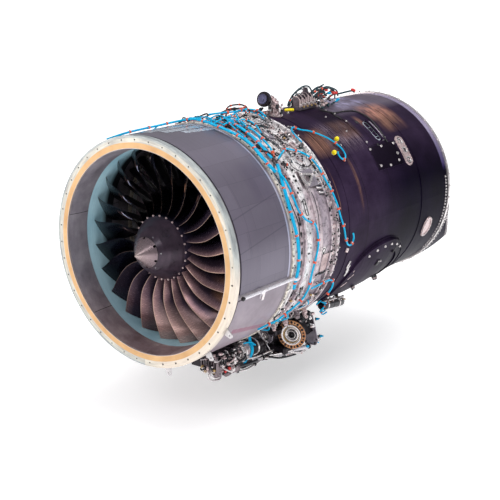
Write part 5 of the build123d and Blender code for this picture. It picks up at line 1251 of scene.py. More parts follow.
pipes = Soup("top_pipe_run", slot="bright_steel", mat="teal_hose", replaces=("top_pipes",))
silver = Soup("bleed_elbow", slot="bright_steel", mat="pink_metal")
mid = [vc - vd * 0.0303, vc - vd * 0.045, vc - vd * 0.060 + Vector((0.001, 0, 0.004)), Vector((0.048, 1.261, 0.788)), Vector((0.066, 1.264, 0.768)), P(0.745, 6.4, 1.262), P(0.722, 6.5, 1.262), P(0.7025, 6.5, 1.262)]
ln_ = silver.tube(mid, 0.0275, 24, 0.004, taper=lambda t: 1.0 + 0.10 * sin(pi * min(1.0, t * 1.1)))
for k in (2, 9, 16, 24, len(ln_) - 3):
    if k + 1 < len(ln_):
        d_ = (ln_[k + 1] - ln_[k]).normalized()
        silver.lathe(ln_[k] - d_ * 0.004, d_, [(0.0290, 0), (0.0350, 0.001), (0.0350, 0.007), (0.0290, 0.008)], 24)
        u_, w_, _ = base_of(d_)
        for sg in (1, -1):
            silver.rbox(ln_[k] + u_ * (0.036 * sg), u_, d_, d_.cross(u_), 0.012, 0.008, 0.014, 0.002)
            dark.bolt(ln_[k] + u_ * (0.038 * sg) + d_ * 0.004, d_, 0.007, 0.006, n=8)
foot_, fn_, ft_ = P(0.7008, 6.5, 1.262), rad_n(6.5), tan_n(6.5)
silver.lathe(foot_, fn_, [(0.050, 0), (0.052, 0.002), (0.052, 0.007), (0.044, 0.009), (0.036, 0.012), (0.033, 0.024)], 28)
for k in range(10):
    t = 2 * pi * k / 10
    steel.bolt(foot_ + (Y * cos(t) + ft_ * sin(t)) * 0.046 + fn_ * 0.008, fn_, 0.008, 0.005, n=8)
# rough castings, struts and straps round the elbow
q = random.Random(31)
for k in range(34):
    t = q.uniform(0, 2 * pi)
    h_ = q.uniform(0.004, 0.095)
    c_ = foot_ + (Y * cos(t) + ft_ * sin(t)) * (0.040 + 0.006 * q.random()) + fn_ * h_
    e_ = Y * cos(t) + ft_ * sin(t)
    q.choice((pink, dark, steel, silver, silver)).rbox(c_, e_, fn_.cross(e_), fn_, q.uniform(0.008, 0.018), q.uniform(0.010, 0.026), q.uniform(0.010, 0.034), 0.003)
for k, (a_, b_) in enumerate((((0.098, 1.222, 0.706), (0.072, 1.236, 0.800)), ((0.118, 1.262, 0.706), (0.090, 1.262, 0.790)), ((0.100, 1.304, 0.704), (0.070, 1.290, 0.794)), ((0.040, 1.222, 0.708), (0.036, 1.250, 0.770)))):
    silver.tube([Vector(a_), (Vector(a_) + Vector(b_)) * 0.5 + Vector((0.006, 0, 0)), Vector(b_)], 0.0058, 10)
    dark.bolt(Vector(b_), Vector((0.5, -0.3, 0.8)), 0.010, 0.006, n=8)
for c0 in ((0.074, 1.262, 0.806), (0.060, 1.250, 0.822), (0.088, 1.268, 0.790)):
    silver.rbox(Vector(c0), Vector((1, 0, 0)), Y, Vector((0, 0, 1)), 0.016, 0.034, 0.014, 0.003)
    steel.bolt(Vector(c0) + Vector((0, 0, 0.007)), Vector((0, 0, 1)), 0.008, 0.006, n=8)
silver.make(angle=50)
ln_ = pipes.tube([P(a_ / 1000, b_, c_ / 1000) for a_, b_, c_ in [(726, -19, 1060), (750, -16.5, 1105), (752, -11, 1124), (750, -5, 1118), (746, 1, 1076), (745, 3.4, 1068), (745, 4.6, 1090), (746, 2.8, 1150), (747, 1.2, 1206)]], 0.0080, 14, 0.008)
for k in (4, 14, 24, len(ln_) - 6):
    d_ = (ln_[k + 1] - ln_[k]).normalized()
    (orange if k in (4, 24) else dark).lathe(ln_[k] - d_ * 0.008, d_, [(0.0080, 0), (0.0130, 0.001), (0.0130, 0.015), (0.0080, 0.016)], 14)
pipes.make(angle=60)

# manifold: a row of ribs in a frame with a tall end plate, unions and hoses
mani = Soup("manifold_ribs", slot="bright_steel", mat="manifold_dark", replaces=("top_manifold",))
rims = Soup("manifold_rims", slot="bright_steel", mat="pink_metal")
X, Z = Vector((1, 0, 0)), Vector((0, 0, 1))
mani.prism([Vector((x_, 1.530, z_)) for x_, z_ in ((0.016, 0.7005), (0.094, 0.6945), (0.096, 0.7100), (0.090, 0.7230), (0.020, 0.7240), (0.014, 0.7160))], Y * 0.192)
for k in range(8):
    y0 = 1.537 + 0.024 * k
    top = 0.790 + (0.000, 0.012, -0.004, 0.006, 0.020, 0.004, 0.012, -0.006)[k]
    pts = [(0.020, 0.722), (0.091, 0.706), (0.092, top - 0.016), (0.078, top), (0.036, top - 0.003), (0.022, top - 0.020)]
    mani.prism([Vector((x_, y0 - 0.0042, z_)) for x_, z_ in pts], Y * 0.0084)
    rims.rbox(Vector((0.0905, y0 - 0.0008, (0.708 + top - 0.016) / 2)), X, Y, Z, 0.0045, 0.0112, top - 0.726, 0.0015)
    rims.rbox(Vector((0.083, y0 - 0.0008, top - 0.0105)), Vector((0.66, 0, -0.75)), Y, Vector((0.75, 0, 0.66)), 0.024, 0.0112, 0.0045, 0.0015)
    rims.rbox(Vector((0.057, y0 - 0.0008, top - 0.0020)), X, Y, Z, 0.040, 0.0106, 0.0045, 0.0015)
    steel.bolt(Vector((0.060, y0, top - 0.001)), Z, 0.008, 0.006)
    dark.rbox(Vector((0.062, y0 + 0.012, 0.732)), X, Y, Z, 0.050, 0.0145, 0.030, 0.003)
    steel.lathe(Vector((0.092, y0, 0.736 + 0.006 * (k % 2))), X, [(0.005, 0), (-0.0068, 0.001), (-0.0068, 0.008), (0.0045, 0.009), (0.0045, 0.014), (0.002, 0.015)], 12)
    if k % 2:
        gold.lathe(Vector((0.091, y0 + 0.012, 0.716)), X + Z * 0.2, [(0.006, 0), (0.0075, 0.002), (0.0075, 0.010), (0.004, 0.012)], 10)
for y0 in (1.627, 1.637):
    mani.prism([Vector((x_, y0, z_)) for x_, z_ in ((0.046, 0.730), (0.086, 0.730), (0.084, 0.828), (0.076, 0.840), (0.056, 0.842), (0.046, 0.830))], Y * 0.004)
mani.rbox(Vector((0.066, 1.634, 0.840)), X, Y, Z, 0.034, 0.018, 0.005, 0.002)
for x0, y0, z0, d0, r0, h0 in ((-0.030, 1.786, 0.752, (0.2, 1, 0.1), 0.013, 0.046), (0.020, 1.788, 0.744, (0.1, 1, 0.15), 0.015, 0.052), (0.066, 1.786, 0.748, (0.4, 1, 0.2), 0.012, 0.044),
                               (0.040, 1.866, 0.730, (0, 0.3, 1), 0.012, 0.034), (-0.010, 1.900, 0.728, (0.2, 0.6, 1), 0.011, 0.030), (0.075, 1.896, 0.726, (0.5, 0.6, 0.8), 0.010, 0.028)):
    d_ = Vector(d0).normalized()
    p_ = Vector((x0, y0, z0))
    mani.lathe(p_, d_, [(r0 * 0.8, 0), (r0, 0.001), (r0, h0 * 0.3), (r0 * 0.7, h0 * 0.34), (r0 * 0.7, h0 * 0.5), (-r0 * 0.95, h0 * 0.52), (-r0 * 0.95, h0 * 0.78), (r0 * 0.6, h0 * 0.82), (r0 * 0.6, h0)], 14)
    orange.lathe(p_ + d_ * h0, d_, [(r0 * 0.65, 0), (r0 * 0.8, 0.001), (r0 * 0.8, 0.008), (r0 * 0.6, 0.009)], 12)
mani.make(angle=35)
rims.make(angle=35)
# hoses looping over the ribs and away along the duct
q = random.Random(11)
for pts, r in (([(0.000, 1.516, 0.720), (0.006, 1.528, 0.756), (0.030, 1.566, 0.814), (0.056, 1.612, 0.848), (0.078, 1.648, 0.850), (0.086, 1.676, 0.820), (0.088, 1.688, 0.782)], 0.0058),
               ([(0.012, 1.512, 0.718), (0.020, 1.528, 0.746), (0.046, 1.552, 0.796), (0.060, 1.576, 0.804), (0.070, 1.584, 0.784)], 0.0054),
               ([(0.004, 1.520, 0.728), (0.016, 1.546, 0.790), (0.044, 1.596, 0.830), (0.060, 1.618, 0.832)], 0.0049),
               ([(-0.030, 1.832, 0.761), (-0.020, 1.856, 0.789), (0.020, 1.856, 0.814), (0.070, 1.836, 0.820), (0.100, 1.776, 0.804)], 0.0063),
               ([(0.025, 1.840, 0.756), (0.035, 1.866, 0.794), (0.080, 1.896, 0.810), (0.104, 1.926, 0.790), (0.100, 1.956, 0.756)], 0.0067),
               ([(0.084, 1.828, 0.761), (0.104, 1.876, 0.784), (0.090, 1.936, 0.786), (0.066, 1.968, 0.762)], 0.0063),
               ([(0.040, 1.889, 0.776), (0.034, 1.906, 0.804), (0.060, 1.926, 0.812), (0.110, 1.956, 0.788), (0.118, 1.966, 0.746)], 0.0056),
               ([(-0.010, 1.936, 0.756), (0.000, 1.946, 0.794), (0.046, 1.956, 0.802), (0.100, 1.946, 0.780), (0.118, 1.926, 0.734)], 0.0054),
               ([(0.090, 1.736, 0.776), (0.098, 1.766, 0.814), (0.112, 1.796, 0.826), (0.120, 1.828, 0.810)], 0.0054),
               ([(0.078, 1.716, 0.786), (0.092, 1.740, 0.822), (0.112, 1.768, 0.844), (0.120, 1.782, 0.850)], 0.0052),
               ([(0.088, 1.694, 0.764), (0.104, 1.726, 0.796), (0.112, 1.776, 0.794), (0.108, 1.836, 0.764)], 0.0058),
               ([(0.060, 1.712, 0.782), (0.076, 1.744, 0.806), (0.100, 1.776, 0.812), (0.118, 1.804, 0.790)], 0.0056)):
    teal.tube([Vector(p) for p in pts], r, 10, 0.008)
    for t in (0.25, 0.8):
        k = int(t * (len(pts) - 2))
        m_ = (Vector(pts[k]) + Vector(pts[k + 1])) / 2
        d_ = (Vector(pts[k + 1]) - Vector(pts[k])).normalized()
        if q.random() < 0.8:
            (dark if q.random() < 0.6 else orange).lathe(m_ - d_ * 0.007, d_, [(r, 0), (r + 0.0035, 0.001), (r + 0.0035, 0.013), (r, 0.014)], 12)
for p0 in ((0.114, 1.822, 0.806), (0.112, 1.948, 0.772), (0.086, 2.226, 0.752), (0.086, 2.206, 0.760), (0.082, 1.981, 0.760), (0.126, 1.896, 0.778)):
    red.lathe(Vector(p0) - Z * 0.009, Z, [(0.008, 0), (0.012, 0.002), (0.012, 0.015), (0.008, 0.018)], 12)
for p0, d0 in (((0.108, 1.852, 0.778), (1, 0.3, 0.2)), ((0.122, 1.944, 0.722), (0.5, 1.0, 0.1)), ((0.116, 1.932, 0.716), (0.4, 1.0, 0))):
    cyan.lathe(Vector(p0), Vector(d0), [(0.006, 0), (0.009, 0.001), (0.009, 0.020), (0.006, 0.022)], 12)
for k in range(44):
    p_ = Vector((q.uniform(0.02, 0.14), q.uniform(1.726, 1.92), 0))
    p_.z = sqrt(0.690 ** 2 - p_.x ** 2) + q.uniform(0.012, 0.060)
    z_ = q.random()
    if z_ < 0.4:
        plug(p_, Vector((q.uniform(-1, 1), q.uniform(-1, 1), q.uniform(-0.3, 1))), 0.007, 0.028, dark, q.choice((steel, pink)))
    elif z_ < 0.75:
        q.choice((dark, teal, pink)).rbox(p_, X, Y, Z, q.uniform(0.012, 0.03), q.uniform(0.012, 0.034), q.uniform(0.008, 0.02), 0.003)
    else:
        steel.lathe(p_, Z, [(0.006, 0), (-0.008, 0.002), (-0.008, 0.010), (0.005, 0.012)], 12)
for k in range(7):
    p_ = Vector((0.012 + 0.016 * k, 1.742 + 0.02 * k, 0))
    p_.z = sqrt(0.6895 ** 2 - p_.x ** 2)
    dark.rbox(p_ + Z * 0.014, X, Y, Z, 0.012, 0.016, 0.030, 0.003)

# capped pipe on top and the dust caps on the duct
caps = Soup("dust_caps", slot="yellow_plastic", replaces=("caps_and_plugs",))
c0 = Vector((0.076, 1.376, 0.719))
d_ = Vector((0.41, 0.91, -0.05)).normalized()
caps.lathe(c0, d_, [(0.006, 0), (0.0092, 0.002), (0.0098, 0.005), (0.0098, 0.022), (0.0106, 0.023), (0.0106, 0.027), (0.0098, 0.028), (0.0098, 0.066), (0.0085, 0.071), (0.004, 0.072)], 18)
steel.tube([P(0.6965, 7.0, 1.405), P(0.704, 7.0, 1.405), P(0.712, 6.9, 1.406)], 0.0055, 12)
steel.lathe(P(0.6972, 7.0, 1.405), rad_n(7.0), [(0.012, 0), (0.012, 0.003), (0.006, 0.004)], 14)
for a, y in ((39.5, 1.455), (47.0, 1.322)):
    n_ = rad_n(a)
    b_ = n_ * (duct_r(y) + 0.0006) + Y * y
    steel.lathe(b_, n_, [(0.014, 0), (0.014, 0.003), (0.009, 0.004), (0.009, 0.010)], 14)
    caps.lathe(b_ + n_ * 0.008, n_, [(0.010, 0), (0.0150, 0.001), (0.0158, 0.006), (0.0158, 0.012), (0.0140, 0.019), (0.0100, 0.0245), (0.005, 0.027), (0.001, 0.0275)], 20)
caps.make(angle=40)
# union and straps where the duct harness meets the caps
for y, a, d0 in ((1.404, 41.2, 30), (1.432, 44.2, -20), (1.350, 46.0, 60)):
    p_, t_, n_ = lay(y, a, 0.012)
    plug(p_, Y * cos(radians(d0)) + t_ * sin(radians(d0)), 0.0075, 0.034, dark, steel)
bolted(pink, 1.130, 26.0, 0.036, 0.022, 0.012, 60, 2)
bolted(steel, 1.160, 22.8, 0.030, 0.020, 0.010, 30, 2)
dark.lathe(lay(1.138, 24.0)[0], rad_n(24), [(0.012, 0), (0.012, 0.014), (0.009, 0.018), (0.003, 0.018)], 14)
# dark pipe that runs over the duct's crown and round the cover
for pts, r in (([(1.700, 12.0), (1.764, 18.3), (1.850, 18.9), (1.930, 19.6), (1.971, 20.4), (2.012, 23.4), (2.030, 30.0), (2.016, 36.5), (2.002, 43.5), (1.994, 49.0)], 0.0050),
               ([(1.752, 17.4), (1.735, 21.0), (1.742, 25.5)], 0.0040)):
    wire(rubber, pts, r, 0.004, 10)

# ------------------------------------------------------------------ duct: ports, cover, scoop
port = Soup("duct_port_plates", slot="bright_steel", mat="pink_metal", replaces=("duct_ports",))


def duct_pt(y, u, a0, lift):
    r = duct_r(y) + lift
    return P(r, a0 + degrees(u / r), y)


def duct_plate(sp, outline, a0, h, rows=3, inset=0.004):
    """Plate with a rounded edge, following the duct: outline in (y, u)."""
    cy = sum(q_[0] for q_ in outline) / len(outline)
    cu_ = sum(q_[1] for q_ in outline) / len(outline)
    loops = []
    for k, (sc, lf) in enumerate(((1.0, 0.0), (1.0, h * 0.6), (1 - inset * 6, h), (0.80, h), (0.5, h), (0.2, h))):
        loops.append([duct_pt(cy + (y_ - cy) * sc, cu_ + (u_ - cu_) * sc, a0, lf) for y_, u_ in outline])
    n = len(outline)
    vs = [v_ for l_ in loops for v_ in l_]
    fs = []
    for k in range(len(loops) - 1):
        for i in range(n):
            j = (i + 1) % n
            fs.append((k * n + i, k * n + j, (k + 1) * n + j, (k + 1) * n + i))
    fs.append(tuple(range((len(loops) - 1) * n, len(loops) * n)))
    sp.add(vs, fs)


duct_plate(port, stadium((2.154, 0.0), 0.236, 0.092, 90), 56.4, 0.006)
rim_o, rim_i = stadium((2.154, 0.0), 0.232, 0.088, 90, 12), stadium((2.154, 0.0), 0.208, 0.066, 90, 12)
frame_ring(port, [duct_pt(y_, u_, 56.4, 0.005) for y_, u_ in rim_o], [duct_pt(y_, u_, 56.4, 0.005) for y_, u_ in rim_i], rad_n(56.4) * 0.004)
for k, a in enumerate((50.3, 56.4, 62.5)):
    c_ = P(duct_r(2.154) + 0.0062, a, 2.154)
    dark.lathe(c_ - rad_n(a) * 0.004, rad_n(a), [(0.0155, 0), (0.0155, 0.0046), (0.012, 0.0046), (0.011, 0.002), (0.004, 0.002)], 18)
    for sg in (-1, 1):
        steel.bolt(P(duct_r(2.154) + 0.0068, a + 1.4 * sg, 2.154 + 0.024 * sg), rad_n(a), 0.009, 0.005)
for k in range(9):
    a = 48.6 + 1.95 * k
    pink.bolt(P(duct_r(2.125) + 0.0078, a, 2.119), rad_n(a), 0.008, 0.004, n=8)
    pink.bolt(P(duct_r(2.180) + 0.0078, a, 2.189), rad_n(a), 0.008, 0.004, n=8)
el = [(2.392 + 0.058 * cos(2 * pi * k / 28), 0.082 * sin(2 * pi * k / 28)) for k in range(28)]
duct_plate(port, el, 109.4, 0.006)
el_o = [(2.392 + 0.056 * cos(2 * pi * k / 28), 0.080 * sin(2 * pi * k / 28)) for k in range(28)]
el_i = [(2.392 + 0.044 * cos(2 * pi * k / 28), 0.066 * sin(2 * pi * k / 28)) for k in range(28)]
frame_ring(port, [duct_pt(y_, u_, 109.4, 0.005) for y_, u_ in el_o], [duct_pt(y_, u_, 109.4, 0.005) for y_, u_ in el_i], rad_n(109.4) * 0.005)
for k in range(0, 28, 2):
    y_, u_ = el_o[k]
    p_ = duct_pt(2.392 + (y_ - 2.392) * 0.92, u_ * 0.92, 109.4, 0.0098)
    steel.bolt(p_, rad_n(109.4), 0.008, 0.004, n=8)
port.make(angle=40)

# bolt heads on the covers, in place of the plain ones, and rows along the rear edge
cov = Soup("cover_bolt_set", slot="bright_steel", replaces=("cover_bolts",))
for y, a in ((1.753, 50.4), (1.784, 61.4), (1.904, 62.6), (2.031, 61.2), (2.064, 50.4), (1.902, 50.2), (2.052, 57.0)):
    cov.bolt(P(duct_r(y) + 0.0038, a, y), rad_n(a), 0.013, 0.0075)
for y, a in ((1.768, 27.7), (1.768, 19.0), (1.880, 18.6), (1.990, 20.0), (1.768, 45.5), (2.008, 45.5)):
    cov.bolt(P(duct_r(y) + 0.0044, a, y), rad_n(a), 0.010, 0.006)
for y, a, h in ((1.560, 111.0, 24.6), (1.650, 109.0, 28.3), (1.745, 108.2, 30.3), (1.840, 108.6, 29.2), (1.930, 110.6, 27.0), (2.010, 114.2, 22.2)):
    cov.bolt(P(duct_r(y) + h / 1000, a, y), rad_n(a), 0.012, 0.007)
for y, a in ((1.640, 20.0), (1.660, 35.0), (1.640, 5.0), (1.760, 13.0)):
    cov.bolt(P(duct_r(y) + 0.0004, a, y), rad_n(a), 0.010, 0.006)
q = random.Random(3)
for k in range(30):
    a = 80 + 2.0 * k
    if a < 134:
        cov.bolt(P(0.6722, a + q.uniform(-0.2, 0.2), 2.612), rad_n(a), 0.010, 0.006, n=8)
for z_ in range(-90, -400, -22):
    # along the sloping front edge of the skirt and just inside its rear edge
    zz = z_ / 1000
    for sg in (1, -1):
        xx = sqrt(0.682 ** 2 - zz * zz)
        t_r = Vector((xx * sg, 0, zz)).normalized()
        yr = 2.6554 + (0.04 if zz > -0.2 else 0.04 + (abs(zz) - 0.2) * 0.80) * (abs(zz) - 0.06) / 0.14 if zz > -0.2 else 2.695 + (abs(zz) - 0.2) * 0.85
        for dy in (-0.016, -0.030):
            yy = yr + dy
            if 2.662 < yy < 2.85:
                cov.bolt(t_r * 0.6822 + Y * yy, t_r, 0.010, 0.006, n=8)
for z_ in range(-130, -600, -24):
    zz = z_ / 1000
    for sg in (1, -1):
        xx = sqrt(0.682 ** 2 - zz * zz)
        t_r = Vector((xx * sg, 0, zz)).normalized()
        cov.bolt(t_r * 0.6822 + Y * 2.668, t_r, 0.011, 0.006, n=8)
cov.make(angle=40)

# outlet: louvre blades in the slot and a raised lip over it
for k in range(5):
    a0 = 32.5 + 2.9 * k
    dark.prism([P(duct_r(1.93) - 0.012, a0, 1.905), P(duct_r(1.93) + 0.003, a0 + 1.4, 1.905), P(duct_r(1.93) + 0.003, a0 + 1.7, 1.905), P(duct_r(1.93) - 0.012, a0 + 0.4, 1.905)], Y * 0.046)
pad(rubber, 1.862, 30.4, 0.030, 0.030, 0.006, 10)
pad(rubber, 1.874, 48.8, 0.016, 0.018, 0.008, 10)
lipm = Soup("outlet_lip", slot="composite_dark", mat="pad_grey")
rows = []
for j in range(6):
    t = j / 5
    row = []
    for i in range(25):
        a = 30.6 + 16.6 * i / 24
        e_ = min(1.0, min(i, 24 - i) / 4)
        yy = 1.957 + 0.030 * t
        row.append(P(duct_r(yy) + 0.0055 + 0.0155 * e_ * sin(pi * (0.12 + 0.76 * t)), a, yy))
    rows.append(row)
lipm.shell(rows)
lipm.make(angle=60, fixn=False)

# scoop: bead round the raised edge, slot and bracket at its mouth
bead = Soup("scoop_bead", slot="composite_dark")
arc = [(1.398, 146), (1.385, 136), (1.402, 123), (1.460, 112.6), (1.565, 107.8), (1.690, 105.9), (1.850, 106.1), (1.980, 110.4), (2.078, 119.0), (2.128, 130.0), (2.146, 146)]
prof_h = [(1.360, 0.006), (1.500, 0.020), (1.700, 0.030), (1.900, 0.028), (2.060, 0.018), (2.190, 0.006)]


def scoop_h(y):
    for (y0, h0), (y1, h1) in zip(prof_h, prof_h[1:]):
        if y0 <= y <= y1:
            return h0 + (h1 - h0) * (y - y0) / (y1 - y0)
    return 0.006


bead.tube([P(duct_r(y) + scoop_h(y) - 0.001, a, y) for y, a in arc], 0.0055, 10, 0.012)
bead.tube([P(duct_r(y) + scoop_h(y) * 0.2, a - 1.4 * (1 if 1.42 < y < 2.1 else 0), y + (0.010 if y > 2.0 else -0.010 if y < 1.45 else 0)) for y, a in arc], 0.004, 8, 0.012)
bead.make(angle=60)
for y, a, wy, wa, turn in ((1.935, 114.5, 0.012, 0.062, 6), (1.762, 121.2, 0.040, 0.030, 12)):
    pad(rubber, y, a, wy, wa, 0.012, turn, 0.003, lift=0.017)
bolted(dark, 1.770, 119.2, 0.050, 0.018, 0.006, 10, 2, lift=0.022)
for y, a in ((1.47, 118.5), (1.46, 124.0), (1.44, 130.0)):
    pad(pink, y, a, 0.060, 0.010, 0.004, -38, 0.002, lift=0.012)
for y, a, d0 in ((1.66, 138.0, 20), (1.70, 141.0, -10), (1.98, 141.0, 0), (2.03, 143.0, 10), (2.07, 144.0, -5)):
    p_, t_, n_ = lay(y, a, 0.014)
    plug(p_, n_ + t_ * 0.3 + Y * sin(radians(d0)), 0.009, 0.034, q.choice((steel, dark)), pink)

# can under the duct with its connectors, cables and feet
can = Soup("control_can", slot="black_paint", replaces=("control_box",))
cd = Vector((0, 1, -0.12)).normalized()
cp = Vector((0.322, 1.500, -0.668))
can.lathe(cp - cd * 0.012, cd, [(0.020, 0), (0.024, 0.002), (0.024, 0.010), (0.034, 0.012), (0.036, 0.016), (0.036, 0.050), (0.0345, 0.052), (0.0345, 0.056), (0.036, 0.058), (0.036, 0.120),
                                (0.0345, 0.122), (0.0345, 0.128), (0.036, 0.130), (0.036, 0.205), (0.0345, 0.207), (0.0345, 0.212), (0.036, 0.214), (0.036, 0.256), (0.033, 0.262), (0.014, 0.262)], 36)
for yf in (1.546, 1.690):
    can.rbox(Vector((0.313, yf + 0.010, -0.640)), X, Y, Z, 0.026, 0.020, 0.072, 0.003)
can.make(angle=35)
for yf in (1.540, 1.684):
    steel.lathe(cp + cd * (yf - 1.500), cd, [(0.0362, 0), (0.0385, 0.001), (0.0385, 0.013), (0.0362, 0.014)], 36)
for k in range(22):
    yy = 1.50 + 0.011 * k + q.uniform(-0.004, 0.004)
    p_ = Vector((0.345 + q.uniform(-0.012, 0.018), yy, -0.640 - 0.12 * (yy - 1.5) + q.uniform(-0.008, 0.020)))
    z_ = q.random()
    if z_ < 0.45:
        steel.lathe(p_, Vector((0.8, q.uniform(-0.4, 0.4), 0.6)), [(0.006, 0), (-0.008, 0.002), (-0.008, 0.009), (0.005, 0.010), (0.005, 0.018), (0.0025, 0.019)], 12)
    elif z_ < 0.8:
        plug(p_, Vector((0.9, q.uniform(-1, 1), q.uniform(-0.2, 0.6))), 0.006, 0.024, q.choice((dark, gold)), steel)
    else:
        pink.rbox(p_, X, Y, Z, 0.016, 0.012, 0.010, 0.002)
steel.tube([Vector((0.345, 1.480, -0.632)), Vector((0.362, 1.540, -0.632)), Vector((0.358, 1.620, -0.640)), Vector((0.352, 1.700, -0.652)), Vector((0.345, 1.745, -0.668))], 0.0055, 10)
for pts in ([(0.352, 1.500, -0.640), (0.366, 1.470, -0.660), (0.352, 1.440, -0.690), (0.346, 1.470, -0.708), (0.352, 1.505, -0.700)],
            [(0.350, 1.520, -0.650), (0.372, 1.490, -0.640), (0.384, 1.450, -0.625), (0.376, 1.420, -0.610)],
            [(0.350, 1.490, -0.670), (0.356, 1.450, -0.700), (0.350, 1.480, -0.724), (0.356, 1.520, -0.716)],
            [(0.372, 1.400, -0.600), (0.366, 1.380, -0.622), (0.380, 1.360, -0.606), (0.392, 1.390, -0.590)]):
    cyan.tube([Vector(p) for p in pts], 0.0052, 10)
    orange.rbox(Vector(pts[1]), X, Y, Z, 0.014, 0.014, 0.014, 0.004)

# ------------------------------------------------------------------ lower accessories
# fuel pump: cast block with fins, covers, unions and a filter bowl
pump = Soup("fuel_pump_body", slot="pump_alloy", replaces=("fuel_pump",))
pump.rbox(Vector((0.244, 0.460, -0.805)), X, Y, Z, 0.142, 0.172, 0.074, 0.014)
pump.rbox(Vector((0.240, 0.356, -0.806)), X, Y, Z, 0.096, 0.048, 0.050, 0.010)
pump.lathe(Vector((0.205, 0.442, -0.862)), Y, [(0.026, 0), (0.036, 0.004), (0.036, 0.030), (0.033, 0.033), (0.033, 0.070), (0.036, 0.073), (0.036, 0.106), (0.026, 0.110)], 30)
pump.lathe(Vector((0.285, 0.450, -0.856)), Y, [(0.020, 0), (0.032, 0.004), (0.032, 0.044), (0.028, 0.048), (0.028, 0.096), (0.031, 0.100), (0.031, 0.126), (0.018, 0.130)], 28)
for yy in (0.420, 0.505):
    pump.lathe(Vector((0.250, yy, -0.768)), Z, [(0.022, 0), (0.022, 0.016), (0.016, 0.020), (0.008, 0.020)], 22)
pump.lathe(Vector((0.262, 0.402, -0.842)), -Z, [(0.029, 0), (0.029, 0.006), (0.0265, 0.008), (0.0268, 0.034), (0.0255, 0.042), (0.0215, 0.049), (0.0150, 0.0545), (0.0070, 0.0570)], 30)
for k in range(7):
    pump.rbox(Vector((0.180 + 0.021 * k, 0.356, -0.790)), X, Y, Z, 0.006, 0.040, 0.076, 0.002)
pump.make(angle=38)
for k in range(8):
    yy = 0.374 + 0.021 * k
    dark.rbox(Vector((0.312, yy, -0.772)), Y, X, Z, 0.010, 0.024, 0.044, 0.003)
    dark.rbox(Vector((0.300, yy, -0.750)), Y, X, Z, 0.009, 0.050, 0.020, 0.003)
q = random.Random(17)
for k in range(64):
    side = q.random()
    if side < 0.55:
        p_ = Vector((0.316, q.uniform(0.376, 0.540), q.uniform(-0.842, -0.772)))
        d_ = Vector((1, q.uniform(-0.15, 0.15), q.uniform(-0.2, 0.2)))
    elif side < 0.85:
        p_ = Vector((q.uniform(0.196, 0.300), 0.333, q.uniform(-0.830, -0.784)))
        d_ = Vector((q.uniform(-0.15, 0.15), -1, q.uniform(-0.2, 0.2)))
    else:
        p_ = Vector((q.uniform(0.200, 0.310), q.uniform(0.380, 0.540), -0.843))
        d_ = Vector((0.2, -0.2, -1))
    z_ = q.random()
    c_ = q.choice((steel, pink, dark, dark, gold, steel))
    if z_ < 0.30:
        c_.lathe(p_, d_, [(0.012, 0), (0.012, 0.004), (-0.010, 0.005), (-0.010, 0.014), (0.006, 0.015), (0.006, 0.022), (0.003, 0.023)], 12)
    elif z_ < 0.55:
        c_.bolt(p_, d_, 0.011, 0.008)
    elif z_ < 0.75:
        c_.lathe(p_, d_, [(0.017, 0), (0.017, 0.005), (0.013, 0.006), (0.013, 0.014), (0.008, 0.016)], 14)
    else:
        u_, w_, _ = base_of(d_)
        c_.rbox(p_ + Vector(d_).normalized() * 0.005, u_, w_, Vector(d_).normalized(), q.uniform(0.012, 0.030), q.uniform(0.008, 0.018), 0.012, 0.003)
for pts, r, c_ in (([(0.318, 0.390, -0.800), (0.345, 0.400, -0.812), (0.350, 0.440, -0.836), (0.325, 0.470, -0.862), (0.300, 0.480, -0.876)], 0.0055, steel),
                   ([(0.262, 0.330, -0.806), (0.262, 0.312, -0.812), (0.285, 0.306, -0.835), (0.300, 0.330, -0.856), (0.290, 0.380, -0.868)], 0.0060, steel),
                   ([(0.222, 0.330, -0.806), (0.206, 0.312, -0.812), (0.190, 0.330, -0.826), (0.184, 0.370, -0.846)], 0.0060, dark),
                   ([(0.320, 0.520, -0.800), (0.346, 0.540, -0.790), (0.350, 0.580, -0.776), (0.330, 0.606, -0.764)], 0.0080, dark),
                   ([(0.318, 0.440, -0.782), (0.338, 0.450, -0.770), (0.340, 0.480, -0.756), (0.320, 0.500, -0.745)], 0.0050, pink),
                   ([(0.230, 0.350, -0.845), (0.235, 0.345, -0.876), (0.250, 0.366, -0.896), (0.262, 0.398, -0.900)], 0.0050, steel),
                   ([(0.285, 0.584, -0.856), (0.290, 0.620, -0.860), (0.296, 0.700, -0.866), (0.300, 0.780, -0.868)], 0.0100, dark)):
    c_.tube([Vector(p) for p in pts], r, 10)
for p0 in ((0.338, 0.424, -0.806), (0.322, 0.404, -0.826)):
    red.lathe(Vector(p0), Vector((1, -0.2, 0)), [(0.007, 0), (0.010, 0.001), (0.010, 0.013), (0.007, 0.015)], 14)
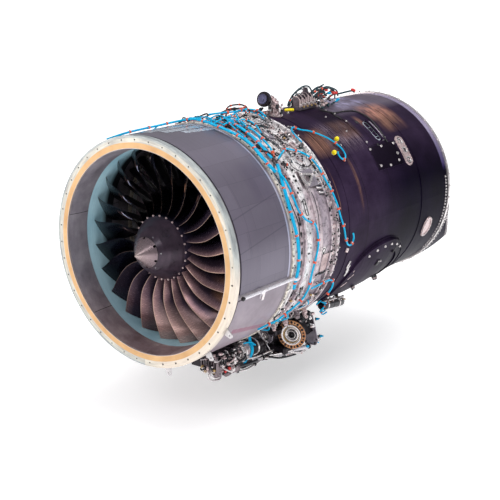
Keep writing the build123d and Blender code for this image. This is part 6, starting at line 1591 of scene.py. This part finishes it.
# upper block between the pump and the case, with fins and small parts
up = Soup("pump_upper_block", slot="pump_alloy", mat="black_casting")
up.rbox(Vector((0.244, 0.446, -0.732)), X, Y, Z, 0.094, 0.150, 0.062, 0.010)
up.rbox(Vector((0.262, 0.570, -0.722)), X, Y, Z, 0.080, 0.070, 0.050, 0.010)
for k in range(9):
    up.rbox(Vector((0.296, 0.384 + 0.017 * k, -0.728)), Y, X, Z, 0.006, 0.020, 0.058, 0.002)
up.rbox(Vector((0.214, 0.352, -0.768)), X, Y, Z, 0.050, 0.030, 0.040, 0.008)
up.make(angle=35)
q = random.Random(71)
for k in range(60):
    side = q.random()
    if side < 0.65:
        p_ = Vector((q.uniform(0.298, 0.318), q.uniform(0.370, 0.600), q.uniform(-0.775, -0.700)))
        d_ = Vector((1, q.uniform(-0.3, 0.2), q.uniform(-0.3, 0.2)))
    else:
        p_ = Vector((q.uniform(0.200, 0.300), q.uniform(0.352, 0.372), q.uniform(-0.770, -0.705)))
        d_ = Vector((q.uniform(-0.2, 0.3), -1, q.uniform(-0.2, 0.2)))
    c_ = q.choice((pink, steel, pink, dark, cast, steel))
    z_ = q.random()
    if z_ < 0.45:
        c_.lathe(p_, d_, [(0.010, -0.006), (0.010, 0.004), (-0.008, 0.005), (-0.008, 0.013), (0.005, 0.014), (0.005, 0.020), (0.0025, 0.021)], 12)
    elif z_ < 0.8:
        u_, w_, _ = base_of(d_)
        c_.rbox(p_, u_, w_, Vector(d_).normalized(), q.uniform(0.010, 0.026), q.uniform(0.008, 0.018), q.uniform(0.010, 0.020), 0.003)
    else:
        e_ = Vector((q.uniform(-0.3, 0.3), q.uniform(-1, 1), q.uniform(-1, 0.3))).normalized() * 0.05
        c_.tube([p_, p_ + Vector((0.012, -0.004, 0)) + e_ * 0.5, p_ + e_], 0.0036, 8)

# oil cooler: black can with ribs, bright V-band at the front and cyan cables tied over it
cool = Soup("oil_cooler_can", slot="pump_alloy", mat="black_casting", replaces=("oil_cooler",))
pr = [(0.028, 0.604), (0.042, 0.605), (0.042, 0.614), (0.052, 0.618), (0.056, 0.622)]
for k in range(9):
    y0 = 0.692 + 0.011 * k
    pr += [(0.056, y0), (0.0535, y0 + 0.002), (0.0535, y0 + 0.006), (0.056, y0 + 0.008)]
pr += [(0.056, 0.796), (0.050, 0.800), (0.020, 0.800)]
cool.lathe(Vector((0.262, 0, -0.775)), Y, pr, 44)
cool.lathe(Vector((0.262, 0.800, -0.775)), Y, [(0.040, 0), (0.040, 0.020), (0.034, 0.026), (0.034, 0.060), (0.026, 0.066)], 30)
cool.tube([Vector((0.262, 0.600, -0.775)), Vector((0.262, 0.585, -0.775)), Vector((0.268, 0.560, -0.768)), Vector((0.300, 0.548, -0.762)), Vector((0.318, 0.548, -0.765))], 0.020, 18)
cool.make(angle=35)
ax = Vector((0.262, 0, -0.775))
for y0, w0 in ((0.634, 0.014), (0.676, 0.014)):
    steel.lathe(ax + Y * (y0 - 0.002), Y, [(0.0562, 0), (0.0625, 0.0015), (0.0625, w0), (0.0562, w0 + 0.0015)], 44)
pink.lathe(ax + Y * 0.652, Y, [(0.0563, 0), (0.0600, 0.001), (0.0600, 0.020), (0.0563, 0.021)], 44)
steel.lathe(ax + Y * 0.598, Y, [(0.020, 0), (0.036, 0.001), (0.038, 0.004), (0.046, 0.005), (0.0565, 0.009), (0.0575, 0.012), (0.0575, 0.037)], 44)
pink.lathe(ax + Y * 0.594, Y, [(0.014, 0), (0.018, 0.001), (0.018, 0.006), (0.030, 0.008)], 24)
for t in (20, 65, 110, 155, 200):
    d_ = Vector((sin(radians(t)), 0, cos(radians(t))))
    steel.rbox(ax + Y * 0.641 + d_ * 0.066, d_, Y, d_.cross(Y), 0.012, 0.018, 0.014, 0.003)
    steel.bolt(ax + Y * 0.650 + d_ * 0.067, Y, 0.008, 0.014)
for off, rr in ((0.0, 0.0062), (0.013, 0.0058)):
    pts = []
    for k in range(9):
        t = radians(18 + 17 * k)
        pts.append(ax + Y * (0.700 - 0.005 * k + off) + Vector((sin(t), 0, cos(t))) * (0.0665 + 0.004 * (k == 0)))
    pts[0] = pts[0] + Vector((0.0, 0.01, 0.020))
    pts.append(pts[-1] + Vector((-0.006, -0.006, -0.020)))
    cyan.tube(pts, rr, 12)
cyan.tube([ax + Vector((0.030, 0.640, 0.064)), ax + Vector((0.044, 0.668, 0.066)), ax + Vector((0.050, 0.700, 0.058)), ax + Vector((0.064, 0.724, 0.036))], 0.0055, 10)
cyan.rbox(ax + Vector((0.052, 0.706, 0.046)), Vector((0.7, 0, 0.7)), Y, Vector((0.7, 0, -0.7)), 0.016, 0.026, 0.020, 0.004)
orange.rbox(ax + Vector((-0.010, 0.668, -0.072)), X, Y, Z, 0.018, 0.024, 0.012, 0.004)

# black machinery between the cooler and the alternator, and up behind it to the case
mach = Soup("drive_machinery", slot="black_casting")
mach.lathe(Vector((0.262, 0.822, -0.806)), Y, [(0.020, 0), (0.038, 0.004), (0.038, 0.018), (0.031, 0.022), (0.031, 0.040), (0.038, 0.044), (0.038, 0.056), (0.020, 0.060)], 32)
mach.rbox(Vector((0.232, 0.960, -0.862)), X, Y, Z, 0.120, 0.130, 0.060, 0.014)
mach.lathe(Vector((0.246, 0.880, -0.860)), Y, [(0.016, 0), (0.030, 0.003), (0.030, 0.020), (0.024, 0.024), (0.024, 0.060)], 26)
mach.rbox(Vector((0.300, 1.060, -0.866)), X, Y, Z, 0.120, 0.100, 0.060, 0.014)
mach.rbox(Vector((0.200, 0.860, -0.856)), X, Y, Z, 0.090, 0.120, 0.060, 0.014)
for k in range(7):
    mach.rbox(Vector((0.186 + 0.017 * k, 0.894, -0.858)), X, Y, Z, 0.006, 0.016, 0.064, 0.002)
mach.rbox(Vector((0.300, 0.985, -0.716)), X, Y, Z, 0.080, 0.100, 0.050, 0.012)
mach.rbox(Vector((0.345, 1.080, -0.690)), X, Y, Z, 0.110, 0.080, 0.060, 0.014)
for k in range(6):
    mach.rbox(Vector((0.296 + 0.016 * k, 1.035, -0.672)), X, Y, Z, 0.006, 0.050, 0.026, 0.002)
mach.lathe(Vector((0.392, 1.120, -0.650)), Vector((0.35, -0.9, 0.1)), [(0.026, 0), (0.030, 0.004), (0.030, 0.040), (0.024, 0.046), (0.024, 0.052), (0.010, 0.054)], 26)
mach.lathe(Vector((0.428, 1.180, -0.620)), Vector((0.35, -0.9, 0.1)), [(0.022, 0), (0.025, 0.004), (0.025, 0.034), (0.018, 0.040)], 24)
mach.make(angle=35)
# alternator: finned can, stepped front cover
alt = Soup("generator_cans", slot="black_casting", replaces=("generators",))
pr = [(0.012, 0.944), (0.020, 0.945), (0.020, 0.950), (0.030, 0.954), (0.0315, 0.958), (0.044, 0.9585), (0.0455, 0.9605), (0.047, 0.9585), (0.054, 0.9595), (0.058, 0.962), (0.0585, 0.9675), (0.062, 0.970)]
for k in range(7):
    y0 = 0.976 + 0.0115 * k
    pr += [(0.062, y0), (0.0575, y0 + 0.0015), (0.0575, y0 + 0.006), (0.062, y0 + 0.0075)]
pr += [(0.062, 1.0617), (0.030, 1.0617)]
alt.lathe(Vector((0.234, 0, -0.762)), Y, pr, 48)
pr = [(0.020, 0.826), (0.044, 0.827), (0.048, 0.832), (0.048, 0.838), (0.062, 0.842)]
for k in range(14):
    y0 = 0.850 + 0.0130 * k
    pr += [(0.062, y0), (0.058, y0 + 0.002), (0.058, y0 + 0.006), (0.062, y0 + 0.008)]
pr += [(0.062, 1.038), (0.030, 1.040)]
alt.lathe(Vector((0.108, 0, -0.932)), Y, pr, 40)
alt.rbox(Vector((0.108, 1.045, -0.893)), X, Y, Z, 0.060, 0.068, 0.024, 0.006)
alt.make(angle=35)
face = Soup("alternator_face", slot="pump_alloy", mat="pad_grey")
face.lathe(Vector((0.234, 0, -0.762)), -Y, [(0.0590, -0.9640), (0.0590, -0.9600), (0.0560, -0.9575), (0.0500, -0.9568), (0.0492, -0.9545), (0.0470, -0.9545), (0.0462, -0.9572), (0.0360, -0.9572), (0.0350, -0.9540), (0.0330, -0.9540)], 44)
face.make(angle=30)
steel.lathe(Vector((0.234, 0.9565, -0.762)), -Y, [(0.024, 0), (0.026, 0.001), (0.026, 0.006), (0.019, 0.009), (0.019, 0.014), (-0.013, 0.0145), (-0.013, 0.020), (0.006, 0.021)], 24)
for k in range(10):
    t = radians(36 * k + 8)
    dark.bolt(Vector((0.234 + 0.053 * sin(t), 0.9572, -0.762 + 0.053 * cos(t))), -Y, 0.007, 0.004, n=8)
# white rod from the harness down past the alternator's face, with end fittings
steel.tube([Vector((0.205, 0.925, -0.728)), Vector((0.250, 0.927, -0.785)), Vector((0.302, 0.930, -0.855))], 0.0052, 12, smooth=False)
for p0 in ((0.205, 0.925, -0.728), (0.302, 0.930, -0.855)):
    steel.lathe(Vector(p0) - Y * 0.007, Y, [(0.006, 0), (0.010, 0.001), (0.010, 0.013), (0.006, 0.014)], 16)
steel.tube([Vector((0.244, 0.905, -0.770)), Vector((0.262, 0.915, -0.775)), Vector((0.280, 0.925, -0.790))], 0.0050, 10)

# starter pad: nuts round the ring and a splined recess
pn = Vector((0.258819, -0.965926, 0.0))
pcn = Vector((0.400, 1.030, -0.737))
pu, pw = Vector((0.965926, 0.258819, 0.0)), Z
padset = Soup("pad_nuts", slot="bright_steel", mat="black_casting")
for k in range(12):
    t = radians(30 * k)
    padset.bolt(pcn + (pu * cos(t) + pw * sin(t)) * 0.088 + pn * 0.0001, pn, 0.012, 0.008)
    t += radians(15)
    padset.lathe(pcn + (pu * cos(t) + pw * sin(t)) * 0.088 + pn * 0.0001, pn, [(0.0065, 0), (0.0065, 0.0016), (0.0044, 0.0018), (0.0042, 0.0002), (0.0016, 0.0002)], 14)
for k in range(24):
    t = 2 * pi * k / 24
    d_ = pu * cos(t) + pw * sin(t)
    padset.rbox(pcn + d_ * 0.0345 - pn * 0.004, d_, pn, d_.cross(pn), 0.0045, 0.008, 0.0042, 0.001)
padset.ring(pcn + pn * 0.0021, pn, [(0.0300, -0.014), (0.0300, 0.0004), (0.0270, 0.0010), (0.0200, 0.0010), (0.0172, 0.0002), (0.0172, -0.014)], 36)
padset.lathe(pcn - pn * 0.024, pn, [(0.0165, 0), (0.0165, 0.010), (0.0120, 0.012), (0.0105, 0.020), (0.0060, 0.022)], 20)
padset.make(angle=35)
ringset = Soup("pad_rings", slot="bright_steel")
ringset.ring(pcn + pn * 0.0102, pn, [(0.0718, 0), (0.0714, 0.0014), (0.0690, 0.0018), (0.0612, 0.0006), (0.0590, -0.0010), (0.0590, -0.004), (0.0718, -0.004)], 64)
ringset.ring(pcn - pn * 0.0038, pn, [(0.0520, 0), (0.0515, 0.0030), (0.0480, 0.0050), (0.0425, 0.0046), (0.0400, 0.0020), (0.0345, 0.0004), (0.0325, 0.0000), (0.0325, -0.0010), (0.0520, -0.0010)], 52)
ringset.make(angle=35)
hubset = Soup("coupling_face", "starter_coupling", "bright_steel", "bright_steel")
hubset.ring(pcn + pn * 0.0022, pn, [(0.0296, -0.006), (0.0296, 0.0006), (0.0286, 0.0014), (0.0262, 0.0014), (0.0248, 0.0004), (0.0226, 0.0006), (0.0214, -0.0004), (0.0214, -0.006)], 44)
hubset.make(angle=35)
goldset = Soup("pad_gold_ring", slot="bright_steel", mat="gold_plate")
goldset.ring(pcn - pn * 0.0030, pn, [(0.0580, 0), (0.0580, 0.0120), (0.0560, 0.0120), (0.0530, 0.0020), (0.0525, 0)], 52)
goldset.make(angle=35)

# gearbox rear: grey triangular guard, bright tube with unions and cyan tails
guard = Soup("gearbox_guard", slot="pump_alloy", mat="pad_grey")
gpts = [(0.331, 1.2895, -0.662), (0.391, 1.2895, -0.676), (0.4405, 1.2895, -0.849), (0.4245, 1.2895, -0.883), (0.332, 1.2895, -0.888), (0.323, 1.2895, -0.780)]
guard.prism([Vector(p) for p in gpts], Vector((0, -0.0012, 0)))
guard.tube([Vector((0.394, 1.286, -0.680)), Vector((0.418, 1.286, -0.762)), Vector((0.4405, 1.286, -0.846))], 0.0042, 10)
guard.tube([Vector((0.340, 1.286, -0.885)), Vector((0.380, 1.286, -0.884)), Vector((0.4225, 1.286, -0.880))], 0.0042, 10)
guard.make(angle=30)
for k, p0 in enumerate(gpts):
    c_ = sum((Vector(p) for p in gpts), Vector()) / len(gpts)
    p_ = Vector(p0) + (c_ - Vector(p0)) * 0.16
    dark.bolt(p_ - Y * 0.0012, -Y, 0.011, 0.006, n=8)
# fittings between the pad and the guard, and above the gearbox
q = random.Random(53)
for k in range(46):
    t = q.random()
    if t < 0.5:
        p_ = Vector((q.uniform(0.395, 0.462), q.uniform(1.07, 1.14), q.uniform(-0.665, -0.640)))
        p_ = Vector((p_.x, p_.y, -sqrt(max(0.02, 0.742 ** 2 - p_.x ** 2)) - q.uniform(0.0, 0.05)))
    else:
        p_ = Vector((q.uniform(0.336, 0.420), q.uniform(1.16, 1.28), 0))
        p_.z = -sqrt(max(0.02, 0.742 ** 2 - p_.x ** 2)) - q.uniform(0.0, 0.12)
    d_ = Vector((0.8, -0.5, q.uniform(-0.4, 0.4)))
    z_ = q.random()
    c_ = q.choice((dark, pink, steel, dark, dark))
    if z_ < 0.4:
        c_.lathe(p_, d_, [(0.014, -0.01), (0.014, 0.006), (-0.011, 0.008), (-0.011, 0.018), (0.006, 0.020), (0.006, 0.028), (0.003, 0.029)], 12)
    else:
        c_.rbox(p_, Vector((0.9, -0.4, 0)), Vector((0.4, 0.9, 0)), Z, q.uniform(0.014, 0.034), q.uniform(0.012, 0.034), q.uniform(0.010, 0.030), 0.004)
tubes = Soup("lower_tube_set", slot="bright_steel", replaces=("lower_tubes",))
d_ = Vector((0, 1, 0.13)).normalized()
tubes.lathe(Vector((0.330, 1.262, -0.926)), d_, [(0.014, 0), (0.024, 0.002), (0.024, 0.018), (0.0175, 0.021), (0.017, 0.024), (0.017, 0.090), (0.0195, 0.091), (0.0195, 0.097), (0.017, 0.098), (0.017, 0.190), (0.0215, 0.192), (0.0215, 0.204), (0.014, 0.208), (0.014, 0.217), (0.004, 0.218)], 26)
for pts, r in (([(300, 830, -872), (300, 930, -892), (296, 1040, -905), (292, 1130, -912), (286, 1215, -904)], 9), ([(262, 600, -905), (272, 700, -915), (270, 800, -908), (255, 900, -900), (236, 985, -900)], 7),
               ([(330, 600, -800), (345, 700, -812), (340, 830, -820), (318, 930, -835)], 6)):
    ln_ = tubes.tube([Vector(p) / 1000 for p in pts], r / 1000, 14, 0.010)
    for k in (1, len(ln_) // 2, len(ln_) - 3):
        e_ = (ln_[k + 1] - ln_[k]).normalized()
        dark.lathe(ln_[k] - e_ * 0.007, e_, [(r / 1000, 0), (-(r / 1000 + 0.004), 0.001), (-(r / 1000 + 0.004), 0.013), (r / 1000, 0.014)], 12)
tubes.tube([Vector(p) for p in ((0.238, 0.905, -0.905), (0.280, 1.000, -0.902), (0.318, 1.080, -0.898), (0.352, 1.130, -0.905), (0.350, 1.200, -0.930), (0.338, 1.250, -0.928))], 0.0100, 14, 0.010)
tubes.tube([Vector(p) for p in ((0.262, 0.890, -0.880), (0.300, 0.960, -0.886), (0.345, 1.040, -0.880), (0.372, 1.080, -0.866))], 0.0085, 14, 0.010)
tubes.make(angle=45)
dark.tube([Vector(p) for p in ((0.310, 0.900, -0.880), (0.335, 0.980, -0.905), (0.350, 1.060, -0.915), (0.352, 1.150, -0.925))], 0.0065, 12)
q = random.Random(41)
for k in range(34):
    t = k / 33
    p_ = Vector((0.262 + 0.080 * t + q.uniform(-0.01, 0.012), 0.880 + 0.36 * t, -0.888 - 0.030 * t + q.uniform(-0.018, 0.014)))
    z_ = q.random()
    if z_ < 0.5:
        q.choice((dark, steel, pink, dark)).lathe(p_, Vector((1, q.uniform(-0.6, 0.6), q.uniform(-0.8, 0.4))), [(0.006, 0), (-0.009, 0.002), (-0.009, 0.010), (0.006, 0.011), (0.006, 0.018), (0.003, 0.019)], 12)
    else:
        q.choice((dark, dark, pink)).rbox(p_, X, Y, Z, q.uniform(0.010, 0.026), q.uniform(0.012, 0.030), q.uniform(0.010, 0.020), 0.003)
for p0, d0 in (((0.352, 1.395, -0.735), (1, 0.3, 0.2)), ((0.356, 1.440, -0.874), (1, 0.3, 0.1)), ((0.345, 1.400, -0.905), (0.8, 0.4, -0.3)), ((0.340, 1.330, -0.885), (0.9, -0.2, 0.2))):
    cyan.lathe(Vector(p0), Vector(d0), [(0.006, 0), (0.0085, 0.001), (0.0085, 0.016), (0.005, 0.018), (0.004, 0.026)], 12)
    dark.lathe(Vector(p0) - Vector(d0).normalized() * 0.008, Vector(d0), [(0.008, 0), (-0.0105, 0.001), (-0.0105, 0.008), (0.008, 0.009)], 12)

# underside of the intermediate case by the gearbox: grey bosses, brackets and cyan tails
for p0, d0, r0 in (((0.430, 1.040, -0.585), (0.7, -0.5, -0.4), 0.024), ((0.396, 0.960, -0.618), (0.6, -0.5, -0.5), 0.020), ((0.455, 1.090, -0.560), (0.8, -0.4, -0.4), 0.018), ((0.360, 0.880, -0.640), (0.5, -0.5, -0.6), 0.018)):
    d_ = Vector(d0).normalized()
    face_ = pink if r0 < 0.021 else cast
    face_.lathe(Vector(p0), d_, [(r0, -0.03), (r0, 0.010), (r0 * 0.86, 0.014), (r0 * 0.86, 0.022), (-r0 * 0.62, 0.024), (-r0 * 0.62, 0.036), (r0 * 0.3, 0.038)], 20)
for k in range(70):
    a = q.uniform(113, 152)
    y = q.choice((q.uniform(0.62, 0.70), q.uniform(0.74, 0.80), q.uniform(0.82, 1.06), q.uniform(0.82, 1.06)))
    z_, turn = q.random(), q.choice((0, 20, 50, 90))
    if z_ < 0.3:
        bolted(q.choice((pink, steel, dark)), y, a, q.uniform(0.02, 0.045), q.uniform(0.014, 0.026), 0.007, turn, 2, q.choice((dark, steel)))
    elif z_ < 0.5:
        p_, t_, n_ = lay(y, a, 0.010)
        plug(p_, Y * cos(radians(turn)) + t_ * sin(radians(turn)) + n_ * 0.3, 0.008, 0.034, q.choice((dark, gold, steel)), q.choice((steel, pink)))
    elif z_ < 0.75:
        q.choice((dark, steel)).bolt(lay(y, a)[0], rad_n(a), 0.012, 0.008, n=8)
    else:
        wire(q.choice((cyan, dark, rubber, steel)), [(y, a), (min(1.06, y + 0.02), a + 3, 0.020), (max(0.6, y - 0.02), a + 7)], q.uniform(0.003, 0.005), 0.008)

# more cables over the top left of the case, crossing each other, with their collars
collars = Soup("upper_cable_collars", slot="clip_orange")
loose = [
    ([(0.561, 9.0, 0.757), (0.665, 7.6, 0.764), (0.778, 6.4, 0.768), (0.900, 3.6, 0.770), (0.968, 6.5, 0.768), (0.987, 10.9, 0.766), (0.963, 16.0, 0.760)], 0.0052, cyan),
    ([(0.728, 6.2, 0.760), (0.632, 14.5, 0.768), (0.592, 21.3, 0.768), (0.588, 26.8, 0.764), (0.575, 31.4, 0.757)], 0.0050, cyan),
    ([(0.873, 3.8, 0.760), (0.746, 13.8, 0.769), (0.701, 21.0, 0.772), (0.714, 26.0, 0.768), (0.685, 32.0, 0.757)], 0.0046, cyan),
    ([(0.590, 12.9, 0.757), (0.705, 12.6, 0.770), (0.788, 15.1, 0.772), (0.799, 20.1, 0.768), (0.772, 26.3, 0.757)], 0.0046, cyan),
    ([(0.771, 3.6, 0.758), (0.900, -3.5, 0.778), (1.000, -7.0, 0.786), (1.045, -4.0, 0.788), (1.022, 1.0, 0.784), (0.965, 6.0, 0.780), (0.975, 9.0, 0.778), (1.010, 13.4, 0.776), (0.992, 18.9, 0.760)], 0.0055, dark),
    ([(0.820, 9.5, 0.758), (0.905, 8.0, 0.776), (0.950, 2.0, 0.780), (0.930, -3.0, 0.776), (0.880, -6.0, 0.758)], 0.0042, dark),
]
for route, r_, c_ in loose:
    pts = [P(rr, aa, yy) for yy, aa, rr in route]
    c_.tube(pts, r_, 10)
    for k in range(1, len(pts) - 1):
        t = (pts[k + 1] - pts[k - 1]).normalized()
        collars.ring(pts[k] - t * 0.005, t, [(r_ + 0.0001, 0), (r_ + 0.0022, 0.001), (r_ + 0.0022, 0.009), (r_ + 0.0001, 0.010)], 14)
collars.make(angle=40)
# bright sleeve and end fitting on the tube that runs below the pad towards the guard
sl = Soup("lower_tube_sleeve", slot="bright_steel", mat="white_tube")
sl.tube([Vector((0.336, 1.125, -0.893)), Vector((0.344, 1.180, -0.897)), Vector((0.352, 1.240, -0.902)), Vector((0.360, 1.286, -0.906))], 0.0150, 16)
sl.tube([Vector((0.276, 0.905, -0.893)), Vector((0.296, 0.985, -0.898)), Vector((0.318, 1.060, -0.903)), Vector((0.334, 1.112, -0.902))], 0.0105, 14)
sl.tube([Vector((0.250, 0.800, -0.885)), Vector((0.262, 0.860, -0.890)), Vector((0.272, 0.892, -0.892))], 0.0090, 14)
sl.make(angle=45)
steel.lathe(Vector((0.334, 1.112, -0.899)), Vector((0.16, 0.98, -0.06)), [(0.012, 0), (-0.0205, 0.001), (-0.0205, 0.014), (0.016, 0.016)], 16)
dark.lathe(Vector((0.360, 1.286, -0.906)), Vector((0.16, 0.98, -0.06)), [(0.0150, -0.004), (0.0185, -0.002), (0.0185, 0.010), (0.0100, 0.014)], 20)
cyan.lathe(Vector((0.368, 1.262, -0.896)), Vector((0.9, -0.3, 0.1)), [(0.006, 0), (0.0105, 0.001), (0.0105, 0.012), (0.006, 0.014)], 14)
# white sleeve on the seam tube with its bracket, and the end that crosses over the cable
sleeve = Soup("seam_tube_sleeve", slot="bright_steel", mat="white_tube")
sleeve.lathe(P(0.7456, 103.2, 0.094), Y, [(0.0080, 0), (0.0100, 0.001), (0.0100, 0.160), (0.0112, 0.161), (0.0112, 0.166), (0.0100, 0.167), (0.0100, 0.497), (0.0112, 0.498), (0.0112, 0.5015), (0.0080, 0.502)], 20)
sleeve.tube([P(0.7470, 103.2, 0.584), P(0.7580, 103.2, 0.594), P(0.7640, 103.2, 0.608), P(0.7600, 103.1, 0.630), P(0.7480, 103.0, 0.652)], 0.0085, 14)
n_, t_ = rad_n(103.2), tan_n(103.2)
sleeve.rbox(P(0.7570, 103.2, 0.268), Y, t_, n_, 0.036, 0.026, 0.005, 0.002)
sleeve.rbox(P(0.7450, 105.4, 0.268), Y, t_, n_, 0.020, 0.036, 0.005, 0.002)
sleeve.make(angle=40)
steel.bolt(P(0.7476, 106.2, 0.268), n_, 0.010, 0.005)
dark.lathe(P(0.7456, 103.2, 0.088), -Y, [(0.008, -0.004), (0.0125, 0.000), (0.0125, 0.012), (0.008, 0.014)], 16)
# shadowed rims of the inlet flange's holes
for i in range(40):
    a = 9 * i + 5.7
    big = 92 < a < 176
    dark.ring(P(0.710, a, 0.0), -Y, [(0.0062 if big else 0.0050, -0.0010), (0.0060 if big else 0.0048, 0.0004), (0.0040 if big else 0.0038, 0.0006), (0.0026 if big else 0.0036, -0.0040), (0.0048, -0.0040)], 16)
# lined edges of the outlet slot: pale metal on both long sides
slotm = Soup("outlet_slot_lining", slot="bright_steel", mat="film")
so, si = stadium((1.928, 0.0), 0.182, 0.058, 90, 12), stadium((1.928, 0.0), 0.168, 0.044, 90, 12)
frame_ring(slotm, [duct_pt(y_, u_, 39.0, 0.0045) for y_, u_ in so], [duct_pt(y_, u_, 39.0, 0.0045) for y_, u_ in si], rad_n(39.0) * 0.002)
for k in range(3):
    slotm.prism([P(duct_r(1.93) - 0.016, 34.5 + 3.6 * k, 1.906), P(duct_r(1.93) + 0.002, 36.2 + 3.6 * k, 1.906), P(duct_r(1.93) + 0.002, 36.5 + 3.6 * k, 1.906), P(duct_r(1.93) - 0.016, 34.9 + 3.6 * k, 1.906)], Y * 0.044)
slotm.make(angle=40)
# slot port: a dark sheet inside the bright rim, painted shade in the port
inn = stadium((2.154, 0.0), 0.206, 0.064, 90, 12)
for lf, mat_ in ((0.0066, dark),):
    outl = [duct_pt(y_, u_, 56.4, lf) for y_, u_ in inn]
    c_ = sum(outl, Vector()) / len(outl)
    n0 = len(outl)
    mat_.add([duct_pt(2.154, 0.0, 56.4, lf)] + outl, [(0, 1 + i, 1 + (i + 1) % n0) for i in range(n0)])
for a in (50.3, 56.4, 62.5):
    steel.ring(P(duct_r(2.154) + 0.0070, a, 2.154), rad_n(a), [(0.0245, 0), (0.0240, 0.0030), (0.0180, 0.0040), (0.0160, 0.0020), (0.0160, 0)], 24)


for s_ in S.values():
    if s_.v:
        s_.make()
